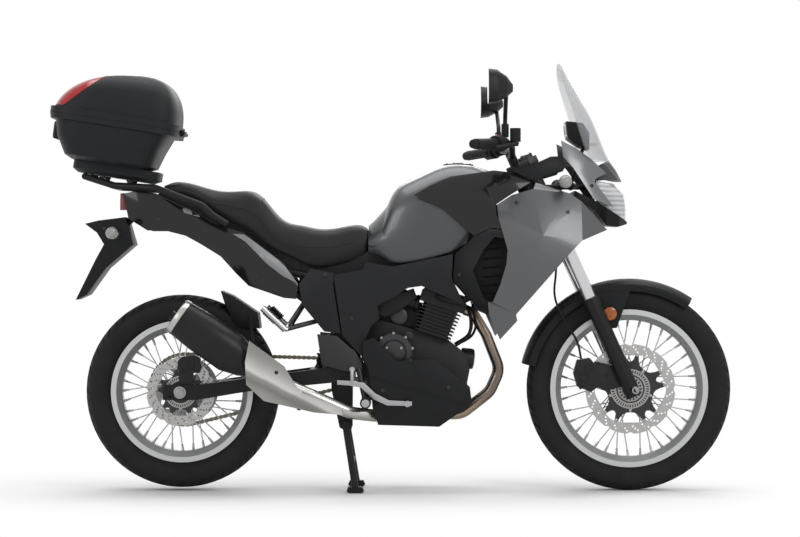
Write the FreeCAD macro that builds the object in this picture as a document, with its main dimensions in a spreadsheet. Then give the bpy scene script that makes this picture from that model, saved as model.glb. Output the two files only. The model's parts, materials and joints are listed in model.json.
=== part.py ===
import FreeCAD, Part
import math
import operator
import os
import types
import Sketcher
from FreeCAD import Placement, Rotation, Vector

# Adventure motorcycle with a top case, parked upright on its centre stand.
# Millimetres. +X is forward, +Y is the rider's left, +Z is up. The origin is on the floor,
# under the middle of the machine's length and width.

DOC = FreeCAD.newDocument("AdventureMotorcycle")
SHEET = DOC.addObject("Spreadsheet::Sheet", "Sizes")

# Driving dimensions. Lengths are in millimetres and angles in degrees.
SIZES = {
    # Whole machine
    "overall_length": 2200,
    "wheelbase": 1450,
    "rear_axle_height": 322,
    "rake_angle": 24.3,
    "trail": 108,
    "running_gap": 0.3,
    "joint_gap": 6,
    # Front wheel
    "front_tyre_radius": 331.3,
    "front_tyre_width": 100,
    "front_bead_radius": 243,
    # Rear wheel
    "rear_tyre_radius": 313,
    "rear_tyre_width": 130,
    "rear_bead_radius": 217,
    # Rims, hubs and spokes
    "rim_flange_height": 13,
    "rim_flange_thickness": 4,
    "rim_well_depth": 18,
    "rim_wall": 4,
    "front_rim_inner_width": 60,
    "rear_rim_inner_width": 82,
    "hub_barrel_radius": 24,
    "hub_flange_radius": 38,
    "hub_flange_thickness": 5,
    "hub_boss_radius": 20,
    "front_hub_right": 75,
    "front_hub_left": 65,
    "rear_hub_right": 91,
    "rear_hub_left": 89,
    "front_flange_spacing": 66,
    "rear_flange_spacing": 76,
    "spoke_radius": 2,
    "spoke_count": 36,
    "axle_radius": 8.5,
    "axle_bore_gap": 0.05,
    "axle_hollow_radius": 6,
    # Brake discs and sprocket
    "front_disc_radius": 145,
    "front_disc_inner_radius": 112,
    "rear_disc_radius": 110,
    "rear_disc_inner_radius": 78,
    "disc_thickness": 4.5,
    "front_disc_side": 72,
    "rear_disc_side": 88,
    "disc_arm_width": 16,
    "disc_arm_count": 5,
    "disc_scallop_radius": 9,
    "disc_scallop_count": 12,
    "chain_pitch": 15.875,
    "front_sprocket_teeth": 14,
    "rear_sprocket_teeth": 46,
    "chain_side": 85,
    "chain_width": 15,
    "chain_height": 14,
    "sprocket_thickness": 6,
    "sprocket_tip_gap": 0.8,
    "gearbox_behind": 853.7,
    "gearbox_z": 385,
    # Fork
    "fork_half_spacing": 105,
    "hose_radius": 3.5,
    "fork_slider_radius": 25,
    "fork_slider_length": 320,
    "fork_slider_foot": 24,
    "fork_tube_radius": 20.5,
    "lower_clamp_along": 926,
    "lower_clamp_thickness": 34,
    "upper_clamp_along": 1136,
    "upper_clamp_thickness": 24,
    "clamp_waist": 52,
    "stem_radius": 15,
    "head_tube_radius": 26,
    "head_tube_bore_gap": 0.5,
    "head_tube_end_gap": 2,
    # Handlebar, grips and mirrors
    "bar_radius": 11,
    "bar_clamp_height": 30,
    "bar_clamp_width": 26,
    "bar_clamp_half_spacing": 45,
    "grip_radius": 16.5,
    "grip_length": 122,
    "switch_radius": 25,
    "switch_length": 44,
    "bar_end_radius": 14,
    "bar_end_length": 16,
    "mirror_stem_radius": 7,
    "mirror_foot_radius": 12,
    # Frame
    "frame_tube_radius": 17,
    "subframe_tube_radius": 12,
    "pivot_behind": 924.7,
    "pivot_z": 383,
    "pivot_shaft_radius": 11,
    "pivot_plate_side": 67,
    "pivot_plate_thickness": 14,
    "swingarm_side": 110,
    "swingarm_leg_width": 26,
    "swingarm_front_depth": 52,
    "swingarm_rear_depth": 48,
    "swingarm_tail": 54,
    "spool_radius": 9,
    "spool_length": 8,
    "spool_drop": 12,
    "spool_back": 30,
    "spool_bore_radius": 3.4,
    "spool_bore_depth": 20,
    # Stands
    "centre_stand_pivot_behind": 918.7,
    "centre_stand_pivot_z": 215,
    "centre_stand_foot_behind": 886.7,
    "centre_stand_foot_side": 122,
    "centre_stand_leg_side": 90,
    "centre_stand_tube_radius": 11,
    "centre_stand_foot_length": 56,
    "centre_stand_foot_width": 30,
    "centre_stand_foot_height": 20,
    "stand_lug_radius": 20,
    "side_stand_pivot_behind": 838.7,
    "side_stand_pivot_y": 124,
    "side_stand_pivot_z": 232,
    "side_stand_reach": 235,
    "side_stand_radius": 9,
    "side_stand_foot_radius": 24,
    "side_stand_foot_thickness": 8,
    # Engine
    "crankcase_half_width": 70,
    "clutch_behind": 762.7,
    "clutch_z": 452,
    "clutch_radius": 66,
    "generator_behind": 684.7,
    "generator_z": 402,
    "generator_radius": 68,
    "cover_depth": 54,
    "cylinder_lean": 18,
    "cylinder_behind": 638.7,
    "cylinder_z": 505,
    "cylinder_height": 92,
    "cylinder_length": 122,
    "cylinder_half_width": 102,
    "head_height": 56,
    "head_length": 150,
    "fin_count": 8,
    "fin_thickness": 3.6,
    "header_radius": 17,
    "header_side": 40,
    "midpipe_radius": 20,
    "muffler_side": 200,
    "muffler_front_behind": 1206.7,
    "muffler_front_z": 402,
    "muffler_slope": 34.5,
    "muffler_length": 300,
    "muffler_half_height": 67,
    "muffler_half_width": 56,
    "skid_thickness": 6,
    # Body panels
    "panel_thickness": 3,
    "stay_radius": 4,
    "fender_radius": 350,
    "fender_thickness": 6,
    "fender_half_width": 66,
    "fender_wall_depth": 36,
    "fender_front_angle": 55,
    "fender_rear_angle": 167,
    "windshield_thickness": 4,
    # Top case
    "case_wall": 5,
    "case_tilt": 9,
    "case_middle_behind": 1658.7,
    "case_middle_z": 1170,
    "case_half_width": 203,
    "case_front": 204,
    "case_rear": 217,
    "case_seam_gap": 0.6,
    "case_hinge_ahead": 214,
    "case_hinge_radius": 6,
}

# Each panel's own space: how far its rear end lies behind the front axle, its length,
# foot and height, and its inner side and depth to the side.
SPACES = {
    "shroud": (464.7, 386, 494, 500, 120, 116),
    "vent": (573.7, 159, 590, 256, 160, 58),
    "tank_cover": (699.7, 377, 824, 210, 124, 74),
    "side_cover": (952.7, 416, 437, 329, 132, 24),
    "rear_cover": (1068.7, 135, 512, 208, 118, 22),
    "tail": (1636.7, 566, 622, 350, 76, 58),
    "cowl": (226.7, 172, 915, 216, 72, 68),
    "nose": (183.7, 180, 855, 114, 0, 146),
    "brow": (104.7, 83, 1001, 68.7, 0, 66),
    "inner_cowl": (396.7, 184, 1002, 78, 132, 34),
    "flap": (110.7, 113, 524, 132, 66, 10.7),
    "skid": (861.7, 348, 215, 284, 0, 162),
    "crankcase": (894.7, 376, 272, 284, 0, 70),
    "step": (1008.7, 144, 388, 122, 135, 8),
    "pedal": (943.7, 238, 282, 82, 169, 8),
    "rear_fender": (1790.7, 186, 619, 267, 0, 70),
    "shield": (1231.7, 307, 254, 238, 196, 72),
    "hugger": (1322.7, 126, 526, 122, 0, 70),
    "meter": (206.7, 75, 1105, 91, 0, 70),
    "rear_caliper": (1458.7, 78, 346, 96, 72, 34),
    "front_caliper": (184.7, 84, 322, 110, 52, 46),
    "seat": (1509.7, 664, 713, 286, 0, 118),
    "tank": (845.4, 416.7, 738, 316, 0, 150),
    "windshield": (223.7, 162, 1070, 320, 0, 130),
    "mirror": (469.7, 77, 1233, 108, 305, 125),
    "radiator": (506.7, 36, 604, 201, 0, 145),
    "lamp": (111.7, 105, 871, 133, 0, 92),
    "tail_lamp": (1650.7, 40, 903, 61, 0, 55),
    "case_base": (124, 285, -155, 37.9, 0, 100),
}
SPACE_SIZES = ("behind", "long", "foot", "high", "inner", "deep")

STATIONS = ("pivot", "gearbox", "centre_stand_pivot", "centre_stand_foot", "side_stand_pivot",
            "clutch", "generator", "cylinder", "muffler_front", "case_middle")

OPERATIONS = {"+": operator.add, "-": operator.sub, "*": operator.mul, "/": operator.truediv}


def written(number):
    """The text that stands for a number in an expression."""
    if isinstance(number, Size):
        return number.text
    return f"({float(number)!r})"


def joined(left, sign, right):
    """The result of one sum, with its own expression."""
    value = OPERATIONS[sign](float(left), float(right))
    return Size(value, f"({written(left)} {sign} {written(right)})")


class Size(float):
    """A number of the sheet that remembers the expression it came from."""

    def __new__(cls, value, text):
        size = super().__new__(cls, value)
        size.text = text
        return size

    def __add__(self, other):
        return joined(self, "+", other)

    def __radd__(self, other):
        return joined(other, "+", self)

    def __sub__(self, other):
        return joined(self, "-", other)

    def __rsub__(self, other):
        return joined(other, "-", self)

    def __mul__(self, other):
        return joined(self, "*", other)

    def __rmul__(self, other):
        return joined(other, "*", self)

    def __truediv__(self, other):
        return joined(self, "/", other)

    def __rtruediv__(self, other):
        return joined(other, "/", self)

    def __neg__(self):
        return joined(0.0, "-", self)


def filled_sheet():
    """Writes every driving dimension into the sheet and gives them back by name."""
    rows = dict(SIZES)
    for name, lengths in SPACES.items():
        for part_name, length in zip(SPACE_SIZES, lengths):
            rows[f"{name}_{part_name}"] = length
    sizes = types.SimpleNamespace()
    for row, (name, value) in enumerate(rows.items(), start=1):
        SHEET.set(f"A{row}", name)
        SHEET.set(f"B{row}", str(value))
        SHEET.setAlias(f"B{row}", name)
        setattr(sizes, name, Size(value, f"Sizes.{name}"))
    DOC.recompute()
    return sizes


s = filled_sheet()

# Places along the machine are measured back from the front axle.
FRONT_AXLE_X = s.overall_length / 2 - s.front_tyre_radius
REAR_AXLE_X = FRONT_AXLE_X - s.wheelbase
for station in STATIONS:
    setattr(s, f"{station}_x", FRONT_AXLE_X - getattr(s, f"{station}_behind"))


class Space:
    """The box that a piece's outline is drawn in, all its sides being cells of the sheet."""

    def __init__(self, name, datum=None):
        for part_name in SPACE_SIZES:
            setattr(self, part_name, getattr(s, f"{name}_{part_name}"))
        self.rear = (FRONT_AXLE_X if datum is None else datum) - self.behind

    def flat(self, along, up):
        """A point of the side view, by its shares of the length and the height."""
        return (self.rear + self.long * along, self.foot + self.high * up)

    def at(self, along, up, out):
        """A point in space, by its shares of the length, the height and the depth."""
        return (
            self.rear + self.long * along,
            self.inner + self.deep * out,
            self.foot + self.high * up,
        )


# Helpers

def bind(thing, path, value):
    """Ties one property to the sheet."""
    thing.setExpression(path, written(value))


def place(thing, point):
    """Ties the place of a thing to the sheet."""
    for letter, value in zip("xyz", point):
        bind(thing, f"Placement.Base.{letter}", value)


def vector(point):
    return Vector(*(float(value) for value in point))


def root(value):
    """The square root of a sum of sizes, with its expression."""
    return Size(math.sqrt(float(value)), f"sqrt({written(value)})")


def distance(start, end):
    steps = [last - first for first, last in zip(start, end)]
    return root(steps[0] * steps[0] + steps[1] * steps[1] + steps[2] * steps[2])


def between(start, end, share):
    """The point at a share of the way from one point to another."""
    return tuple(first + (last - first) * share for first, last in zip(start, end))


def foot_on(point, start, end):
    """The place on a straight tube's axis that is square to a point."""
    run = vector(end) - vector(start)
    share = (vector(point) - vector(start)).dot(run) / run.dot(run)
    return between(start, end, share)


def stay(name, point, start, end, tube_radius, radius):
    """A round stay from a point to the side of a straight tube."""
    foot = foot_on(point, start, end)
    share = 1 - float((tube_radius + s.running_gap) / distance(point, foot))
    return rod(name, point, between(point, foot, share), radius)


def other_side(point):
    return (point[0], -point[1], point[2])


def rod(name, start, end, radius):
    """A round bar from one point to another."""
    bar = DOC.addObject("Part::Cylinder", name)
    bind(bar, "Radius", radius)
    bind(bar, "Height", distance(start, end))
    direction = vector(end) - vector(start)
    bar.Placement = Placement(vector(start), Rotation(Vector(0, 0, 1), direction))
    return bar


def block(name, low, high):
    """A box between two corners."""
    box = DOC.addObject("Part::Box", name)
    for side, first, last in zip(("Length", "Width", "Height"), low, high):
        bind(box, side, last - first)
    place(box, low)
    return box


def own_plane(body, role):
    return next(plane for plane in body.Origin.OriginFeatures if plane.Role == role)


def sketched(body, name, role, outlines, circles=()):
    """Closed outlines and circles on one of the body's own planes, tied to the sheet."""
    sketch = body.newObject("Sketcher::SketchObject", f"{name}Sketch")
    sketch.AttachmentSupport = (own_plane(body, role), [""])
    sketch.MapMode = "FlatFace"
    for outline in outlines:
        first_edge = sketch.GeometryCount
        count = len(outline)
        corners = [Vector(float(across), float(up), 0) for across, up in outline]
        for index in range(count):
            sketch.addGeometry(Part.LineSegment(corners[index], corners[(index + 1) % count]))
        for index, (across, up) in enumerate(outline):
            edge = first_edge + index
            following = first_edge + (index + 1) % count
            sketch.addConstraint(Sketcher.Constraint("Coincident", edge, 2, following, 1))
            tied(sketch, "DistanceX", edge, 1, across)
            tied(sketch, "DistanceY", edge, 1, up)
    for across, up, radius in circles:
        ring = sketch.addGeometry(
            Part.Circle(Vector(float(across), float(up), 0), Vector(0, 0, 1), float(radius)))
        tied(sketch, "DistanceX", ring, 3, across)
        tied(sketch, "DistanceY", ring, 3, up)
        rule = sketch.addConstraint(Sketcher.Constraint("Radius", ring, float(radius)))
        bind(sketch, f"Constraints[{rule}]", radius)
    return sketch


def tied(sketch, kind, edge, end, value):
    """Ties one end of an edge to its distance from the sketch's origin."""
    rule = sketch.addConstraint(Sketcher.Constraint(kind, -1, 1, edge, end, float(value)))
    bind(sketch, f"Constraints[{rule}]", value)


def plate(name, outline, width, middle, circles=()):
    """A plate cut to a side view outline, with its thickness to both sides of its middle."""
    body = DOC.addObject("PartDesign::Body", name)
    sketch = sketched(body, name, "XZ_Plane", [outline], circles)
    pad = body.newObject("PartDesign::Pad", f"{name}Pad")
    pad.Profile = sketch
    pad.SideType = "Symmetric"
    bind(pad, "Length", width)
    bind(body, "Placement.Base.y", middle)
    return body


def turned(name, profile, centre):
    """A ring or a round piece on the Y axis, from its outline of radius and side."""
    body = DOC.addObject("PartDesign::Body", name)
    sketch = sketched(body, name, "XY_Plane", [profile])
    turn = body.newObject("PartDesign::Revolution", f"{name}Turn")
    turn.Profile = sketch
    turn.ReferenceAxis = (sketch, ["V_Axis"])
    turn.Angle = 360
    place(body, centre)
    return body


def rounded(route, bend):
    """Straight runs joined by tangent arcs, no larger than the runs allow."""
    points = [vector(point) for point in route]
    edges = []
    start = points[0]
    for before, corner, after in zip(points, points[1:], points[2:]):
        inward = (before - corner).normalize()
        outward = (after - corner).normalize()
        turn = math.pi - inward.getAngle(outward)
        if turn < 0.01:
            continue
        room = 0.45 * min(before.distanceToPoint(corner), after.distanceToPoint(corner))
        setback = min(room, float(bend) * math.tan(turn / 2))
        radius = setback / math.tan(turn / 2)
        first = corner + inward * setback
        last = corner + outward * setback
        bisector = (inward + outward).normalize()
        middle = corner + bisector * (math.hypot(radius, setback) - radius)
        edges.append(Part.LineSegment(start, first).toShape())
        edges.append(Part.Arc(first, middle, last).toShape())
        start = last
    edges.append(Part.LineSegment(start, points[-1]).toShape())
    return Part.Wire(edges)


def tube(name, route, radius, bend):
    """A round bar that follows a route with rounded corners."""
    path = DOC.addObject("Part::Feature", f"{name}Route")
    path.Shape = rounded(route, bend)
    ring = DOC.addObject("Part::Circle", f"{name}Ring")
    bind(ring, "Radius", radius)
    direction = vector(route[1]) - vector(route[0])
    ring.Placement = Placement(vector(route[0]), Rotation(Vector(0, 0, 1), direction))
    sweep = DOC.addObject("Part::Sweep", name)
    sweep.Sections = [ring]
    sweep.Spine = (path, [])
    sweep.Solid = True
    sweep.Frenet = False
    return sweep


def loft(name, rings):
    """A closed solid through a row of closed rings with the same number of corners."""
    sections = []
    for number, ring in enumerate(rings):
        section = DOC.addObject("Part::Polygon", f"{name}Ring{number}")
        section.Nodes = [vector(point) for point in ring]
        section.Close = True
        sections.append(section)
    solid = DOC.addObject("Part::Loft", name)
    solid.Sections = sections
    solid.Solid = True
    solid.Ruled = True
    return solid


def curved_ring(points, creases=()):
    """A closed ring that runs smoothly through its points, apart from its creases."""
    if not creases:
        spline = Part.BSplineCurve()
        spline.interpolate(points, PeriodicFlag=True)
        return Part.Wire([spline.toShape()])
    edges = []
    for first, last in zip(creases, creases[1:] + (creases[0] + len(points),)):
        run = [points[number % len(points)] for number in range(first, last + 1)]
        if len(run) == 2:
            edges.append(Part.LineSegment(*run).toShape())
        else:
            spline = Part.BSplineCurve()
            spline.interpolate(run)
            edges.append(spline.toShape())
    return Part.Wire(edges)


def curved_loft(name, rings, creases=(), ruled=False):
    """A closed solid through a row of smooth rings, smooth along its length too unless ruled."""
    sections = []
    for number, ring in enumerate(rings):
        section = DOC.addObject("Part::Feature", f"{name}Ring{number}")
        section.Shape = curved_ring([vector(point) for point in ring], creases)
        sections.append(section)
    solid = DOC.addObject("Part::Loft", name)
    solid.Sections = sections
    solid.Solid = True
    solid.Ruled = ruled
    return solid


def skin(name, corners, faces, thickness):
    """A moulded panel of flat facets, as thick as stated, from the corners of its outer face."""
    outer = {letter: vector(point) for letter, point in corners.items()}
    inner = {letter: corner - Vector(0, float(thickness), 0) for letter, corner in outer.items()}
    triangles = []
    for face in faces.split():
        for second, third in zip(face[1:], face[2:]):
            triangles.append((face[0], second, third))
    edges = {}
    for triangle in triangles:
        for first, last in zip(triangle, triangle[1:] + triangle[:1]):
            edges.setdefault(frozenset((first, last)), []).append((first, last))
    shell_faces = []
    for triangle in triangles:
        for layer in (outer, inner):
            shell_faces.append(facet([layer[letter] for letter in triangle]))
    for uses in edges.values():
        if len(uses) == 1:
            first, last = uses[0]
            shell_faces.append(facet([outer[first], outer[last], inner[last]]))
            shell_faces.append(facet([outer[first], inner[last], inner[first]]))
    return closed(name, shell_faces)


def facet(points):
    return Part.Face(Part.makePolygon(points + points[:1]))


def closed(name, faces):
    """A solid from the faces that close it."""
    shell = Part.makeShell(faces)
    shell.sewShape()
    solid = Part.makeSolid(shell)
    if solid.Volume < 0:
        solid.reverse()
    feature = DOC.addObject("Part::Feature", name)
    feature.Shape = solid
    return feature


def mirrored(piece):
    """The same piece on the other side of the machine."""
    twin = DOC.addObject("Part::Mirroring", f"{piece.Name}Left")
    twin.Source = piece
    twin.Normal = Vector(0, 1, 0)
    return twin


def fused(name, pieces):
    whole = DOC.addObject("Part::MultiFuse", name)
    whole.Shapes = list(pieces)
    return whole


def carved(name, base, tools):
    """A piece with other shapes cut out of it."""
    cut = DOC.addObject("Part::Cut", name)
    cut.Base = base
    cut.Tool = tools[0] if len(tools) == 1 else fused(f"{name}Tools", tools)
    return cut


def both_sides(pieces):
    return list(pieces) + [mirrored(piece) for piece in pieces]


NODES = []


def node(name, *pieces, apart=False):
    """Gives one sub-part its own name. Pieces that touch are fused, others are kept side by side."""
    if len(pieces) == 1:
        whole = pieces[0]
    elif apart:
        whole = DOC.addObject("Part::Compound", f"{name}Set")
        whole.Links = list(pieces)
    else:
        whole = fused(f"{name}Whole", pieces)
    whole.Label = name
    NODES.append(whole)
    return whole


# Places worked out from the driving dimensions

FRONT_AXLE = (FRONT_AXLE_X, 0, s.front_tyre_radius)
REAR_AXLE = (REAR_AXLE_X, 0, s.rear_axle_height)
RAKE_SINE = math.sin(math.radians(s.rake_angle))
RAKE_COSINE = math.cos(math.radians(s.rake_angle))
AXLE_ALONG = s.front_tyre_radius * RAKE_COSINE + s.trail * RAKE_SINE
FORK_OFFSET = s.front_tyre_radius * RAKE_SINE - s.trail * RAKE_COSINE
PIVOT = (s.pivot_x, 0, s.pivot_z)
MUFFLER_SINE = math.sin(math.radians(s.muffler_slope))
MUFFLER_COSINE = math.cos(math.radians(s.muffler_slope))
TILT_SINE = math.sin(math.radians(s.case_tilt))
TILT_COSINE = math.cos(math.radians(s.case_tilt))


def on_steering(along, ahead=0, side=0):
    """A point by its way up the steering axis, ahead of it and to the side."""
    return (
        FRONT_AXLE_X + s.trail - along * RAKE_SINE + ahead * RAKE_COSINE,
        side,
        along * RAKE_COSINE + ahead * RAKE_SINE,
    )


def on_case(along, side, up):
    """A point of the top case, which leans down towards the rider."""
    return (
        s.case_middle_x + along * TILT_COSINE + up * TILT_SINE,
        side,
        s.case_middle_z - along * TILT_SINE + up * TILT_COSINE,
    )


# Wheels

def tyre(name, centre, radius, width, bead, rim_width):
    """Tyre: beads between the rim's flanges, bulged sides, shoulders and a round crown."""
    low = bead + s.running_gap
    half_rim = rim_width / 2 - s.running_gap
    flange = bead + s.rim_flange_height + s.running_gap
    half = width / 2
    height = radius - flange
    section_shares = ((0.3, 0.92), (0.5, 1), (0.68, 0.99), (0.85, 0.84), (0.96, 0.5))
    side = [(low, half_rim), (flange, half_rim)]
    side += [(flange + height * up, half * out) for up, out in section_shares]
    profile = side + [(radius, half * 0)] + [(up, -out) for up, out in reversed(side)]
    return node(name, turned(name, profile, centre))


def rim(name, centre, bead, rim_width):
    """Spoked rim: two flanges, a seat for each bead and a well between them."""
    half = rim_width / 2
    well = bead - s.rim_well_depth
    outer = half + s.rim_flange_thickness
    side = [
        (well, half / 3),
        (bead, half * 2 / 3),
        (bead, half),
        (bead + s.rim_flange_height, half),
        (bead + s.rim_flange_height, outer),
        (bead - s.rim_wall, outer),
        (well - s.rim_wall, half / 2),
    ]
    profile = side + [(up, -out) for up, out in reversed(side)]
    return turned(name, profile, centre)


def hub(name, centre, right, left, spacing):
    """Hub: a barrel with two spoke flanges and a boss on each end."""
    bore = s.axle_radius + s.axle_bore_gap
    profile = []
    for sign, end in ((1, left), (-1, right)):
        flange = spacing / 2
        side = [
            (bore, end * sign),
            (s.hub_boss_radius, end * sign),
            (s.hub_boss_radius, (flange + s.hub_flange_thickness) * sign),
            (s.hub_flange_radius, (flange + s.hub_flange_thickness) * sign),
            (s.hub_flange_radius, flange * sign),
            (s.hub_barrel_radius, (flange - s.hub_flange_thickness) * sign),
        ]
        profile += side if sign > 0 else reversed(side)
    return turned(name, profile, centre)


def spokes(name, centre, spacing, rim_radius):
    """Laced spokes: each leaves its flange almost tangent and crosses its neighbours."""
    pieces = []
    lace = math.radians(70)
    foot_radius = s.hub_flange_radius - s.hub_flange_thickness
    for number in range(int(s.spoke_count)):
        flange = 1 if number % 2 else -1
        lean = 1 if number % 4 < 2 else -1
        tip_angle = 2 * math.pi * number / float(s.spoke_count)
        foot_angle = tip_angle + lean * lace
        side = flange * (spacing / 2 + s.hub_flange_thickness / 2)
        start = around(centre, foot_radius, foot_angle, side)
        end = around(centre, rim_radius, tip_angle, flange * s.spoke_radius * 2)
        pieces.append(rod(f"{name}{number}", start, end, s.spoke_radius))
    return pieces


def around(centre, radius, angle, side):
    """A point on a circle about a wheel's axle."""
    return (
        centre[0] + radius * math.cos(angle),
        centre[1] + side,
        centre[2] + radius * math.sin(angle),
    )


def laced_wheel(name, centre, bead, rim_width, right, left, spacing):
    """Rim, hub and spokes as one wheel."""
    rim_radius = bead - s.rim_well_depth - s.rim_wall / 2
    ring = rim(f"{name}Rim", centre, bead, rim_width)
    middle = hub(f"{name}Hub", centre, right, left, spacing)
    laces = spokes(f"{name}Spoke", centre, spacing, rim_radius)
    return node(name, ring, middle, *laces)


def brake_disc(name, centre, radius, inner_radius, side, boss_radius):
    """Petal disc: a ring with a scalloped edge on arms that run to the hub."""
    body = DOC.addObject("PartDesign::Body", name)
    zero = radius * 0
    ring = sketched(body, f"{name}Ring", "XZ_Plane", [],
                    [(zero, zero, radius), (zero, zero, inner_radius)])
    pad = body.newObject("PartDesign::Pad", f"{name}RingPad")
    pad.Profile = ring
    pad.SideType = "Symmetric"
    bind(pad, "Length", s.disc_thickness)
    half = s.disc_arm_width / 2
    reach = inner_radius + s.disc_arm_width / 4
    arm = sketched(body, f"{name}Arm", "XZ_Plane",
                   [[(boss_radius * 0.9, -half), (reach, -half * 1.4),
                     (reach, half * 1.4), (boss_radius * 0.9, half)]])
    arm_pad = body.newObject("PartDesign::Pad", f"{name}ArmPad")
    arm_pad.Profile = arm
    arm_pad.SideType = "Symmetric"
    bind(arm_pad, "Length", s.disc_thickness)
    arms = body.newObject("PartDesign::PolarPattern", f"{name}Arms")
    arms.Originals = [arm_pad]
    arms.Axis = (ring, ["N_Axis"])
    arms.Angle = 360
    bind(arms, "Occurrences", s.disc_arm_count)
    body.Tip = arms
    boss = sketched(body, f"{name}Boss", "XZ_Plane", [],
                    [(zero, zero, boss_radius), (zero, zero, s.hub_boss_radius + s.running_gap)])
    boss_pad = body.newObject("PartDesign::Pad", f"{name}BossPad")
    boss_pad.Profile = boss
    boss_pad.SideType = "Symmetric"
    bind(boss_pad, "Length", s.disc_thickness)
    bite = sketched(body, f"{name}Bite", "XZ_Plane", [],
                    [(radius + s.disc_scallop_radius * 0.4, zero, s.disc_scallop_radius)])
    pocket = body.newObject("PartDesign::Pocket", f"{name}Scallop")
    pocket.Profile = bite
    pocket.Type = "ThroughAll"
    pocket.SideType = "Symmetric"
    bites = body.newObject("PartDesign::PolarPattern", f"{name}Scallops")
    bites.Originals = [pocket]
    bites.Axis = (ring, ["N_Axis"])
    bites.Angle = 360
    bind(bites, "Occurrences", s.disc_scallop_count)
    body.Tip = bites
    place(body, (centre[0], centre[1] - side, centre[2]))
    return node(name, body)


def sprocket_radius(teeth):
    """Pitch radius of a chain wheel."""
    return s.chain_pitch / (2 * math.sin(math.pi / float(teeth)))


def rear_sprocket():
    """Rear chain wheel, cut short of the rollers, with a rim and lightening holes."""
    radius = sprocket_radius(s.rear_sprocket_teeth) - s.chain_height / 2 - s.sprocket_tip_gap
    body = DOC.addObject("PartDesign::Body", "rear_sprocket")
    zero = radius * 0
    holes = 5
    circles = [(zero, zero, radius), (zero, zero, s.hub_boss_radius + s.running_gap)]
    hole_place = radius * 0.66
    for number in range(holes):
        angle = 2 * math.pi * number / holes
        circles.append((hole_place * math.cos(angle), hole_place * math.sin(angle), radius * 0.2))
    sketch = sketched(body, "rear_sprocket", "XZ_Plane", [], circles)
    pad = body.newObject("PartDesign::Pad", "rear_sprocketPad")
    pad.Profile = sketch
    pad.SideType = "Symmetric"
    bind(pad, "Length", s.sprocket_thickness)
    place(body, (REAR_AXLE[0], s.chain_side, REAR_AXLE[2]))
    return node("rear_sprocket", body)


def wheels():
    tyre("front_tyre", FRONT_AXLE, s.front_tyre_radius, s.front_tyre_width,
         s.front_bead_radius, s.front_rim_inner_width)
    tyre("rear_tyre", REAR_AXLE, s.rear_tyre_radius, s.rear_tyre_width,
         s.rear_bead_radius, s.rear_rim_inner_width)
    laced_wheel("front_wheel_rim", FRONT_AXLE, s.front_bead_radius, s.front_rim_inner_width,
                s.front_hub_right, s.front_hub_left, s.front_flange_spacing)
    laced_wheel("rear_wheel_rim", REAR_AXLE, s.rear_bead_radius, s.rear_rim_inner_width,
                s.rear_hub_right, s.rear_hub_left, s.rear_flange_spacing)
    brake_disc("front_brake_disc", FRONT_AXLE, s.front_disc_radius, s.front_disc_inner_radius,
               s.front_disc_side, s.hub_flange_radius)
    brake_disc("rear_brake_disc", REAR_AXLE, s.rear_disc_radius, s.rear_disc_inner_radius,
               s.rear_disc_side, s.hub_flange_radius)
    rear_sprocket()


# Chain

def chain_line(front, front_radius, rear, rear_radius, count):
    """Evenly spaced points of the chain's loop, each with its outward direction."""
    gap = rear - front
    span = gap.Length
    heading = math.atan2(gap.z, gap.x)
    tilt = math.asin((rear_radius - front_radius) / span)
    run = span * math.cos(tilt)
    rear_turn = math.pi + 2 * tilt
    front_turn = math.pi - 2 * tilt
    total = 2 * run + rear_radius * rear_turn + front_radius * front_turn
    upper = heading - math.pi / 2 - tilt
    lower = heading + math.pi / 2 + tilt
    points = []
    for number in range(count):
        way = total * number / count
        if way < run:
            out = direction(upper)
            base = front + out * front_radius + direction(upper + math.pi / 2 ) * way
        elif way < run + rear_radius * rear_turn:
            angle = upper + (way - run) / rear_radius
            out = direction(angle)
            base = rear + out * rear_radius
        elif way < 2 * run + rear_radius * rear_turn:
            out = direction(lower)
            back = way - run - rear_radius * rear_turn
            base = rear + out * rear_radius + direction(lower + math.pi / 2) * back
        else:
            angle = lower + (way - 2 * run - rear_radius * rear_turn) / front_radius
            out = direction(angle)
            base = front + out * front_radius
        points.append((base, out))
    return points


def direction(angle):
    return Vector(math.cos(angle), 0, math.sin(angle))


def chain():
    """Drive chain: one closed loop whose outline bulges at each pin and narrows between pins."""
    front = Vector(s.gearbox_x, 0, s.gearbox_z)
    rear = vector(REAR_AXLE)
    front_radius = float(sprocket_radius(s.front_sprocket_teeth))
    rear_radius = float(sprocket_radius(s.rear_sprocket_teeth))
    span = rear.distanceToPoint(front)
    length = 2 * span + math.pi * (front_radius + rear_radius)
    links = round(length / float(s.chain_pitch))
    outer, inner = [], []
    for number, (point, out) in enumerate(
            chain_line(front, front_radius, rear, rear_radius, 2 * links)):
        share = 0.5 if number % 2 else 0.36
        half = float(s.chain_height) * share
        outer.append(point + out * half)
        inner.append(point - out * half)
    rings = [Part.makePolygon(outer + outer[:1]), Part.makePolygon(inner + inner[:1])]
    band = Part.makeFace(rings, "Part::FaceMakerBullseye")
    loop = band.extrude(Vector(0, s.chain_width, 0))
    feature = DOC.addObject("Part::Feature", "chain")
    feature.Shape = loop
    feature.Placement = Placement(Vector(0, s.chain_side - s.chain_width / 2, 0), Rotation())
    return node("chain", feature)


# Fork and steering

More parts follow.
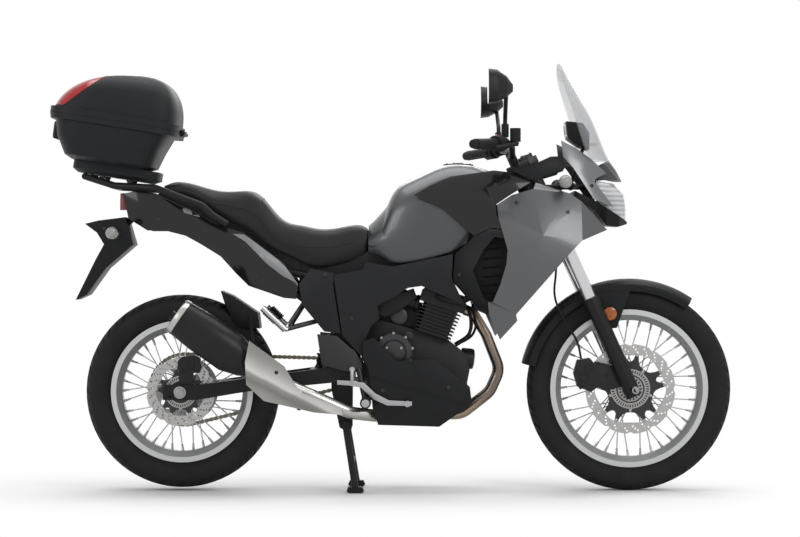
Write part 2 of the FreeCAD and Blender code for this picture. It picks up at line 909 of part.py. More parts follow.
def fork_sliders():
    """Fork bottoms with the axle that joins them."""
    pieces = []
    for side in (-1, 1):
        offset = side * s.fork_half_spacing
        name = "Right" if side < 0 else "Left"
        foot = on_steering(AXLE_ALONG - s.fork_slider_foot, FORK_OFFSET, offset)
        top = on_steering(AXLE_ALONG + s.fork_slider_length, FORK_OFFSET, offset)
        collar = on_steering(AXLE_ALONG + s.fork_slider_length * 0.9, FORK_OFFSET, offset)
        pieces.append(rod(f"Slider{name}", foot, top, s.fork_slider_radius))
        pieces.append(rod(f"Collar{name}", collar, top, s.fork_slider_radius * 1.12))
    reach = s.fork_half_spacing + s.fork_slider_radius
    axle = rod("FrontAxle", (FRONT_AXLE_X, -reach, FRONT_AXLE[2]),
               (FRONT_AXLE_X, reach, FRONT_AXLE[2]), s.axle_radius)
    spacer = s.fork_half_spacing - s.fork_slider_radius * 0.9
    for side in (-1, 1):
        inside = s.front_hub_left + s.joint_gap
        if side < 0:
            inside = -(s.front_hub_right + s.joint_gap)
        pieces.append(rod("Spacer", (FRONT_AXLE_X, inside, FRONT_AXLE[2]),
                          (FRONT_AXLE_X, side * spacer, FRONT_AXLE[2]), s.axle_radius * 1.6))
    whole = fused("ForkBottom", pieces + [axle])
    bore = rod("AxleBore", (FRONT_AXLE_X, -reach * 1.1, FRONT_AXLE[2]),
               (FRONT_AXLE_X, reach * 1.1, FRONT_AXLE[2]), s.axle_hollow_radius)
    return node("fork_sliders", carved("ForkSliders", whole, [bore]))


def clamp_outline():
    """Plan of a triple clamp: two ears round the fork tubes and a waist round the stem."""
    ear = s.fork_tube_radius * 1.6
    tip = s.fork_half_spacing + ear
    front = FORK_OFFSET + ear * 0.9
    side = [(front, s.fork_half_spacing * 0.5), (front, tip * 0.9), (FORK_OFFSET, tip),
            (FORK_OFFSET - ear * 0.9, tip * 0.9), (FORK_OFFSET - ear, s.fork_half_spacing * 0.6),
            (-s.clamp_waist * 0.6, s.clamp_waist * 0.4)]
    return side + [(ahead, -out) for ahead, out in reversed(side)]


def clamp(name, along, thickness):
    """One triple clamp, square to the steering axis."""
    body = DOC.addObject("PartDesign::Body", name)
    sketch = sketched(body, name, "XY_Plane", [clamp_outline()])
    pad = body.newObject("PartDesign::Pad", f"{name}Pad")
    pad.Profile = sketch
    bind(pad, "Length", thickness)
    turn = Rotation(Vector(0, 1, 0), -float(s.rake_angle))
    body.Placement = Placement(vector(on_steering(along)), turn)
    return body


def fork_tubes():
    """Fork tubes, both triple clamps and the stem that turns in the head tube."""
    pieces = [clamp("LowerClamp", s.lower_clamp_along, s.lower_clamp_thickness),
              clamp("UpperClamp", s.upper_clamp_along, s.upper_clamp_thickness)]
    for side in (-1, 1):
        offset = side * s.fork_half_spacing
        foot = on_steering(AXLE_ALONG + s.fork_slider_length + s.running_gap, FORK_OFFSET, offset)
        top = on_steering(s.upper_clamp_along + s.upper_clamp_thickness * 1.5, FORK_OFFSET, offset)
        pieces.append(rod("ForkTube", foot, top, s.fork_tube_radius))
    pieces.append(rod("Stem", on_steering(s.lower_clamp_along),
                      on_steering(s.upper_clamp_along + s.upper_clamp_thickness), s.stem_radius))
    return node("fork_tubes", *pieces)


def bar_route():
    """Centre line of the handlebar's right half, from the clamp to the end of the grip."""
    base = s.upper_clamp_along + s.upper_clamp_thickness + s.bar_clamp_height
    middle = on_steering(base, s.bar_radius * 0)
    reach = s.fork_half_spacing
    return [
        middle,
        (middle[0], -reach * 0.66, middle[2]),
        (middle[0] - reach * 0.05, -reach * 1.5, middle[2] + reach * 0.27),
        (middle[0] - reach * 0.24, -reach * 2.2, middle[2] + reach * 0.3),
        (middle[0] - reach * 1.22, -reach * 3.8, middle[2] + reach * 0.2),
    ]


def handlebar():
    """Bar with its two clamps on the upper triple clamp."""
    right = bar_route()
    route = list(reversed(right)) + [other_side(point) for point in right[1:]]
    pieces = [tube("Bar", route, s.bar_radius, s.bar_radius * 6)]
    for side in (-1, 1):
        offset = side * s.bar_clamp_half_spacing
        foot = on_steering(s.upper_clamp_along + s.upper_clamp_thickness + s.running_gap, 0, offset)
        top = on_steering(s.upper_clamp_along + s.upper_clamp_thickness + s.bar_clamp_height
                          + s.bar_radius * 1.5, 0, offset)
        pieces.append(rod("BarClamp", foot, top, s.bar_clamp_width / 2))
    return node("handlebar", *pieces)


def grips():
    """Grips, switch housings, bar ends, levers and the brake fluid reservoir."""
    right = bar_route()
    end, inner = right[4], right[3]
    length = distance(inner, end)
    gap = s.running_gap
    start_share = 1 - float(s.grip_length / length)
    housing_share = start_share - float(s.switch_length / length)
    grip_start = between(inner, end, start_share)
    housing_start = between(inner, end, housing_share)
    grip = rod("Grip", grip_start, end, s.grip_radius)
    housing = rod("Switch", housing_start, grip_start, s.switch_radius)
    cap = rod("BarEnd", end, between(inner, end, 1 + float(s.bar_end_length / length)),
              s.bar_end_radius)
    perch_place = between(inner, end, housing_share - 0.06)
    perch = rod("Perch", between(inner, end, housing_share - 0.12), housing_start,
                s.switch_radius * 0.72)
    lever_start = (perch_place[0] + s.switch_radius * 1.9, perch_place[1], perch_place[2])
    tip = (end[0] + s.switch_radius * 2.6, end[1] + s.switch_radius, end[2] - s.bar_radius)
    arm = rod("LeverArm", perch_place, lever_start, s.bar_radius * 0.8)
    lever = tube("Lever", [between(perch_place, lever_start, 0.6),
                           (lever_start[0], lever_start[1] - s.switch_radius, lever_start[2]),
                           tip], s.bar_radius * 0.5, s.bar_radius * 3)
    whole = fused("GripSet", [grip, housing, perch, cap, arm, lever])
    bore = rod("GripBore", between(inner, end, -0.1), end, s.bar_radius + gap)
    right_set = carved("RightGrip", whole, [bore])
    foot = (perch_place[0] + s.switch_radius * 1.5, perch_place[1] - s.switch_radius * 0.2,
            perch_place[2] + s.switch_radius * 0.2)
    top = (foot[0], foot[1], foot[2] + s.switch_radius * 1.7)
    reservoir = rod("Reservoir", foot, top, s.switch_radius * 0.68)
    right_whole = fused("RightGripSet", [right_set, carved("ReservoirCut", reservoir, [bore])])
    return node("grips", right_whole, mirrored(right_set), apart=True)


def mirrors():
    """Mirrors: a dished head on a stem that stands on the brake or clutch perch."""
    space = Space("mirror")
    ring_shares = ((0.0, 0.3), (0.2, 0.06), (0.62, 0.0), (0.94, 0.12), (1.0, 0.5),
                   (0.9, 0.9), (0.5, 1.0), (0.14, 0.9))
    depth_shares = ((0.0, 1.0, 0.5), (0.35, 0.94, 0.5), (0.75, 0.6, 0.48), (1.0, 0.2, 0.44))
    rings = []
    for along, scale, level in depth_shares:
        ring = []
        for out, up in ring_shares:
            side = 0.5 + (out - 0.5) * scale
            height = level + (up - 0.5) * scale
            x, y, z = space.at(along, height, side)
            ring.append((x, -y, z))
        rings.append(ring)
    head = curved_loft("MirrorHead", rings, ruled=True)
    right = bar_route()
    foot = between(right[3], right[4], 0.1)
    base = (foot[0] + s.switch_radius * 0.2, foot[1], foot[2] + s.switch_radius * 0.78)
    x, y, z = space.at(0.72, 0.2, 0.5)
    top = (x, -y, z)
    elbow = (base[0], base[1] - s.switch_radius * 0.4, base[2] + space.high * 0.55)
    stem = tube("MirrorStem", [base, elbow, top], s.mirror_stem_radius, s.switch_radius)
    boss = rod("MirrorFoot", base, between(base, elbow, 0.7), s.mirror_foot_radius)
    whole = fused("RightMirror", [head, stem, boss])
    return node("mirrors", *both_sides([whole]), apart=True)


def front_fender():
    """Front fender: an arched channel over the tyre, with a bracket plate at each fork leg."""
    body = DOC.addObject("PartDesign::Body", "FenderArch")
    radius, half, wall = s.fender_radius, s.fender_half_width, s.fender_thickness
    outer = [(radius + wall, half * 0), (radius + wall, half * 0.5),
             (radius - s.fender_wall_depth * 0.35, half),
             (radius - s.fender_wall_depth, half)]
    inner = [(radius - s.fender_wall_depth, half - wall * 0.6),
             (radius - s.fender_wall_depth * 0.4 - wall, half - wall * 0.6),
             (radius, half * 0.46), (radius, half * 0)]
    profile = outer + inner[:3] + [(up, -out) for up, out in reversed(inner[:3])]
    profile += [(up, -out) for up, out in reversed(outer[1:])]
    sketch = sketched(body, "FenderArch", "XY_Plane", [profile])
    turn = body.newObject("PartDesign::Revolution", "FenderTurn")
    turn.Profile = sketch
    turn.ReferenceAxis = (sketch, ["V_Axis"])
    bind(turn, "Angle", s.fender_rear_angle - s.fender_front_angle)
    start = Rotation(Vector(0, 1, 0), -float(s.fender_rear_angle))
    body.Placement = Placement(vector(FRONT_AXLE), start)
    flap_space = Space("flap")
    flap_shares = ((-0.336, 0.9), (0.78, 0.92), (1, 1), (0.59, 0.03), (0.13, 0), (-0.1, 0.46))
    outline = [flap_space.flat(*share) for share in flap_shares]
    flap = plate("ForkPlate", outline, flap_space.deep, -(flap_space.inner + flap_space.deep / 2))
    return node("front_fender", body, flap, mirrored(flap))


def front_caliper():
    """Front caliper: a block on the right fork leg, slotted over the disc."""
    space = Space("front_caliper")
    shares = ((0.14, 0.94), (0.62, 1), (0.95, 0.71), (1, 0.2), (0.67, 0), (0.14, 0.16), (0, 0.55))
    outline = [space.flat(*share) for share in shares]
    middle = -(space.inner + space.deep / 2)
    body = plate("CaliperBlock", outline, space.deep, middle)
    half = s.disc_thickness / 2 + s.joint_gap / 3
    slot = turned("CaliperSlot", [
        (s.hub_flange_radius, half), (s.front_disc_radius + s.joint_gap, half),
        (s.front_disc_radius + s.joint_gap, -half), (s.hub_flange_radius, -half)],
        (FRONT_AXLE_X, -s.front_disc_side, FRONT_AXLE[2]))
    leg = rod("LegRoom",
              on_steering(AXLE_ALONG - s.fork_slider_foot, FORK_OFFSET, -s.fork_half_spacing),
              on_steering(AXLE_ALONG + s.fork_slider_length, FORK_OFFSET, -s.fork_half_spacing),
              s.fork_slider_radius + s.running_gap)
    arm_shares = ((0.55, 0.25), (1.3, 0.05), (2.1, 0.2), (2.0, 0.7), (0.8, 0.9))
    arm = plate("CaliperArm", [space.flat(*share) for share in arm_shares],
                space.deep * 0.26, -(space.inner + space.deep * 0.82))
    whole = fused("CaliperWhole", [body, arm])
    return node("front_caliper", carved("FrontCaliper", whole, [slot, leg]))


def rear_caliper():
    """Rear caliper: a slotted block over the disc, on a foot that stands on the swingarm."""
    space = Space("rear_caliper")
    shares = ((0, 0.55), (0.1, 0.42), (0.9, 0.4), (1, 0.6), (0.92, 0.9), (0.7, 1), (0.18, 0.94),
              (0.02, 0.8))
    block_body = plate("RearCaliperBlock", [space.flat(*share) for share in shares],
                       space.deep, -(space.inner + space.deep / 2))
    half = s.disc_thickness / 2 + s.joint_gap / 3
    reach = s.rear_disc_radius + s.joint_gap
    slot = turned("RearCaliperSlot", [
        (s.hub_flange_radius, half), (reach, half), (reach, -half), (s.hub_flange_radius, -half)],
        (REAR_AXLE_X, -s.rear_disc_side, REAR_AXLE[2]))
    foot_z = s.rear_axle_height + s.swingarm_rear_depth / 2 + s.running_gap
    low_x, mid_z = space.flat(0.06, 0.6)
    high_x, _ = space.flat(0.66, 0)
    foot_outline = [(low_x, foot_z), (high_x, foot_z), (high_x, mid_z), (low_x, mid_z)]
    foot_inner = s.swingarm_side - s.swingarm_leg_width / 2 + s.running_gap
    foot_deep = space.inner + space.deep - foot_inner
    foot = plate("RearCaliperFoot", foot_outline, foot_deep, -(foot_inner + foot_deep / 2))
    whole = fused("RearCaliperWhole", [carved("RearCaliperCut", block_body, [slot]), foot])
    return node("rear_caliper", whole)


def brake_hose():
    """Front brake hose: from the caliper up behind the right fork leg to the lower clamp."""
    space = Space("front_caliper")
    out = -(space.inner + space.deep * 0.6)
    start_x, start_z = space.flat(0.3, 0.97)
    leg = s.fork_slider_radius
    top = on_steering(s.lower_clamp_along - s.running_gap, FORK_OFFSET - leg, -s.fork_half_spacing)
    route = [
        (start_x, out, start_z),
        (start_x - leg * 0.4, out, start_z + leg * 2.2),
        (start_x - leg * 2.2, out * 1.04, start_z + leg * 5),
        (start_x - leg * 3.6, out * 1.06, start_z + leg * 8),
        (start_x - leg * 3.2, out * 1.04, start_z + leg * 11.4),
        (top[0] + leg * 0.6, top[1], top[2] - leg * 2),
        top,
    ]
    return node("front_brake_hose", tube("BrakeHose", route, s.hose_radius, leg * 6))


# Frame and swingarm

def head_tube():
    start = on_steering(s.lower_clamp_along + s.lower_clamp_thickness + s.head_tube_end_gap)
    end = on_steering(s.upper_clamp_along - s.head_tube_end_gap)
    return rod("HeadTube", start, end, s.head_tube_radius)


def main_rail():
    """Centre line of the right main tube, from the head tube to the swingarm plates."""
    side = s.pivot_plate_side
    top = on_steering(s.lower_clamp_along + s.lower_clamp_thickness + s.frame_tube_radius * 2.4,
                      -s.head_tube_radius * 0.62, -side * 0.12)
    crown = Space("radiator")
    return [
        top,
        (crown.rear + crown.long * 0.6, -side * 1.12, crown.foot + crown.high * 1.19),
        (s.cylinder_x - s.cylinder_length * 0.1, -side * 1.25, s.cylinder_z + s.cylinder_height * 2.3),
        (s.pivot_x + side * 1.6, -side * 1.2, s.pivot_z + side * 3.5),
        (s.pivot_x + side * 0.1, -side, s.pivot_z + side * 2.3),
    ]


def pivot_plate():
    """Swingarm plate: it joins the main tube, the engine, the pivot and the stand's lugs."""
    width = s.pivot_plate_side
    x, z = s.pivot_x, s.pivot_z
    low = s.centre_stand_pivot_z
    outline = [
        (x - width * 0.45, z + width * 2.4), (x + width * 0.443, z + width * 2.4),
        (x + width * 0.443, z + width * 1.3), (x + width * 0.4, z - width * 0.6),
        (s.centre_stand_pivot_x + s.stand_lug_radius, low + s.stand_lug_radius),
        (s.centre_stand_pivot_x + s.stand_lug_radius, low - s.stand_lug_radius * 0.6),
        (s.centre_stand_pivot_x, low - s.stand_lug_radius),
        (s.centre_stand_pivot_x - s.stand_lug_radius, low - s.stand_lug_radius * 0.4),
        (x - width * 0.6, z - width * 0.8), (x - width * 0.62, z + width * 0.4),
    ]
    holes = [(s.centre_stand_pivot_x, low, s.centre_stand_tube_radius + s.running_gap)]
    return plate("PivotPlate", outline, s.pivot_plate_thickness, -s.pivot_plate_side, holes)


def subframe_lines():
    """Centre lines of the right rails of the seat frame: the upper rail and the strut under it."""
    seat_space = Space("seat")
    side = s.pivot_plate_side
    upper = [
        between(main_rail()[2], main_rail()[3], 0.75),
        (seat_space.rear + seat_space.long * 0.62, -side * 1.26,
         seat_space.foot - seat_space.high * 0.02),
        (seat_space.rear + seat_space.long * 0.36, -side * 1.2,
         seat_space.foot + seat_space.high * 0.24),
        (seat_space.rear + seat_space.long * 0.1, -side, seat_space.foot + seat_space.high * 0.6),
        (subframe_ends()[0] - side * 0.2, -side * 0.85, subframe_ends()[2]),
    ]
    strut = [(s.pivot_x, -side, s.pivot_z + side * 2.1), upper[2]]
    return upper, strut


def subframe_rails():
    upper, strut = subframe_lines()
    return [tube("UpperRail", upper, s.subframe_tube_radius, s.pivot_plate_side),
            rod("LowerStrut", strut[0], strut[1], s.subframe_tube_radius * 0.9)]


def main_frame():
    """Frame: head tube, main tubes, swingarm plates, seat rails and cross tubes."""
    rail = tube("MainTube", main_rail(), s.frame_tube_radius, s.pivot_plate_side)
    pieces = both_sides([rail, pivot_plate()] + subframe_rails())
    reach = s.swingarm_side + s.swingarm_leg_width * 0.7
    pieces.append(rod("PivotShaft", (s.pivot_x, -reach, s.pivot_z), (s.pivot_x, reach, s.pivot_z),
                      s.pivot_shaft_radius))
    for name, point in (("UpperCross", main_rail()[4]), ("RearCross", subframe_ends())):
        pieces.append(rod(name, point, other_side(point), s.subframe_tube_radius))
    pieces += cowl_stays() + lamp_stays()
    pieces += stand_bracket()
    whole = fused("FrameWhole", [head_tube()] + pieces)
    bore = rod("HeadBore", on_steering(s.lower_clamp_along),
               on_steering(s.upper_clamp_along + s.upper_clamp_thickness),
               s.stem_radius + s.head_tube_bore_gap)
    return node("main_frame", carved("MainFrame", whole, [bore]))


def meter_stay():
    """Ends of the post that carries the meter, square to the meter's underside."""
    space = Space("meter")
    top = (space.rear + space.long * 0.785, space.inner, space.foot + space.high * 0.056)
    return (top[0] - space.long * 0.56, space.inner, top[2] - space.high * 1.374), top


def cowl_stays():
    """The front cowl's bracket: a bar from the head tube to the lamp, a cross bar and a post."""
    lamp = Space("lamp")
    post = meter_stay()
    level = post[0][2]
    side = Space("inner_cowl").inner * 1.17
    start = on_steering(s.lower_clamp_along * 1.16, s.head_tube_radius * 0.9)
    bar = rod("CowlBar", (start[0], lamp.inner, level), (lamp.rear - s.running_gap, lamp.inner, level),
              s.subframe_tube_radius * 0.7)
    cross_x = post[0][0] + s.subframe_tube_radius
    cross = rod("CowlCross", (cross_x, -side, level), (cross_x, side, level),
                s.subframe_tube_radius * 0.6)
    return [bar, cross, rod("MeterPost", *post, s.axle_hollow_radius)]


def cowl_cross():
    """Ends of the cowl bracket's cross bar."""
    post = meter_stay()
    side = Space("inner_cowl").inner * 1.17
    cross_x = post[0][0] + s.subframe_tube_radius
    return (cross_x, -side, post[0][2]), (cross_x, side, post[0][2])


def lamp_stays():
    """Two short stays that carry the tail lamp."""
    lamp = Space("tail_lamp")
    x, _, z = subframe_ends()
    stays = []
    for side in (-0.5, 0.5):
        y = lamp.deep * side
        stays.append(rod("LampStay", (x, y, z + s.stay_radius),
                         (lamp.rear + lamp.long + s.running_gap, y, z + s.stay_radius),
                         s.stay_radius * 1.4))
    return stays


# Direction of the side stand's pivot, as shares of a length along it.
SWING_SHARES = (-0.104, 0.9893, 0.102)


def on_stand_pivot(way):
    """A point of the side stand's pivot, by its way out from the stand's middle."""
    middle = (s.side_stand_pivot_x, s.side_stand_pivot_y, s.side_stand_pivot_z)
    return tuple(start + share * way for start, share in zip(middle, SWING_SHARES))


def stand_bracket():
    """The bracket on the left swingarm plate that carries the side stand."""
    start = (s.centre_stand_pivot_x + s.stand_lug_radius * 0.5, s.pivot_plate_side,
             s.centre_stand_pivot_z + s.stand_lug_radius * 1.3)
    radius = s.side_stand_radius
    end = on_stand_pivot(radius * -2.4)
    arm = rod("StandBracket", start, end, radius)
    boss = rod("StandBoss", on_stand_pivot(radius * -3.2),
               on_stand_pivot(-radius - s.running_gap), radius * 1.3)
    return [arm, boss]


def subframe_ends():
    tail = Space("tail")
    side = s.pivot_plate_side
    return (tail.rear + tail.long * 0.1, -side * 0.85, tail.foot + tail.high * 0.83)


def swingarm():
    """Swingarm: two tapered legs, a cross brace, the rear axle and the stand spools."""
    half_front = s.swingarm_front_depth / 2
    half_rear = s.swingarm_rear_depth / 2
    x0, z0 = s.pivot_x, s.pivot_z
    x1, z1 = REAR_AXLE_X, s.rear_axle_height
    mid_x, mid_z = x0 + (x1 - x0) * 0.55, z0 + (z1 - z0) * 0.55
    outline = [
        (x0 + half_front * 0.7, z0 + half_front * 0.7), (x0, z0 + half_front),
        (mid_x, mid_z + half_front * 0.8), (x1 + s.swingarm_tail, z1 + half_rear),
        (x1 - s.swingarm_tail * 0.9, z1 + half_rear), (x1 - s.swingarm_tail, z1 + half_rear * 0.6),
        (x1 - s.swingarm_tail, z1 - half_rear), (x1 + s.swingarm_tail, z1 - half_rear),
        (mid_x, mid_z - half_front * 0.8), (x0, z0 - half_front),
        (x0 + half_front * 0.7, z0 - half_front * 0.7), (x0 + half_front, z0),
    ]
    bore = [(x0, z0, s.pivot_shaft_radius + s.running_gap)]
    leg = plate("SwingarmLeg", outline, s.swingarm_leg_width, -s.swingarm_side, bore)
    inner = s.swingarm_side - s.swingarm_leg_width / 4
    brace_x = x0 + (x1 - x0) * 0.19
    brace = rod("SwingarmBrace", (brace_x, -inner, z0 - half_front * 0.4),
                (brace_x, inner, z0 - half_front * 0.4), half_front * 0.9)
    axle = rod("RearAxle", (x1, -s.swingarm_side, z1), (x1, s.swingarm_side, z1), s.axle_radius)
    face = s.swingarm_side + s.swingarm_leg_width / 2
    guard = Space("hugger")
    guard_x, guard_z = guard.flat(0.8, 0.3)
    root_z = s.rear_axle_height + s.swingarm_rear_depth * 0.6
    arm_side = s.swingarm_side - s.swingarm_leg_width * 0.22
    post = rod("GuardPost", (guard_x, -arm_side, root_z), (guard_x, -arm_side, guard_z),
               s.axle_hollow_radius)
    tip = rod("GuardTip", (guard_x, -arm_side, guard_z),
              (guard_x, -(guard.deep + s.running_gap), guard_z), s.axle_hollow_radius)
    pieces = both_sides([leg, post, tip]) + [brace, axle]
    drills = []
    for side in (-1, 1):
        spot = (x1 - s.spool_back, side * (face - s.spool_length), z1 - s.spool_drop)
        out = (spot[0], side * (face + s.spool_length), spot[2])
        deep = (spot[0], side * (face + s.spool_length - s.spool_bore_depth), spot[2])
        pieces.append(rod("Spool", spot, out, s.spool_radius))
        drills.append(rod("SpoolBore", deep, (out[0], side * (face + s.spool_length * 2), out[2]),
                          s.spool_bore_radius))
    whole = fused("SwingarmWhole", pieces)
    return node("swingarm", carved("Swingarm", whole, drills))


def shock_absorber():
    """Rear shock: damper body inside a coil spring, from the swingarm brace to the frame."""
    brace_x = s.pivot_x + (REAR_AXLE_X - s.pivot_x) * 0.19
    brace_z = s.pivot_z - s.swingarm_front_depth * 0.2
    low = Vector(brace_x, 0, brace_z)
    high_x, _, high_z = main_rail()[4]
    high = Vector(high_x, 0, high_z)
    up = (high - low).normalize()
    low = low + up * (s.swingarm_front_depth * 0.45 + s.running_gap)
    high = high - up * (s.subframe_tube_radius + s.running_gap)
    length = low.distanceToPoint(high)
    radius = s.head_tube_radius
    body = DOC.addObject("PartDesign::Body", "ShockBody")
    coils = 7
    profile = [(radius * 0, radius * 0), (radius * 0.5, radius * 0), (radius * 0.5, radius * 0.5)]
    start, end = 0.22, 0.8
    span = Size(length, written(length))
    profile.append((radius, span * start * 0.8))
    for coil in range(coils):
        share = start + (end - start) * coil / coils
        step = (end - start) / coils
        profile.append((radius * 0.75, span * share))
        profile.append((radius * 1.15, span * (share + step * 0.3)))
        profile.append((radius * 1.15, span * (share + step * 0.7)))
    profile += [(radius * 0.75, span * end), (radius * 1.1, span * (end + 0.02)),
                (radius * 1.1, span * (end + 0.1)), (radius * 0.5, span * (end + 0.12)),
                (radius * 0.5, span), (radius * 0, span)]
    sketch = sketched(body, "Shock", "XZ_Plane", [profile])
    turn = body.newObject("PartDesign::Revolution", "ShockTurn")
    turn.Profile = sketch
    turn.ReferenceAxis = (sketch, ["V_Axis"])
    turn.Angle = 360
    body.Placement = Placement(low, Rotation(Vector(0, 0, 1), up))
    return node("shock_absorber", body)


def chain_guard():
    """Rear hugger: a curved guard over the front of the rear tyre."""
    space = Space("hugger")
    shares = ((0, 1), (0.29, 0.87), (0.95, 0.41), (1, 0), (0.42, 0.04), (0.11, 0.64))
    outline = [space.flat(*share) for share in shares]
    body = plate("Hugger", outline, space.deep * 2, space.inner)
    clearance = s.rear_tyre_radius + s.joint_gap * 2
    half = s.rear_tyre_width / 2 + s.joint_gap / 3
    room = turned("HuggerRoom", [
        (half, half), (clearance, half), (clearance, -half), (half, -half)], REAR_AXLE)
    return node("hugger", carved("HuggerCut", body, [room]))


# Engine

def engine_case():
    """Crankcase with the gearbox shaft that carries the front chain wheel."""
    space = Space("crankcase")
    shares = ((0, 0.8), (0.14, 0.91), (0.21, 1), (0.54, 0.88), (0.82, 0.76), (0.97, 0.6),
              (1, 0.42), (0.97, 0.22), (0.87, 0.03), (0.23, 0), (0.14, 0.1), (0.09, 0.52))
    outline = [space.flat(*share) for share in shares]
    block_body = plate("Crankcase", outline, space.deep * 2, space.inner)
    radius = sprocket_radius(s.front_sprocket_teeth) - s.chain_height / 2 - s.sprocket_tip_gap
    shaft = rod("FrontSprocket", (s.gearbox_x, s.crankcase_half_width * 0.6, s.gearbox_z),
                (s.gearbox_x, s.chain_side + s.sprocket_thickness / 2, s.gearbox_z), radius)
    return node("engine_case", block_body, shaft)


def round_cover(name, x, z, radius, side):
    """A domed side cover of the engine, stepped to a raised middle."""
    foot = s.crankcase_half_width + s.running_gap
    deep = s.cover_depth
    profile = [(radius * 0, foot), (radius, foot), (radius, foot + deep * 0.55),
               (radius * 0.86, foot + deep * 0.78), (radius * 0.62, foot + deep * 0.8),
               (radius * 0.52, foot + deep), (radius * 0, foot + deep)]
    if side < 0:
        profile = [(across, -out) for across, out in profile]
    return turned(name, profile, (x, radius * 0, z))


def engine_covers():
    """Clutch cover on the right, generator and chain wheel covers on the left."""
    clutch = round_cover("ClutchCover", s.clutch_x, s.clutch_z, s.clutch_radius, -1)
    generator = round_cover("GeneratorCover", s.generator_x, s.generator_z, s.generator_radius, 1)
    return node("engine_covers", clutch, generator, apart=True)


def engine_cylinders():
    """Finned cylinder block and head, leaning forward."""
    half_length = s.cylinder_length / 2
    half_width = s.cylinder_half_width
    core = block("CylinderCore", (-half_length * 0.8, -half_width * 0.9, s.cylinder_height * 0),
                 (half_length * 0.8, half_width * 0.9, s.cylinder_height + s.head_height * 0.4))
    pieces = [core]
    pitch = s.cylinder_height / s.fin_count
    for number in range(int(s.fin_count)):
        low = pitch * number + s.fin_thickness
        grow = 1 + 0.12 * number / float(s.fin_count)
        pieces.append(block("Fin", (-half_length * grow, -half_width, low),
                            (half_length * grow, half_width, low + s.fin_thickness)))
    head_half = s.head_length / 2
    head_low = s.cylinder_height + s.fin_thickness
    outline = [(-head_half, head_low), (head_half, head_low),
               (head_half, head_low + s.head_height * 0.5),
               (head_half * 0.8, head_low + s.head_height), (-head_half * 0.8, head_low + s.head_height),
               (-head_half, head_low + s.head_height * 0.6)]
    pieces.append(plate("CylinderHead", outline, half_width * 1.96, half_width * 0))
    whole = fused("CylinderWhole", pieces)
    lean = Rotation(Vector(0, 1, 0), float(s.cylinder_lean))
    whole.Placement = Placement(Vector(s.cylinder_x, 0, s.cylinder_z), lean)
    return node("engine_cylinders", whole)


def on_cylinder(ahead, side, up):
    """A point of the leaning cylinder block."""
    lean = math.radians(s.cylinder_lean)
    return (
        s.cylinder_x + ahead * math.cos(lean) + up * math.sin(lean),
        side,
        s.cylinder_z - ahead * math.sin(lean) + up * math.cos(lean),
    )


def exhaust():
    """Two header pipes that join under the engine and run to the silencer as one pipe."""
    side = s.header_side
    front = s.cylinder_x + s.cylinder_length * 0.98
    port_up = s.cylinder_height + s.fin_thickness + s.head_height * 0.24
    low = s.crankcase_foot - s.header_radius * 1.45
    pieces = []
    for name, sign in (("Right", -1), ("Left", 1)):
        route = [
            on_cylinder(s.head_length / 2 + s.running_gap, sign * side, port_up),
            on_cylinder(s.head_length / 2 + side * 0.7, sign * side, port_up),
            (front + side * 1.4, sign * side, s.cylinder_z),
            (front + side * 2.5, sign * side, s.crankcase_foot + side * 3),
            (front + side * 1.7, sign * side, s.crankcase_foot + side * 1.2),
            (front - side * 0.6, sign * side * 0.9, low),
            (front - side * 3.6, sign * side * 0.4, low),
        ]
        pieces.append(tube(f"Header{name}", route, s.header_radius, side * 1.6))
    collector = front - side * 3.2
    out = s.muffler_side
    route = [
        (collector, side * 0, low),
        (collector - side * 1.8, -side * 0.3, low),
        (s.gearbox_x + side * 0.8, -out * 0.6, low),
        (s.gearbox_x - side * 1.2, -out * 0.8, low + side * 0.3),
        (s.gearbox_x - side * 4.2, -out * 0.95, low + side * 1.7),
        (s.muffler_front_x + side * MUFFLER_COSINE, -out, s.muffler_front_z - side * MUFFLER_SINE),
        (s.muffler_front_x, -out, s.muffler_front_z),
    ]
    pieces.append(tube("MidPipe", route, s.midpipe_radius, side * 2))
    return node("exhaust", *pieces)


def muffler():
    """Silencer: a tapered can of flattened round section with an end cap, sloping up."""
    along_x, along_z = -MUFFLER_COSINE, MUFFLER_SINE
    station_shares = ((0.0, 0.42, 0.42), (0.1, 0.72, 0.74), (0.3, 1.0, 1.0), (0.7, 0.98, 1.0),
                      (0.92, 0.9, 0.94), (1.0, 0.84, 0.88))
    corners = 16
    rings = []
    for along, high, wide in station_shares:
        way = s.muffler_length * along + s.running_gap
        ring = []
        for corner in range(corners):
            angle = 2 * math.pi * corner / corners
            lift = s.muffler_half_height * high * math.sin(angle)
            ring.append((
                s.muffler_front_x + along_x * way + along_z * lift,
                -s.muffler_side + s.muffler_half_width * wide * math.cos(angle),
                s.muffler_front_z + along_z * way - along_x * lift,
            ))
        rings.append(ring)
    return node("muffler", curved_loft("MufflerCan", rings, ruled=True))


def muffler_shield():
    """Pale heat shield beside the pipe ahead of the silencer."""
    space = Space("shield")
    shares = {
        "A": (0.04, 1, 0.86), "B": (0.4, 0.66, 0.78), "C": (0.56, 0.32, 0.61),
        "D": (0.97, 0.1, 0.06), "E": (1, 0, 0), "F": (0.7, 0.04, 0.25),
        "G": (0.19, 0.2, 0.69), "H": (0.01, 0.42, 0.89), "I": (0, 0.72, 1),
    }
    corners = right_corners(space, shares)
    shield = right_skin("Shield", corners, "ABI BHI BGH BCG CFG CDF DEF")
    x, y, z = corners["C"]
    pipe = s.muffler_side * 0.965 + s.midpipe_radius
    boss = rod("ShieldBoss", (x, -pipe, z), (x, y + s.panel_thickness / 2, z), s.axle_hollow_radius)
    return node("muffler_shield", shield, boss)


def right_corners(space, shares):
    """The corners of a panel on the right side of the machine, from shares of its space."""
    corners = {}
    for letter, share in shares.items():
        x, y, z = space.at(*share)
        corners[letter] = (x, -y, z)
    return corners


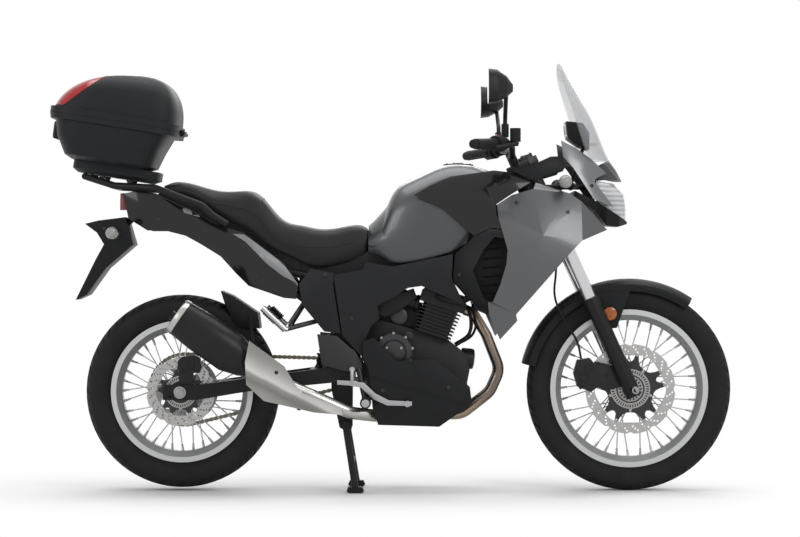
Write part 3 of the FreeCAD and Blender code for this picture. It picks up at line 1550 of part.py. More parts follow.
def right_skin(name, corners, faces):
    return skin(name, corners, faces, -s.panel_thickness)


def behind(corners, letters):
    """The middle of a facet, on its inner face."""
    count = len(letters)
    x, y, z = (sum(corners[letter][axis] for letter in letters) / count for axis in range(3))
    return (x, y + s.panel_thickness * 0.95, z)


def skid_plate():
    """Lower engine cover: two deep sides joined by a floor and a raked front."""
    space = Space("skid")
    shares = ((0, 0.96), (0.1, 1), (0.31, 0.74), (0.65, 0.76), (0.98, 0.45), (1, 0.26),
              (0.7, 0), (0.14, 0.02), (0.09, 0.19), (0.05, 0.65), (0, 0.78))
    outline = [space.flat(*share) for share in shares]
    wall = plate("SkidWall", outline, s.skid_thickness, -space.deep)
    thick_share = s.skid_thickness / space.high
    floor_shares = ((0.14, 0.02), (0.7, 0), (0.7, thick_share), (0.14, 0.02 + thick_share))
    floor = plate("SkidFloor", [space.flat(*share) for share in floor_shares],
                  space.deep * 2, space.inner)
    start = s.crankcase_half_width + s.running_gap
    bosses = []
    for along in (0.36, 0.7):
        x, z = space.flat(along, 0.36)
        bosses.append(rod("SkidBoss", (x, -start, z), (x, -space.deep, z), s.subframe_tube_radius))
    pieces = both_sides([wall] + bosses) + [floor]
    return node("skid_plate", *pieces)


def radiator_tank():
    """Ends of the axis of the radiator's right tank."""
    space = Space("radiator")
    x = space.rear + space.long / 2
    return (x, -space.deep * 0.86, space.foot), (x, -space.deep * 0.86, space.foot + space.high)


def radiator():
    """Radiator core with a header tank on each side."""
    space = Space("radiator")
    low = space.at(0, 0, 0)
    high = space.at(1, 1, 1)
    core = block("RadiatorCore", (low[0], -high[1] * 0.86, low[2]), (high[0], high[1] * 0.86, high[2]))
    tank = rod("RadiatorTank", *radiator_tank(), space.long * 0.6)
    rail = main_rail()
    foot = (low[0] + space.long * 0.3, -space.deep * 0.5, high[2] - s.stay_radius)
    lug = stay("RadiatorLug", foot, rail[1], rail[2], s.frame_tube_radius, s.stay_radius * 1.4)
    return node("radiator", core, *both_sides([tank, lug]))


# Tank, seat and panels

def seat():
    """Two-level seat: a low rider's place, a step and the passenger's place behind it."""
    space = Space("seat")
    station_shares = (
        (0.0, 0.975, 0.92, 0.72), (0.05, 0.99, 0.87, 0.86), (0.18, 0.94, 0.79, 0.95),
        (0.34, 0.88, 0.53, 1.0), (0.45, 0.865, 0.38, 1.0), (0.495, 0.78, 0.29, 1.0),
        (0.58, 0.56, 0.18, 0.98), (0.64, 0.505, 0.12, 0.95), (0.73, 0.465, 0.03, 0.9),
        (0.87, 0.475, 0.06, 0.78), (0.96, 0.505, 0.11, 0.68), (1.0, 0.48, 0.2, 0.62),
    )
    section_shares = ((0, 0.0), (0.82, 0.0), (1.0, 0.3), (0.98, 0.72), (0.86, 0.93), (0.5, 1.0))
    rings = []
    for along, top, foot, wide in station_shares:
        ring = []
        for out, up in section_shares:
            level = foot + (top - foot) * up
            ring.append(space.at(along, level, out * wide))
        ring.append(space.at(along, top + 0.012, 0))
        ring += [other_side(point) for point in reversed(ring[1:-1])]
        rings.append(ring)
    return node("seat", curved_loft("SeatPad", rings, creases=(1, 11)))


def fuel_tank():
    """Fuel tank: a rounded body with a tunnel for the frame tubes underneath."""
    space = Space("tank")
    station_shares = (
        (0.0, 0.34, 0.09, 0.52), (0.16, 0.625, 0.02, 0.8), (0.33, 0.85, 0.01, 0.93),
        (0.45, 0.925, 0.04, 0.97), (0.56, 0.985, 0.08, 0.98), (0.79, 1.0, 0.24, 0.94),
        (0.92, 0.95, 0.45, 0.8), (1.0, 0.88, 0.62, 0.66),
    )
    section_shares = ((0.78, 0.0), (0.92, 0.0), (1.0, 0.2), (1.0, 0.55), (0.88, 0.8),
                      (0.62, 0.95), (0.3, 1.0))
    tunnel_share = 0.3
    rings = []
    for along, top, foot, wide in station_shares:
        ring = []
        ring.append(space.at(along, foot + tunnel_share * (top - foot), 0))
        ring.append(space.at(along, foot + tunnel_share * (top - foot), 0.74 * wide))
        for out, up in section_shares:
            ring.append(space.at(along, foot + (top - foot) * up, out * wide))
        ring += [other_side(point) for point in reversed(ring[1:])]
        rings.append(ring)
    along, top, foot, wide = station_shares[5]
    level = foot + tunnel_share * (top - foot) * 0.5
    x, y, z = space.at(along, level, 0.78 * wide)
    rail = main_rail()
    lug = stay("TankLug", (x, -y, z), rail[1], rail[2], s.frame_tube_radius, s.axle_hollow_radius)
    creases = (1, 2, 3, 14, 15, 16)
    return node("fuel_tank", curved_loft("TankBody", rings, creases), *both_sides([lug]))


def shrouds():
    """Silver side shrouds that sweep forward past the radiator."""
    space = Space("shroud")
    shares = {
        "A": (0.08, 0.86, 0.45), "B": (0.2, 0.92, 0.48), "C": (0.38, 0.96, 0.5),
        "D": (0.4, 1, 0.31), "E": (0.69, 0.93, 0.33), "F": (0.78, 0.88, 0.34),
        "G": (1, 0.7, 0), "H": (0.78, 0.63, 0.66), "I": (0.69, 0.56, 0.74),
        "J": (0.23, 0.16, 0.91), "K": (0.24, 0.12, 0.9), "L": (0.1, 0, 0.72),
        "M": (0.01, 0.16, 0.74), "N": (0, 0.24, 0.78), "O": (0.04, 0.24, 0.88),
        "P": (0.1, 0.35, 0.95), "Q": (0.15, 0.48, 0.98), "R": (0.16, 0.57, 1),
        "S": (0.09, 0.77, 0.66), "T": (0.45, 0.66, 0.88),
    }
    faces = "ABT BCT CDE CET EFT FGH FHT HIT IJT JPQ JQT QRT RST SAT JKL JLM JMN JNO JOP"
    corners = right_corners(space, shares)
    rail = main_rail()
    link = stay("ShroudStay", behind(corners, "AST"), rail[0], rail[1], s.frame_tube_radius,
                s.stay_radius)
    right = fused("RightShroud", [right_skin("Shroud", corners, faces), link])
    return node("shrouds", *both_sides([right]), apart=True)


def vent_cowls():
    """Dark cowls round the air vents beside the radiator."""
    space = Space("vent")
    shares = {
        "A": (1, 0.98, 0.79), "B": (0.74, 1, 0.52), "C": (0.41, 0.9, 0.21), "D": (0.04, 0.69, 0),
        "E": (0, 0.41, 0), "F": (0.02, 0.34, 0), "G": (0.52, 0, 0.31), "H": (0.66, 0.04, 0.69),
        "a": (1, 0.88, 0.97), "b": (0.82, 0.9, 0.79), "c": (0.59, 0.73, 0.76),
        "d": (0.39, 0.48, 0.79), "e": (0.6, 0.14, 0.86), "f": (0.66, 0.11, 0.9),
    }
    corners = right_corners(space, shares)
    cowl = right_skin("VentCowl", corners, "ABba BCcb CDdc DEFd FGed GHfe")
    low, high = radiator_tank()
    link = stay("VentStay", behind(corners, "FGe"), low, high, Space("radiator").long * 0.6,
                s.stay_radius)
    right = fused("RightVentCowl", [cowl, link])
    return node("vent_cowls", *both_sides([right]), apart=True)


def tank_covers():
    """Black covers over the sides of the tank, running forward to the cowl."""
    space = Space("tank_cover")
    shares = {
        "A": (0, 0.62, 0.32), "B": (0.13, 0.76, 0.24), "C": (0.31, 0.91, 0.14),
        "D": (0.68, 1, 0.25), "E": (0.82, 0.97, 0.32), "F": (1, 0.83, 0.42), "G": (0.84, 0.65, 0.65),
        "H": (0.7, 0.48, 0.59), "I": (0.71, 0.26, 0.84), "J": (0.76, 0.11, 1),
        "K": (0.65, 0.12, 0.84), "L": (0.51, 0, 0.65), "M": (0.24, 0.42, 0.49),
        "N": (0.31, 0.65, 0.49), "O": (0.61, 0.77, 0.54),
    }
    faces = "AMN ABN BCN CON CDO DEO EFG EGO GHO HIO ILO IKL IJK LMNO"
    corners = right_corners(space, shares)
    rail = main_rail()
    link = stay("TankCoverStay", behind(corners, "IJK"), rail[0], rail[1], s.frame_tube_radius,
                s.stay_radius)
    right = fused("RightTankCover", [right_skin("TankCover", corners, faces), link])
    return node("tank_covers", *both_sides([right]), apart=True)


def side_covers():
    """Dark covers over the frame under the tank, and the smaller ones behind them."""
    front_shares = {
        "A": (0, 0.8, 0.17), "B": (0.22, 0.85, 0), "C": (0.24, 0.92, 0), "D": (0.45, 0.88, 0.42),
        "E": (0.91, 1, 0.83), "F": (0.9, 0.77, 1), "G": (1, 0.5, 0.75), "H": (0.67, 0.69, 0.83),
        "I": (0.56, 0.67, 0.83), "J": (0.48, 0.6, 0.75), "K": (0.33, 0.5, 0.58),
        "L": (0.34, 0.37, 0.58), "M": (0.28, 0.3, 0.58), "N": (0.23, 0.15, 0.5),
        "O": (0.21, 0, 0.42), "P": (0.06, 0.21, 0.42), "Q": (0, 0.71, 0.25),
    }
    front_faces = "ABQ BKQ BCD BDJ BJK DEH EFH FGH DHI DIJ KLQ LMQ MPQ MNP NOP"
    rear_shares = {
        "A": (0, 0.75, 0.27), "B": (0.28, 1, 0), "C": (0.84, 0.93, 0.55), "D": (0.82, 0.75, 0.82),
        "E": (1, 0, 1), "F": (0.61, 0.03, 0.91), "G": (0.11, 0.42, 0.55),
    }
    corners = right_corners(Space("side_cover"), front_shares)
    rail = main_rail()
    radius = s.frame_tube_radius
    front = fused("RightFrontCover", [
        right_skin("FrontSideCover", corners, front_faces),
        stay("FrontCoverStay", behind(corners, "EFH"), rail[1], rail[2], radius, s.stay_radius),
        stay("MiddleCoverStay", behind(corners, "BJK"), rail[2], rail[3], radius, s.stay_radius)])
    corners = right_corners(Space("rear_cover"), rear_shares)
    upper, _ = subframe_lines()
    rear = fused("RightRearCover", [
        right_skin("RearSideCover", corners, "ABG BDG BCD DFG DEF"),
        stay("RearCoverStay", behind(corners, "BCD"), upper[0], upper[1],
             s.subframe_tube_radius, s.stay_radius)])
    return node("side_covers", *both_sides([front, rear]), apart=True)


def tail_cowls():
    """Tail panels under the passenger's seat."""
    space = Space("tail")
    shares = {
        "A": (0, 0.97, 0.03), "B": (0.09, 1, 0.14), "C": (0.19, 0.97, 0.28),
        "D": (0.4, 0.81, 0.48), "E": (0.58, 0.66, 0.62), "F": (0.69, 0.61, 0.72),
        "G": (0.92, 0.33, 0.83), "H": (1, 0.14, 0.9), "I": (0.99, 0, 0.86),
        "J": (0.92, 0.01, 0.79), "K": (0.72, 0.12, 0.62), "L": (0.65, 0.23, 0.55),
        "M": (0.56, 0.39, 0.48), "N": (0.45, 0.5, 0.38), "O": (0.36, 0.58, 0.31),
        "P": (0.24, 0.63, 0.24), "Q": (0.14, 0.63, 0.14), "R": (0.03, 0.74, 0),
        "S": (0.47, 0.65, 0.76), "T": (0.79, 0.39, 1),
    }
    faces = "AQR ABQ BPQ BCP CDS CSO COP DES EFT ETS FGT GHT HIT IJT JKT KLT LTS LMS MNS NOS"
    corners = right_corners(space, shares)
    upper, strut = subframe_lines()
    radius = s.subframe_tube_radius
    right = fused("RightTail", [
        right_skin("TailCowl", corners, faces),
        stay("TailStay", behind(corners, "NOS"), upper[2], upper[3], radius, s.stay_radius),
        stay("RearTailStay", behind(corners, "BPQ"), upper[3], upper[4], radius, s.stay_radius),
        stay("FrontTailStay", behind(corners, "HIT"), strut[0], strut[1], radius * 0.9,
             s.stay_radius)])
    return node("tail_cowls", *both_sides([right]), apart=True)


def rear_fender():
    """Rear fender: a block under the tail lamp with a flap for the number plate."""
    space = Space("rear_fender")
    shares = ((0.16, 0.92), (0.4, 0.96), (0.86, 1), (1, 0.67), (0.52, 0.38), (0.19, 0.06),
              (0, 0), (0.34, 0.48), (0.49, 0.67), (0.37, 0.81))
    outline = [space.flat(*share) for share in shares]
    fender = plate("RearFender", outline, space.deep * 2, space.inner)
    x, z = space.flat(0.82, 0.9)
    end = subframe_ends()
    tab = stay("FenderTab", (x, space.inner, z), end, other_side(end), s.subframe_tube_radius,
               s.subframe_tube_radius * 0.8)
    return node("rear_fender", fender, tab)


def tail_lamp():
    """Tail lamp lens under the carrier."""
    space = Space("tail_lamp")
    rings = []
    for along, wide in ((0.0, 0.7), (0.3, 0.95), (1.0, 1.0)):
        ring = [space.at(along, 0.1, -wide), space.at(along, 0.1, wide),
                space.at(along, 0.6, wide), space.at(along, 1, wide * 0.8),
                space.at(along, 1, -wide * 0.8), space.at(along, 0.6, -wide)]
        rings.append(ring)
    return node("tail_lamp", loft("TailLens", rings))


def signal(name, root_point, tip_side):
    """A turn signal: a short stalk and a pod with a domed lens."""
    x, y, z = root_point
    radius = s.fork_slider_radius * 0.84
    profile = [(radius * 0, y + tip_side), (radius * 0.5, y + tip_side * 0.96),
               (radius * 0.9, y + tip_side * 0.8), (radius, y + tip_side * 0.6),
               (radius * 0.4, y + tip_side * 0.34), (radius * 0.4, y), (radius * 0, y)]
    return turned(name, [(across, -out) for across, out in profile], (x, y * 0, z))


def turn_signals():
    """Four turn signals: two on the shrouds and two on the rear fender."""
    fender = Space("rear_fender")
    inner = Space("inner_cowl")
    cowl_x, cowl_z = fender.flat(0.7, 0.8)
    rear = signal("RearSignal", (cowl_x, fender.deep + s.running_gap, cowl_z), fender.deep * 2)
    front_x, front_z = inner.flat(0.97, -0.08)
    front_pod = signal("FrontPod", (front_x, inner.inner + inner.deep * 0.4, front_z),
                       inner.deep * 2.6)
    stalk = (front_x, -(inner.inner + inner.deep * 0.46), front_z)
    link = stay("SignalStay", stalk, *cowl_cross(), s.subframe_tube_radius * 0.6,
                s.stay_radius * 1.4)
    front = fused("FrontSignal", [front_pod, link])
    return node("turn_signals", *both_sides([rear, front]), apart=True)


# Shares of the nose's length, top, foot and width.
NOSE_STATIONS = ((0.0, 1.0, 0.86, 1.0), (0.4, 0.69, 0.42, 0.93), (0.58, 0.52, 0.03, 0.86),
                 (0.82, 0.292, 0.0, 0.6), (0.98, 0.14, 0.08, 0.25))


def nose_ring(along, top, foot, wide):
    """One section of the nose, flat on top where the lamp stands."""
    space = Space("nose")
    return [space.at(along, foot, -wide * 0.7), space.at(along, foot, wide * 0.7),
            space.at(along, top, wide), space.at(along, top, -wide)]


def headlamp():
    """Headlamp: a domed lens and body that stand on the nose."""
    space = Space("lamp")
    ledge_ends = (NOSE_STATIONS[1], NOSE_STATIONS[-1])
    ledge = [Space("nose").at(along, top, 0) for along, top, _, _ in ledge_ends]
    station_shares = ((-1.0, 0.3), (-0.86, 0.62), (-0.5, 0.92), (0.0, 1.0),
                      (0.5, 0.92), (0.86, 0.62), (1.0, 0.3))
    front_shares = ((1.0, 0.36), (0.94, 0.66), (0.6, 0.93), (0.0, 1.0))
    rings = []
    for out, reach in station_shares:
        ring = []
        for share in (0, reach):
            x, _, z = between(ledge[0], ledge[1], share)
            ring.append((x, space.deep * out, z + s.running_gap))
        for along, up in front_shares:
            ring.append(space.at(along * reach, up, out))
        rings.append(ring)
    return node("headlamp", loft("Lamp", rings))


# Rings of the brow from its middle out: share to the side, then shares along and up.
BROW_SHARES = (
    (0, ((0.42, 1), (0.51, 1), (0.77, 0.57), (1, 0.03), (0.94, 0), (0.58, 0.25), (0.31, 0.64))),
    (0.6, ((0.34, 0.95), (0.45, 0.93), (0.72, 0.5), (0.94, 0.04), (0.87, 0.02), (0.51, 0.23),
           (0.24, 0.5))),
    (1, ((0.15, 0.83), (0.29, 0.8), (0.55, 0.42), (0.8, 0.06), (0.7, 0.05), (0.39, 0.13),
         (0, 0.09))),
)


def headlamp_brow():
    """The small visor between the headlamp and the foot of the windshield."""
    space = Space("brow")
    rings = []
    for sign, rows in ((-1, reversed(BROW_SHARES[1:])), (1, BROW_SHARES)):
        for out, ring in rows:
            rings.append([space.at(along, up, out * sign) for along, up in ring])
    return node("headlamp_brow", loft("Brow", rings))


def cowl_parts():
    """Front cowl, its dark nose, headlamp, brow, meter and windshield."""
    cowl_shares = {
        "A": (0, 1, 0.68), "B": (0.28, 0.89, 0.59), "C": (0.57, 0.73, 0.38), "D": (0.87, 0.52, 0),
        "E": (0.69, 0.45, 0.38), "F": (0.62, 0.4, 0.59), "G": (1, 0, 0.47), "H": (0.6, 0.13, 1),
        "I": (0.22, 0.59, 0.97), "J": (0.04, 0.75, 0.85),
    }
    corners = right_corners(Space("cowl"), cowl_shares)
    x, y, z = behind(corners, "FGH")
    cowl = fused("RightCowl", [
        right_skin("Cowl", corners, "ABJ BIJ BCI CFI CEF CDE FHI FGH"),
        rod("CowlBoss", (x, y, z), (x, -(Space("lamp").deep + s.running_gap), z), s.stay_radius)])
    node("front_cowl", *both_sides([cowl]), apart=True)
    inner_shares = {
        "A": (0, 0.44, 0.76), "B": (0.42, 0.64, 0.82), "C": (0.73, 0.97, 0.65), "D": (0.94, 1, 0),
        "E": (1, 0.58, 0.29), "F": (0.94, 0.36, 0.53), "G": (0.42, 0, 1), "H": (0.07, 0.36, 0.82),
    }
    corners = right_corners(Space("inner_cowl"), inner_shares)
    inner = fused("RightInnerCowl", [
        right_skin("InnerCowl", corners, "ABH BGH BFG BCF CDE CEF"),
        stay("InnerCowlStay", behind(corners, "CDE"), *meter_stay(), s.axle_hollow_radius,
             s.stay_radius)])
    nose = loft("Nose", [nose_ring(*station) for station in NOSE_STATIONS])
    node("nose_cowl", nose, *both_sides([inner]), apart=True)
    headlamp()
    headlamp_brow()
    meter_space = Space("meter")
    meter_shares = ((0, 1), (0.72, 0.94), (1, 0.58), (1, 0), (0.57, 0.12), (0.08, 0.41))
    outline = [meter_space.flat(*share) for share in meter_shares]
    node("meter", plate("Meter", outline, meter_space.deep * 2, meter_space.inner))
    windshield()


def windshield():
    """Clear screen: curved across, leaning back and narrowing to its top."""
    space = Space("windshield")
    station_shares = ((0.0, 1.0, 0.6, 0.8), (0.19, 0.83, 0.42, 0.96), (0.41, 0.65, 0.28, 1.0),
                      (0.69, 0.36, 0.1, 0.94), (0.91, 0.13, 0.0, 0.77), (1.0, 0.05, 0.0, 0.46))
    steps = 6
    rings = []
    for up, front, edge, wide in station_shares:
        outer, inner = [], []
        for step in range(steps + 1):
            out = -1 + 2 * step / steps
            along = edge + (front - edge) * (1 - out * out)
            point = space.at(along, up, out * wide)
            outer.append(point)
            inner.append((point[0] - s.windshield_thickness, point[1], point[2]))
        rings.append(outer + list(reversed(inner)))
    meter = Space("meter")
    bosses = []
    for side in (-0.55, 0.55):
        y = meter.deep * side
        z = meter.foot + meter.high * 0.2
        bosses.append(rod("ScreenBoss", (meter.rear + meter.long + s.running_gap, y, z),
                          (space.rear + space.long * 0.8, y, z), s.stay_radius))
    creases = (0, steps, steps + 1, steps * 2 + 1)
    return node("windshield", curved_loft("Screen", rings, creases), *bosses)


# Carrier and top case

def grab_rails():
    """Grab rails and carrier: a looped rail each side, struts and two cross bars."""
    seat = Space("seat")
    base = Space("case_base", datum=0)
    side = s.swingarm_side
    rear = on_case(base.rear + base.long * 0.16, -base.deep * 0.7, base.foot - s.running_gap)
    radius = s.subframe_tube_radius * 0.92
    level = rear[2] - radius
    mid = on_case(base.rear + base.long * 0.6, -base.deep * 0.7, base.foot - s.running_gap)
    route = [
        (seat.rear + seat.long * 0.32, -side * 1.2, seat.foot + seat.high * 0.52),
        (seat.rear + seat.long * 0.25, -side * 1.24, seat.foot + seat.high * 0.62),
        (seat.rear + seat.long * 0.2, -side * 1.22, seat.foot + seat.high * 0.73),
        (seat.rear - seat.long * 0.03, -side * 1.12, seat.foot + seat.high * 0.93),
        (mid[0] - base.long * 0.1, -side * 0.8, mid[2] - radius * 2),
        (rear[0], rear[1], level),
    ]
    rail = tube("GrabRail", route, radius, side * 0.4)
    upper, _ = subframe_lines()
    knee = between(route[0], route[1], 0.3)
    elbow = (knee[0], -side * 0.8, knee[2] + s.stay_radius)
    bracket = [rod("RailArm", knee, elbow, s.stay_radius * 1.2),
               stay("RailFoot", elbow, upper[2], upper[3], s.subframe_tube_radius,
                    s.stay_radius * 1.2)]
    pieces = both_sides([rail] + bracket)
    end = route[5]
    pieces.append(rod("RearBar", end, other_side(end), radius))
    front_bar = route[4]
    pieces.append(rod("FrontBar", front_bar, other_side(front_bar), radius))
    return node("grab_rails", *pieces)


def case_ring(rear, front, half_width, up, inset=0):
    """One level of the top case: a rounded oblong, seen from above."""
    corners = 20
    middle = (rear + front) / 2
    half = (front - rear) / 2 - inset
    ring = []
    for corner in range(corners):
        angle = 2 * math.pi * (corner + 0.5) / corners
        along = math.copysign(abs(math.cos(angle)) ** 0.42, math.cos(angle))
        across = math.copysign(abs(math.sin(angle)) ** 0.42, math.sin(angle))
        ring.append(on_case(middle + half * along, (half_width - inset) * across, up))
    return ring


SHELL_SHARES = ((0.6, 0.55, 0.62, -0.575), (0.7, 0.68, 0.82, -0.52), (0.84, 0.76, 0.93, -0.25),
                (0.9, 0.86, 0.96, 0.0))
BAND_SHARES = ((0.98, 1.0, 1.0, 0.012), (1.0, 1.0, 1.0, 0.1))
COLLAR_SHARES = ((1.0, 1.0, 1.0, 0.103), (1.0, 1.0, 1.0, 0.2), (0.94, 0.96, 0.97, 0.21))
DOME_SHARES = ((0.94, 0.96, 0.97, 0.21), (0.88, 0.95, 0.96, 0.35), (0.77, 0.92, 0.93, 0.5),
               (0.54, 0.84, 0.85, 0.68), (0.18, 0.7, 0.7, 0.82), (-0.2, 0.5, 0.48, 0.885))
NECK_SHARES = ((0.9, 0.86, 0.96, 0.0), (0.94, 0.96, 0.97, 0.21))


def case_levels(levels, inset=0, drop=0):
    rings = []
    for rear, front, wide, up in levels:
        rings.append(case_ring(-s.case_rear * rear, s.case_front * front,
                               s.case_half_width * wide, s.case_half_width * up + drop, inset))
    return rings


def hinge_eye(name, side, width, sign):
    """One knuckle of the case's hinge with the tab that carries it."""
    up = s.case_half_width * 0.1 + s.case_seam_gap
    radius = s.case_hinge_radius
    start = on_case(s.case_hinge_ahead, side, up)
    end = on_case(s.case_hinge_ahead, side + width, up)
    eye = rod(f"{name}Eye", start, end, radius)
    foot = up + sign * radius * 0.5
    tip = up + sign * radius * 1.6
    low, high = (foot, tip) if sign > 0 else (tip, foot)
    rings = []
    for across in (side, side + width):
        rings.append([on_case(s.case_front - s.case_wall, across, low),
                      on_case(s.case_hinge_ahead, across, low),
                      on_case(s.case_hinge_ahead, across, high),
                      on_case(s.case_front - s.case_wall, across, high)])
    return [eye, loft(f"{name}Tab", rings)]


def top_case():
    """Top case: a hollow tray with its collar, and the hollow lid hinged at the front."""
    wall = s.case_wall
    tray_levels = SHELL_SHARES + BAND_SHARES
    tray = curved_loft("TrayOuter", case_levels(tray_levels), ruled=True)
    inner = case_levels(tray_levels[:1], wall, wall) + case_levels(tray_levels[1:4], wall)
    inner += case_levels(((0.9, 0.86, 0.96, 0.2),), wall)
    tray_room = curved_loft("TrayRoom", inner, ruled=True)
    hollow_tray = carved("HollowTray", tray, [tray_room])
    knuckle = s.case_hinge_radius
    tray_eyes = hinge_eye("TrayHinge", -knuckle * 5, knuckle * 10, -1)
    node("case_shell", hollow_tray, *tray_eyes)
    collar = curved_loft("LidCollar", case_levels(COLLAR_SHARES), ruled=True)
    dome = curved_loft("LidDome", case_levels(DOME_SHARES))
    lid = fused("LidOuter", [collar, dome])
    neck = curved_loft("LidNeck", case_levels(NECK_SHARES, wall), ruled=True)
    inner = case_levels(DOME_SHARES[:-1], wall) + case_levels(DOME_SHARES[-1:], wall * 2, -wall)
    lid_room = fused("LidRoom", [neck, curved_loft("DomeRoom", inner)])
    hollow_lid = carved("HollowLid", lid, [lid_room])
    lid_eyes = hinge_eye("LidHingeRight", -knuckle * 10, knuckle * 4.6, 1)
    lid_eyes += hinge_eye("LidHingeLeft", knuckle * 5.4, knuckle * 4.6, 1)
    node("case_lid", hollow_lid, *lid_eyes)
    base = Space("case_base", datum=0)
    rings = []
    for up, grow in ((0.0, 0.86), (0.3, 1.0), (1.0, 1.0)):
        rings.append(case_ring(base.rear * grow, (base.rear + base.long) * grow,
                               base.deep * grow, base.foot + base.high * up))
    node("case_base", loft("CaseBase", rings))


# Foot controls and stands

def foot_controls():
    """Step plates, rider's pegs, brake pedal on the right and shift pedal on the left."""
    step = Space("step")
    step_shares = ((0, 1), (0.44, 0.95), (0.87, 0.5), (1, 0.2), (1, 0), (0.62, 0.03), (0.1, 0.2))
    outline = [step.flat(*share) for share in step_shares]
    holder = plate("StepPlate", outline, step.deep, -(step.inner + step.deep / 2))
    pieces = [holder]
    face = s.pivot_plate_side + s.pivot_plate_thickness / 2 + s.running_gap
    boss = s.subframe_tube_radius * 0.8
    for share in ((0.25, 0.9), (0.78, 0.52)):
        x, z = step.flat(*share)
        pieces.append(rod("StepBoss", (x, -face, z), (x, -(step.inner + step.deep / 2), z), boss))
    peg_x, peg_z = step.flat(1.08, -0.78)
    hang_x, hang_z = step.flat(0.92, 0.1)
    side = step.inner + step.deep / 2
    pieces.append(rod("PegArm", (hang_x, -side, hang_z), (peg_x, -side, peg_z), boss))
    pieces.append(rod("Peg", (peg_x, -side, peg_z), (peg_x, -side * 1.68, peg_z), boss * 1.3))
    right_holder = fused("RightStep", pieces)
    pedal = Space("pedal")
    pedal_shares = ((0, 1), (0.15, 0.98), (0.36, 0.9), (0.51, 0.49), (0.69, 0.22), (1, 0.17),
                    (1, 0), (0.67, 0.02), (0.48, 0.27), (0.32, 0.71), (0.15, 0.8), (0, 0.83))
    arm = plate("PedalArm", [pedal.flat(*share) for share in pedal_shares], pedal.deep,
                -(pedal.inner + pedal.deep / 2))
    toe_x, toe_z = pedal.flat(0.94, 0.1)
    out = pedal.inner + pedal.deep / 2
    toe = rod("PedalToe", (toe_x, -out, toe_z), (toe_x, -out * 1.25, toe_z), boss)
    pivot_x, pivot_z = pedal.flat(0.2, 0.9)
    pin = rod("PedalPin", (pivot_x, -(step.inner + step.deep), step.foot + boss),
              (pivot_x, -out, step.foot + boss), boss * 0.9)
    link = rod("PedalLink", (pivot_x, -out, step.foot + boss), (pivot_x, -out, pivot_z), boss * 0.7)
    pedal_set = fused("PedalSet", [arm, toe, pin, link, right_holder])
    return node("foot_controls", *both_sides([pedal_set]), apart=True)


def pillion_pegs():
    """Passenger's pegs, folded up on their tube brackets."""
    step = Space("step")
    side = step.inner + step.deep
    hub_x, hub_z = step.flat(-0.7, 1.2)
    top = (hub_x - s.switch_radius * 2.9, -side * 1.2, hub_z + s.switch_radius * 2.4)
    foot = (hub_x, -side * 1.12, hub_z - s.switch_radius * 0.4)
    peg = rod("PillionPeg", foot, top, s.bar_radius)
    rail = subframe_strut_point(0.36)
    low = subframe_strut_point(0.14)
    arm_a = rod("PillionArmA", foot, rail, s.bar_radius * 0.6)
    arm_b = rod("PillionArmB", foot, low, s.bar_radius * 0.6)
    right = fused("RightPillion", [peg, arm_a, arm_b])
    return node("pillion_pegs", *both_sides([right]), apart=True)


def subframe_strut_point(share):
    """A point just outside the lower strut of the seat frame."""
    seat_space = Space("seat")
    side = s.pivot_plate_side
    foot = (s.pivot_x, -side, s.pivot_z + side * 2.1)
    top = (seat_space.rear + seat_space.long * 0.36, -side * 1.2,
           seat_space.foot + seat_space.high * 0.24)
    x, y, z = between(foot, top, share)
    return (x, y - s.subframe_tube_radius * 0.87 - s.bar_radius * 0.6, z)


def centre_stand():
    """Centre stand: a pivot tube, two splayed legs, a cross tube and flat feet."""
    x, z = s.centre_stand_pivot_x, s.centre_stand_pivot_z
    side, foot_side = s.centre_stand_leg_side, s.centre_stand_foot_side
    radius = s.centre_stand_tube_radius
    pivot = (x, -side, z)
    foot = (s.centre_stand_foot_x, -foot_side, s.centre_stand_foot_height * 0.8)
    leg = rod("StandLeg", pivot, foot, radius)
    ball = rod("StandEnd", (x, -(side - radius), z), (x, -(side + radius), z), radius * 1.3)
    shoe_shares = ((-0.5, 0.35), (-0.36, 0), (0.36, 0), (0.5, 0.35), (0.4, 1), (-0.4, 1))
    shoe_outline = [(s.centre_stand_foot_x + s.centre_stand_foot_length * along,
                     s.centre_stand_foot_height * up) for along, up in shoe_shares]
    shoe = plate("StandShoe", shoe_outline, s.centre_stand_foot_width, -foot_side)
    pieces = both_sides([leg, ball, shoe])
    pieces.append(rod("StandPivot", pivot, other_side(pivot), radius))
    cross = between(pivot, foot, 0.6)
    pieces.append(rod("StandCross", cross, other_side(cross), radius * 0.9))
    return node("centre_stand", *pieces)


def side_stand():
    """Side stand, folded up along the left side."""
    start = (s.side_stand_pivot_x, s.side_stand_pivot_y, s.side_stand_pivot_z)
    reach = s.side_stand_reach
    end = (start[0] - reach, start[1] + reach * 0.12, start[2] + reach * 0.17)
    leg = rod("SideLeg", start, end, s.side_stand_radius)
    head = rod("SideHead", on_stand_pivot(-s.side_stand_radius),
               on_stand_pivot(s.side_stand_radius), s.side_stand_radius * 1.5)
    half = s.side_stand_foot_thickness / 2
    face = (end[0] + half * 0.91, end[1] + half * 0.23, end[2] - half * 0.33)
    back = (end[0] - half * 0.91, end[1] - half * 0.23, end[2] + half * 0.33)
    foot = rod("SideFoot", back, face, s.side_stand_foot_radius)
    return node("side_stand", leg, head, foot)


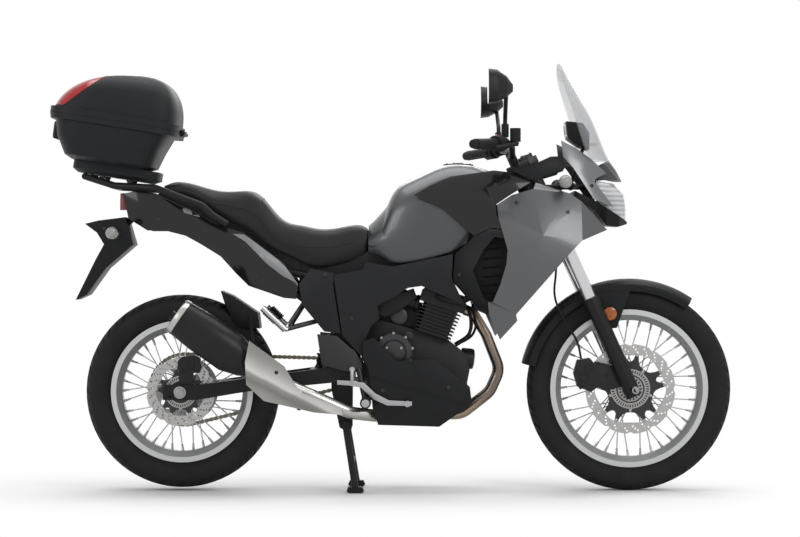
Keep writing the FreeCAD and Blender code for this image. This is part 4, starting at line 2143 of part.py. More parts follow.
def build():
    s.crankcase_foot = Space("crankcase").foot
    wheels()
    chain()
    fork_sliders()
    fork_tubes()
    handlebar()
    grips()
    mirrors()
    front_fender()
    front_caliper()
    brake_hose()
    rear_caliper()
    main_frame()
    swingarm()
    shock_absorber()
    chain_guard()
    engine_case()
    engine_covers()
    engine_cylinders()
    exhaust()
    muffler()
    muffler_shield()
    skid_plate()
    radiator()
    seat()
    fuel_tank()
    shrouds()
    vent_cowls()
    tank_covers()
    side_covers()
    tail_cowls()
    rear_fender()
    tail_lamp()
    turn_signals()
    cowl_parts()
    grab_rails()
    top_case()
    foot_controls()
    pillion_pegs()
    centre_stand()
    side_stand()


def checked_and_written():
    """Stops on any failed feature or bad solid, then writes one file for each sub-part."""
    DOC.recompute()
    for thing in DOC.Objects:
        if "Invalid" in thing.State or "Error" in thing.State:
            raise RuntimeError(f"{thing.Label} failed: {thing.State}")
    for piece in NODES:
        if piece.Shape.isNull() or not piece.Shape.isValid() or not piece.Shape.Solids:
            raise RuntimeError(f"{piece.Label} is not a sound solid")
    os.makedirs("parts", exist_ok=True)
    for piece in NODES:
        piece.Shape.exportStep(os.path.join("parts", f"{piece.Label}.step"))
    print(len(NODES), "sub-parts written")


build()
checked_and_written()
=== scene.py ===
# %% [markdown]
# # Adventure motorcycle with a top case
# The machine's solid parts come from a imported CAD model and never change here. This lesson dresses
# them: it gives each part its finish, and adds what a solid model leaves out, such as tyre tread,
# brake disc holes, chain links, a sewn seat, screws and reflectors.
# We load the model first, because every new piece rides on one of its bodies.

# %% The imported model
import itertools
import json
import math

import bpy
import bmesh
from mathutils import Matrix, Vector
from mathutils.bvhtree import BVHTree
from mathutils.geometry import delaunay_2d_cdt


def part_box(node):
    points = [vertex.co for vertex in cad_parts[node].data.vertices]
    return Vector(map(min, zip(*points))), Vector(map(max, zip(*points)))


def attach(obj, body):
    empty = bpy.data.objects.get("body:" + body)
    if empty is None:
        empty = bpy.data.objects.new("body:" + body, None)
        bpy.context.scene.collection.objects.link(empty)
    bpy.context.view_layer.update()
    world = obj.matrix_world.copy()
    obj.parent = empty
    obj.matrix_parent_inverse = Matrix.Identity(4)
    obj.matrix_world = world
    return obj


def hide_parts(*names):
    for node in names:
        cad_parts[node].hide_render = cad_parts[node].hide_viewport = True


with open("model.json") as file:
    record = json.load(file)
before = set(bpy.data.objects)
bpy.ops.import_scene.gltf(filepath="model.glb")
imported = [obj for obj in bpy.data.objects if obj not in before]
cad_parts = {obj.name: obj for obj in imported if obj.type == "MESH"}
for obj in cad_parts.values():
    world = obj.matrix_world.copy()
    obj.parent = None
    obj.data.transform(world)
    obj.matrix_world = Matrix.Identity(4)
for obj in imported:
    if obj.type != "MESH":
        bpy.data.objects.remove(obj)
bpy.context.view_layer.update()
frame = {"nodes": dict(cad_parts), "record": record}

# %% [markdown]
# ## Arithmetic on shader sockets
# A finish changes over a surface: paint has flakes, cast metal has pores. Blender writes that as
# nodes, which could be wired by hand one by one. A small class that wraps a socket lets us write
# plain sums instead, such as 1 - mask * 0.4, and each sum adds its own Math node.

# %% A socket that can be added, multiplied and compared
class Wire:
    """One output of a node in a finish, used in sums like a number."""

    def __init__(self, finish, socket):
        self.finish = finish
        self.socket = socket

    def sum(self, operation, *values):
        return self.finish.node("ShaderNodeMath", {"operation": operation},
                                dict(enumerate(values)))

    def __add__(self, other):
        return self.sum("ADD", self, other)

    def __sub__(self, other):
        return self.sum("SUBTRACT", self, other)

    def __rsub__(self, other):
        return self.sum("SUBTRACT", other, self)

    def __mul__(self, other):
        return self.sum("MULTIPLY", self, other)

    def __gt__(self, other):
        return self.sum("GREATER_THAN", self, other)

    def __lt__(self, other):
        return self.sum("LESS_THAN", self, other)

    def apply(self, operation, *values):
        return self.sum(operation, self, *values)

    def waves(self, per_metre):
        """Waves from -1 to 1 along a length, with so many radians to the metre."""
        return (self * per_metre).apply("SINE")

    __radd__ = __add__


# %% [markdown]
# ## A finish and its nodes
# Every finish is a Principled shader with a few plain numbers, such as how metallic it is, and a
# few things that vary. The class below makes the shader, sets the plain numbers on its own
# sockets, and offers the patterns that several finishes share: noise, cells and a bump.

# %% The finish class
PLAIN_SOCKETS = {
    "coat": "Coat Weight",
    "coat_roughness": "Coat Roughness",
    "sheen": "Sheen Weight",
    "mirroring": "Specular IOR Level",
}


class Finish:
    """A material under construction, with helpers for its patterns."""

    def __init__(self, name, colour, roughness, metallic=0.0, **plain):
        self.material = bpy.data.materials.new(name)
        self.material.use_nodes = True
        self.tree = self.material.node_tree
        self.shader = self.tree.nodes["Principled BSDF"]
        self.colour = colour
        self.feed("Base Color", (*colour, 1.0))
        self.feed("Roughness", roughness)
        self.feed("Metallic", metallic)
        for word, value in plain.items():
            self.feed(PLAIN_SOCKETS[word], value)

    def feed(self, name, value):
        """Sets one socket of the shader to a number, or wires it."""
        if isinstance(value, Wire):
            self.tree.links.new(value.socket, self.shader.inputs[name])
        else:
            self.shader.inputs[name].default_value = value

    def node(self, kind, settings=None, inputs=None, output=0):
        """Adds any node: its settings first, then what goes into its sockets."""
        made = self.tree.nodes.new(kind)
        for word, value in (settings or {}).items():
            if word == "stops":
                ramp = made.color_ramp
                while len(ramp.elements) < len(value):
                    ramp.elements.new(1.0)
                for element, (place, colour) in zip(ramp.elements, value):
                    element.position = place
                    element.color = (*colour, 1.0)
            else:
                setattr(made, word, value)
        for word, value in (inputs or {}).items():
            if isinstance(value, Wire):
                self.tree.links.new(value.socket, made.inputs[word])
            else:
                made.inputs[word].default_value = value
        return Wire(self, made.outputs[output])

    def place(self):
        """Where a point is on the machine at rest, in metres."""
        return self.node("ShaderNodeTexCoord", output="Object")

    def part(self, letter):
        """One coordinate of that place."""
        return self.node("ShaderNodeSeparateXYZ", inputs={0: self.place()}, output=letter)

    def noise(self, per_metre, detail=3.0, stretch=(1.0, 1.0, 1.0)):
        """Cloudy noise from 0 to 1, about per_metre clouds to the metre."""
        spread = self.node("ShaderNodeVectorMath", {"operation": "MULTIPLY"},
                           {0: self.place(), 1: stretch})
        return self.node("ShaderNodeTexNoise", {}, {"Vector": spread, "Scale": per_metre,
                                                    "Detail": detail})

    def cells(self, per_metre, feature="F1"):
        """Distance to the middle of the nearest cell, for pores and grain."""
        return self.node("ShaderNodeTexVoronoi", {"feature": feature},
                         {"Vector": self.place(), "Scale": per_metre})

    def soft_step(self, value, low, high):
        """A mask that rises smoothly from 0 to 1 between two values."""
        return self.node("ShaderNodeMapRange", {"interpolation_type": "SMOOTHSTEP"},
                         {"Value": value, "From Min": low, "From Max": high})

    def ramp(self, value, *stops):
        """A colour that follows a value through named stops."""
        return self.node("ShaderNodeValToRGB", {"stops": stops}, {0: value})

    def mixed(self, share, first, second):
        """A colour between two colours."""
        first, second = (c if isinstance(c, Wire) else (*c, 1.0) for c in (first, second))
        return self.node("ShaderNodeMix", {"data_type": "RGBA"},
                         {0: share, 6: first, 7: second}, output=2)

    def shaded(self, share, darkest=0.7):
        """The finish's colour, darkened where share is low."""
        low = tuple(c * darkest for c in self.colour)
        self.feed("Base Color", self.mixed(share, low, self.colour))
        return self

    def worn(self, roughness, spread, clouds, patches, darkest):
        """Uneven roughness, and a colour that darkens in patches of a size per metre."""
        self.feed("Roughness", roughness + self.noise(clouds) * spread)
        return self.shaded(self.noise(patches), darkest)

    def bump(self, height, depth_mm):
        """Raises the surface by a height from 0 to 1 times a depth in millimetres."""
        self.feed("Normal", self.node("ShaderNodeBump", {},
                                      {"Height": height, "Distance": depth_mm / 1000,
                                       "Strength": 1.0}))
        return self


# %% [markdown]
# ## Paints
# The machine wears three coatings: a dark silver metallic on the tank, side panels and cowl, a
# deep gloss black, and a satin black powder coat on the frame. Metallic paint is small flakes
# under clear lacquer, so its colour and roughness vary from grain to grain beneath a smooth coat.
# The silver is made at three levels: a lighter copy on the cowl is painted light, and a darker
# copy on the tank is painted shade.

# %% Metallic, gloss and satin paint
def metallic_paint(name, colour):
    paint = Finish(name, colour, 0.34, 0.72, coat=0.3, coat_roughness=0.06, mirroring=0.3)
    flakes = paint.cells(1400)
    paint.shaded(paint.noise(900, 1.0) * 0.6 + flakes * 0.5 + 0.1, 0.82)
    paint.feed("Roughness", 0.30 + paint.noise(40) * 0.08)
    return paint


silver_paint = metallic_paint("dark_silver_paint", (0.105, 0.107, 0.112))
# One silver at three levels: the cowl's lighter copy is painted light, and the tank's darker copy is
# painted shade.
cowl_paint_painted_light = metallic_paint("cowl_silver_paint_painted_light", (0.165, 0.168, 0.175))
tank_paint_painted_shade = metallic_paint("tank_silver_paint_painted_shade", (0.075, 0.077, 0.081))
stripe_grey = metallic_paint("stripe_grey_paint", (0.20, 0.204, 0.212))

gloss_black = Finish("gloss_black_paint", (0.009, 0.009, 0.010), 0.16, coat=0.3,
                     coat_roughness=0.04, mirroring=0.2)
gloss_black.worn(0.13, 0.08, 30, 8, 0.8)

frame_paint = Finish("satin_frame_paint", (0.012, 0.012, 0.013), 0.42, coat=0.05,
                     mirroring=0.14)
frame_paint.bump(frame_paint.noise(700, 2.0), 0.05).worn(0.36, 0.14, 60, 14, 0.75)
print("paints made")

# %% [markdown]
# ## Moulded plastics
# Unpainted panels are moulded from black plastic with a fine leather-like grain, and the case has
# a coarser one. The grain could be modelled, but at a tenth of a millimetre a bump serves as well.

# %% Grained black plastics
def moulded_plastic(name, colour, roughness, grain_per_metre, depth_mm):
    plastic = Finish(name, colour, roughness, mirroring=0.13)
    plastic.bump(plastic.cells(grain_per_metre), depth_mm)
    return plastic.worn(roughness - 0.06, 0.12, 25, 11, 0.82)


panel_plastic = moulded_plastic("black_panel_plastic", (0.010, 0.0105, 0.0115), 0.42, 1500, 0.08)
soft_plastic = moulded_plastic("dark_grey_plastic", (0.017, 0.0175, 0.019), 0.44, 1500, 0.08)
case_plastic = moulded_plastic("grained_case_plastic", (0.014, 0.015, 0.0165), 0.46, 900, 0.14)
guard_plastic = moulded_plastic("engine_guard_plastic", (0.012, 0.0125, 0.0135), 0.36, 1500,
                                0.08)
brow_grey = moulded_plastic("brow_grey_plastic", (0.075, 0.077, 0.082), 0.36, 1500, 0.05)
print("plastics made")

# %% [markdown]
# ## Bare metals
# Cast aluminium is pitted, rolled steel is brushed one way, and a disc is ground in circles. Each
# is a metal with its own direction of marks: noise that is stretched, or rings about the axle.

# %% Castings and brushed steel
def casting(name, colour, roughness, metallic):
    cast = Finish(name, colour, roughness, metallic, mirroring=0.25)
    cast.bump(cast.noise(1100, 4.0), 0.12)
    cast.feed("Roughness", roughness - 0.08 + cast.noise(60) * 0.18)
    cast.shaded(cast.noise(35, 4.0), 0.7)
    return cast


def brushed(name, colour, roughness, stretch):
    steel = Finish(name, colour, roughness, 0.95)
    marks = steel.noise(60, 3.0, stretch)
    steel.bump(marks, 0.04)
    steel.feed("Roughness", roughness - 0.08 + marks * 0.18)
    steel.shaded(steel.noise(20) * 0.6 + marks * 0.4, 0.82)
    return steel


engine_black = casting("black_engine_casting", (0.018, 0.018, 0.019), 0.42, 0.3)
cover_black = casting("dark_engine_cover", (0.055, 0.055, 0.058), 0.34, 0.55)
caliper_black = casting("black_caliper_casting", (0.016, 0.016, 0.017), 0.36, 0.2)
fin_black = casting("finned_cylinder_casting", (0.018, 0.018, 0.019), 0.45, 0.3)
satin_steel = brushed("satin_shield_steel", (0.46, 0.455, 0.44), 0.30, (1.0, 8.0, 8.0))
bolt_steel = brushed("plated_bolt_steel", (0.36, 0.35, 0.34), 0.30, (6.0, 1.0, 6.0))
dark_bolt = casting("black_bolt_steel", (0.045, 0.045, 0.046), 0.34, 0.6)
radiator_fin = casting("radiator_fin_metal", (0.10, 0.10, 0.105), 0.5, 0.7)
chain_steel = casting("oiled_chain_steel", (0.24, 0.215, 0.17), 0.36, 0.9)
print("metals made")

# %% [markdown]
# ## Parts with two finishes
# Some CAD parts join a painted bracket to a bright fitting. The border between them is a plain
# height or width, so the finish compares each point's place with that border. The shield over the
# pipe has a fold across it, and there the same comparison, softened, feeds the bump. Spread wider,
# it also drives the shield's colour, which paints reflections: a bright band above the fold and
# darker bands below it and towards the top.

# %% Brackets, fork legs and the folded shield
def two_tone(name, bright, beyond, roughness, dark=(0.012, 0.012, 0.013)):
    """A finish that is dark paint inside a border and bright metal beyond it."""
    both = Finish(name, bright, roughness, 0.0, mirroring=0.4)
    share = beyond(both)
    both.feed("Base Color", both.mixed(share, dark, bright))
    both.feed("Metallic", share * 0.9)
    both.feed("Roughness", 0.42 - share * (0.42 - roughness) + both.noise(60) * 0.06)
    both.bump(both.noise(500, 3.0), 0.05)
    return both


STEP_PLATE_OUTSIDE, PEG_BRACKET_REAR, LOWER_CLAMP_BOTTOM = 0.150, -0.332, 0.800
foot_finish = two_tone(
    "step_plate_and_pedal", (0.36, 0.36, 0.37),
    lambda finish: finish.part("Y").apply("ABSOLUTE") > STEP_PLATE_OUTSIDE, 0.34)
peg_finish = two_tone("peg_bracket_and_peg", (0.45, 0.45, 0.46),
                      lambda finish: finish.part("X") < PEG_BRACKET_REAR, 0.28)
fork_finish = two_tone("fork_clamps_and_chrome", (0.60, 0.60, 0.62),
                       lambda finish: finish.part("Z") < LOWER_CLAMP_BOTTOM, 0.10)


def fold_line(finish, x, z, ahead, above, half):
    """A height that steps softly from 0 to 1 across a line in the side view.

    The line runs through (x, z), and (ahead, above) points straight across it.
    """
    away = (finish.part("X") - x) * ahead + (finish.part("Z") - z) * above
    return finish.soft_step(away, -half, half)


shield_steel = Finish("folded_shield_steel", (0.42, 0.415, 0.40), 0.27, 0.95)
SHIELD_FOLD = (-0.4555, 0.3965, 0.474, 0.880)
shield_steel.bump(fold_line(shield_steel, *SHIELD_FOLD, 0.016), 5.0)
# The colour ramp below paints reflections on the steel: a bright band just above the fold, a dark
# band below it, and darker towards the top.
painted_reflection = fold_line(shield_steel, *SHIELD_FOLD, 0.075)
shield_steel.feed("Base Color", shield_steel.ramp(
    painted_reflection + shield_steel.noise(9) * 0.10 - 0.05, (0.0, (0.36, 0.35, 0.33)),
    (0.30, (0.20, 0.195, 0.185)), (0.47, (0.30, 0.295, 0.28)), (0.56, (0.62, 0.61, 0.59)),
    (0.80, (0.40, 0.395, 0.38)), (1.0, (0.24, 0.235, 0.225))))
shield_steel.feed("Roughness", 0.24 + shield_steel.noise(30) * 0.08)
guard_fold = (fold_line(guard_plastic, -0.0686, 0.3738, 0.283, 0.959, 0.010)
              + fold_line(guard_plastic, 0.120, 0.300, 0.90, 0.436, 0.012) * 0.6)
guard_plastic.bump(guard_fold, 4.0)
print("two-tone finishes made")

# %% [markdown]
# ## Ground and turned metals
# Brake discs and rims show their marks as rings about the axle. A distance from the axle, worked
# out from the place of each point, gives those rings, and it also lets one wheel part wear three
# finishes: a polished rim, bright spokes and a dark hub.

# %% Where the axles are
FRONT_AXLE = Vector((0.7687, 0.0, 0.3313))
REAR_AXLE = Vector((-0.6813, 0.0, 0.3220))


def from_axle(finish, axle):
    """Distance from an axle, in metres."""
    ahead = finish.part("X") - axle.x
    above = finish.part("Z") - axle.z
    return (ahead * ahead + above * above).apply("SQRT")


# %% Disc, wheel and hub finishes
def ground_disc(name, axle, swept_from):
    disc = Finish(name, (0.36, 0.355, 0.35), 0.32, 0.95)
    away = from_axle(disc, axle)
    rings = away.waves(6000.0)
    disc.bump(rings * 0.5 + disc.noise(300) * 0.5, 0.03)
    swept = away > swept_from
    disc.feed("Roughness", 0.38 - swept * 0.08 + disc.noise(50) * 0.08)
    disc.feed("Base Color", disc.mixed(swept, (0.30, 0.30, 0.30), (0.38, 0.375, 0.37)))
    return disc


def laced_wheel(name, axle, hub_radius, well_radius):
    wheel = Finish(name, (0.50, 0.505, 0.51), 0.34, 0.8)
    away = from_axle(wheel, axle)
    hub = away < hub_radius
    well = away > well_radius
    metal = wheel.mixed(well, (0.42, 0.425, 0.43), (0.48, 0.485, 0.49))
    wheel.feed("Base Color", wheel.mixed(hub, metal, (0.020, 0.020, 0.021)))
    wheel.feed("Roughness", 0.33 + hub * 0.1 + wheel.noise(20) * 0.05)
    wheel.bump(wheel.noise(120, 2.0), 0.01)
    return wheel


front_disc_steel = ground_disc("ground_front_disc", FRONT_AXLE, swept_from=0.112)
rear_disc_steel = ground_disc("ground_rear_disc", REAR_AXLE, swept_from=0.078)
front_wheel_alloy = laced_wheel("front_wheel_alloy", FRONT_AXLE, hub_radius=0.052,
                                well_radius=0.215)
rear_wheel_alloy = laced_wheel("rear_wheel_alloy", REAR_AXLE, hub_radius=0.052,
                               well_radius=0.190)
print("turned metals made")

# %% [markdown]
# ## Heat on the exhaust
# Header pipes are bare steel that browns near the cylinder head and stays pale further
# back. Its colour follows the place along the machine and a slow cloud, through a ramp of straw,
# bronze and brown.

# %% Heat-tinted steel, and the dark silencer
header_steel = Finish("heat_tinted_header", (0.45, 0.37, 0.28), 0.27, 0.95)
heat = (header_steel.part("X") + 0.1) * 2.4 + header_steel.noise(9) * 0.35 - 0.2
header_steel.feed("Base Color", header_steel.ramp(
    heat, (0.0, (0.44, 0.43, 0.41)), (0.35, (0.41, 0.37, 0.31)), (0.6, (0.38, 0.31, 0.23)),
    (0.8, (0.30, 0.23, 0.17)), (1.0, (0.16, 0.13, 0.11))))
header_steel.bump(header_steel.noise(80), 0.02)
header_steel.feed("Roughness", 0.22 + header_steel.noise(40) * 0.14)

muffler_black = Finish("satin_silencer_black", (0.014, 0.014, 0.015), 0.36, 0.3, coat=0.05,
                       mirroring=0.2)
muffler_black.bump(muffler_black.noise(500, 2.0), 0.04).worn(0.30, 0.12, 30, 12, 0.8)

# %% [markdown]
# ## Rubber and seat cover
# Tyre rubber is matt with a faint bloom, and its sides carry thin moulded rings. Grips have ribs.
# The seat's vinyl is grained like leather: small domed cells with creases between them.

# %% Tyre, grip and seat finishes
def tyre_rubber(name, axle, tread_from):
    rubber = Finish(name, (0.014, 0.014, 0.014), 0.60, mirroring=0.12)
    away = from_axle(rubber, axle)
    rings = away.waves(900.0)
    side = 1 - (away > tread_from)
    rubber.bump((rings > 0.8) * side * 0.6 + rubber.noise(800, 3.0) * 0.4, 0.25)
    rubber.feed("Roughness", 0.56 + rubber.noise(30) * 0.16)
    rubber.feed("Base Color", rubber.mixed(rubber.noise(14, 4.0), (0.010, 0.010, 0.010),
                                           (0.019, 0.019, 0.019)))
    return rubber


front_rubber = tyre_rubber("front_tyre_rubber", FRONT_AXLE, tread_from=0.310)
rear_rubber = tyre_rubber("rear_tyre_rubber", REAR_AXLE, tread_from=0.288)

grip_rubber = Finish("ribbed_grip_rubber", (0.013, 0.013, 0.014), 0.6, mirroring=0.14)
ribs = grip_rubber.part("Y").waves(2200.0)
grip_rubber.bump(ribs * 0.5 + grip_rubber.noise(900) * 0.3, 0.5)
grip_rubber.shaded(grip_rubber.noise(40), 0.75)

seat_vinyl = Finish("grained_seat_vinyl", (0.012, 0.012, 0.013), 0.44, sheen=0.02,
                    mirroring=0.22)
grain = seat_vinyl.cells(520, "SMOOTH_F1")
seat_vinyl.bump(grain * 0.7 + seat_vinyl.noise(160, 3.0) * 0.5, 0.22)
seat_vinyl.feed("Roughness", 0.40 + grain * 0.2 + seat_vinyl.noise(18) * 0.1)
seat_vinyl.shaded(seat_vinyl.noise(9, 4.0), 0.7)
print("rubber and vinyl made")

# %% [markdown]
# ## Lenses, screens and mirrors
# A windshield is clear acrylic that turns milky where it is seen edge on. Coloured lenses are cast
# with small facets, and a full model of them would never be seen, so cells give their pattern. The
# headlamp's glass has upright waves, and the mirrors' glass is the side of the part facing back.

# %% Clear and coloured lenses
def lens(name, colour, facets_per_metre, darkest=0.45):
    glass = Finish(name, colour, 0.08, coat=0.4, coat_roughness=0.02, mirroring=0.3)
    pattern = glass.cells(facets_per_metre)
    dark = tuple(c * darkest for c in colour)
    glass.feed("Base Color", glass.mixed(pattern.apply("MULTIPLY", 1.6), colour, dark))
    glass.bump(pattern, 0.15)
    return glass


red_lens = lens("red_reflector_lens", (0.42, 0.004, 0.006), 260, 0.6)
tail_lens = lens("tail_lamp_lens", (0.30, 0.002, 0.004), 160)
amber_lens = lens("amber_lens", (0.62, 0.15, 0.006), 220)

headlamp_lens = Finish("headlamp_lens", (0.62, 0.63, 0.65), 0.06, coat=0.8,
                       coat_roughness=0.02)
flutes = headlamp_lens.part("Z").waves(420.0)
headlamp_lens.shaded(flutes * 0.3 + headlamp_lens.noise(12, 1.0) * 0.9, 0.45)
headlamp_lens.bump(flutes * 0.5 + 0.5, 0.3)

screen_acrylic = Finish("clear_screen_acrylic", (0.34, 0.36, 0.38), 0.04, coat=0.2)
edge = screen_acrylic.node("ShaderNodeLayerWeight", {}, {"Blend": 0.25}, output="Facing")
screen_acrylic.feed("Alpha", 0.12 + edge * 0.55 + screen_acrylic.noise(4) * 0.03)
screen_acrylic.material.surface_render_method = "BLENDED"

mirror_shell = Finish("mirror_shell_and_glass", (0.012, 0.012, 0.013), 0.4, mirroring=0.16)
facing = mirror_shell.node("ShaderNodeTexCoord", output="Normal")
backward = mirror_shell.node("ShaderNodeSeparateXYZ", inputs={0: facing}, output="X") < -0.97
mirror_shell.feed("Base Color", mirror_shell.mixed(backward, (0.012, 0.012, 0.013),
                                                   (0.80, 0.81, 0.82)))
mirror_shell.feed("Metallic", backward)
mirror_shell.feed("Roughness", 0.42 - backward * 0.40)

display_glass = Finish("meter_display", (0.008, 0.010, 0.011), 0.06, coat=1.0)
display_glass.feed("Roughness", 0.05 + display_glass.noise(20) * 0.04)
signal_lens = lens("signal_lens", (0.38, 0.37, 0.35), 300, 0.6)
dial_white = Finish("dial_white_ink", (0.75, 0.75, 0.74), 0.5)
dial_white.shaded(dial_white.noise(300), 0.9)
lcd_grey = Finish("grey_display", (0.16, 0.19, 0.17), 0.2, coat=0.8)
lcd_rows = lcd_grey.part("Z").waves(5200.0)
lcd_grey.shaded(lcd_rows * 0.5 + 0.5, 0.85)
print("lenses made")

# %% [markdown]
# ## Dressing the CAD parts
# Most parts already have their true shape, so they only need a finish. A table from part to finish
# keeps this in one place, and each mesh is shaded smooth except across its sharp edges.

# %% Part by part finishes
DRESSED = (
    (front_wheel_alloy, "front_wheel_rim"), (rear_wheel_alloy, "rear_wheel_rim"),
    (front_disc_steel, "front_brake_disc"), (rear_disc_steel, "rear_brake_disc"),
    (front_rubber, "front_tyre"), (rear_rubber, "rear_tyre"), (bolt_steel, "rear_sprocket"),
    (chain_steel, "chain"), (fork_finish, "fork_tubes"), (mirror_shell, "mirrors"),
    (grip_rubber, "grips front_brake_hose"), (caliper_black, "front_caliper rear_caliper"),
    (frame_paint, "fork_sliders handlebar main_frame swingarm shock_absorber grab_rails "
                  "centre_stand side_stand"),
    (panel_plastic, "front_fender hugger vent_cowls rear_fender turn_signals nose_cowl meter"),
    (engine_black, "engine_case radiator"), (cover_black, "engine_covers"),
    (fin_black, "engine_cylinders"), (header_steel, "exhaust"), (muffler_black, "muffler"),
    (shield_steel, "muffler_shield"), (guard_plastic, "skid_plate"), (seat_vinyl, "seat"),
    (tank_paint_painted_shade, "fuel_tank"), (silver_paint, "shrouds"), (cowl_paint_painted_light, "front_cowl"),
    (gloss_black, "tank_covers tail_cowls"), (soft_plastic, "side_covers"),
    (tail_lens, "tail_lamp"), (headlamp_lens, "headlamp"), (brow_grey, "headlamp_brow"),
    (screen_acrylic, "windshield"), (case_plastic, "case_shell case_lid case_base"),
    (foot_finish, "foot_controls"), (peg_finish, "pillion_pegs"),
)
FINISHES = {node: finish for finish, nodes in DRESSED for node in nodes.split()}
SMOOTH_BELOW = {"shrouds": 22, "case_lid": 50, "case_shell": 50, "fuel_tank": 50,
                "windshield": 40, "engine_cylinders": 25, "front_fender": 40}


def softening_nodes(degrees):
    """Geometry nodes that shade a mesh smooth below an angle."""
    group = bpy.data.node_groups.new(f"soften_{degrees}", "GeometryNodeTree")
    group.interface.new_socket("Geometry", in_out="INPUT", socket_type="NodeSocketGeometry")
    group.interface.new_socket("Geometry", in_out="OUTPUT", socket_type="NodeSocketGeometry")
    enter = group.nodes.new("NodeGroupInput")
    leave = group.nodes.new("NodeGroupOutput")
    smooth = group.nodes.new("GeometryNodeSetShadeSmooth")
    crease = group.nodes.new("GeometryNodeSetShadeSmooth")
    crease.domain = "EDGE"
    crease.inputs["Shade Smooth"].default_value = False
    angle = group.nodes.new("GeometryNodeInputMeshEdgeAngle")
    sharp = group.nodes.new("FunctionNodeCompare")
    sharp.operation = "GREATER_THAN"
    sharp.inputs[1].default_value = math.radians(degrees)
    link = group.links.new
    link(enter.outputs[0], smooth.inputs["Geometry"])
    link(smooth.outputs[0], crease.inputs["Geometry"])
    link(angle.outputs[0], sharp.inputs[0])
    link(sharp.outputs[0], crease.inputs["Selection"])
    link(crease.outputs[0], leave.inputs[0])
    return group


SOFTEN = {}
WELD_WITHIN = 0.00002


def soften(piece, degrees=32, edge_mm=0.0):
    """Welds a mesh, rounds its edges a little and shades it smooth below an angle."""
    if "custom_normal" in piece.data.attributes:
        piece.data.attributes.remove(piece.data.attributes["custom_normal"])
    weld = piece.modifiers.new("weld", "WELD")
    weld.merge_threshold = WELD_WITHIN
    if edge_mm:
        round_off = piece.modifiers.new("edges", "BEVEL")
        round_off.width = edge_mm / 1000
        round_off.segments = 2
        round_off.limit_method = "ANGLE"
        round_off.angle_limit = math.radians(degrees)
        round_off.use_clamp_overlap = True
    if degrees not in SOFTEN:
        SOFTEN[degrees] = softening_nodes(degrees)
    piece.modifiers.new("shade", "NODES").node_group = SOFTEN[degrees]
    return piece


ROUNDED_MM = {1.0: "vent_cowls front_cowl nose_cowl muffler_shield",
              1.2: "shrouds tank_covers side_covers tail_cowls skid_plate",
              1.5: "front_fender foot_controls fork_tubes", 2.0: "hugger rear_fender meter",
              2.5: "front_caliper", 3.0: "engine_case engine_covers"}
ROUND_EDGES_MM = {node: size for size, nodes in ROUNDED_MM.items() for node in nodes.split()}
missing = sorted(set(frame["nodes"]) - set(FINISHES))
for name, finish in FINISHES.items():
    part = frame["nodes"][name]
    part.data.materials.clear()
    part.data.materials.append(finish.material)
    soften(part, SMOOTH_BELOW.get(name, 32), ROUND_EDGES_MM.get(name, 0.0))
print("dressed", len(frame["nodes"]), "CAD parts, none left bare:", missing)

# %% [markdown]
# ## Making a new piece
# New pieces are meshes written point by point in the machine's own frame, in metres. One helper
# turns points and faces into an object, gives it its finish, looks up the material slot of a CAD
# part it is like, and makes it ride on a body. Another sends a ray at a CAD part and says where its
# surface is, so that screws and stripes lie on the part and not near it.

# %% Helpers for new pieces
def slot_of(node):
    """The record's material slot of a CAD part."""
    for row in frame["record"]["subparts"]:
        if row["node"] == node:
            return row["material_slot"]
    raise KeyError(node)


def hung(name, mesh, body, finish, like, degrees=32, thick=0.0):
    """An object from a mesh, with its finish and the body it rides on; a CAD part's slot is only
    looked up.
    """
    made = bpy.data.objects.new(name, mesh)
    bpy.context.scene.collection.objects.link(made)
    mesh.materials.clear()
    mesh.materials.append(finish.material)
    if thick:
        skin = made.modifiers.new("thickness", "SOLIDIFY")
        skin.thickness = thick
        skin.offset = -1.0
    soften(made, degrees)
    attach(made, body)
    slot_of(like)
    return made


def piece(name, points, faces, body, finish, like, degrees=32, thick=0.0):
    """A piece from points and faces in the machine's frame."""
    mesh = bpy.data.meshes.new(name)
    mesh.from_pydata([tuple(point) for point in points], [], faces)
    mesh.validate()
    return hung(name, mesh, body, finish, like, degrees, thick)


def surface_of_meshes(*meshes):
    """A searchable surface of meshes."""
    points, faces = [], []
    for mesh in meshes:
        first = len(points)
        points += [vertex.co.copy() for vertex in mesh.vertices]
        faces += [[first + i for i in polygon.vertices] for polygon in mesh.polygons]
    return BVHTree.FromPolygons(points, faces)


def surface_of(*nodes):
    """A searchable surface of CAD parts."""
    return surface_of_meshes(*(frame["nodes"][node].data for node in nodes))


def hit(surface, start, heading):
    """Where a ray first meets a surface, and that surface's normal on the ray's side."""
    heading = Vector(heading)
    place, normal, _, _ = surface.ray_cast(Vector(start), heading)
    if place is not None and normal.dot(heading) > 0:
        normal = -normal
    return place, normal


def side_hit(surface, x, z, side=-1):
    """The same for a ray from the right or the left."""
    return hit(surface, (x, side, z), (0, -side, 0))


def turns(count, start=0.0):
    """Angles spread evenly over a full turn."""
    return [start + 2 * math.pi * i / count for i in range(count)]


def ring(centre, axis, radius, count):
    """Points of a circle about an axis."""
    across = axis.orthogonal().normalized()
    up = axis.cross(across).normalized()
    return [centre + (across * math.cos(a) + up * math.sin(a)) * radius for a in turns(count)]


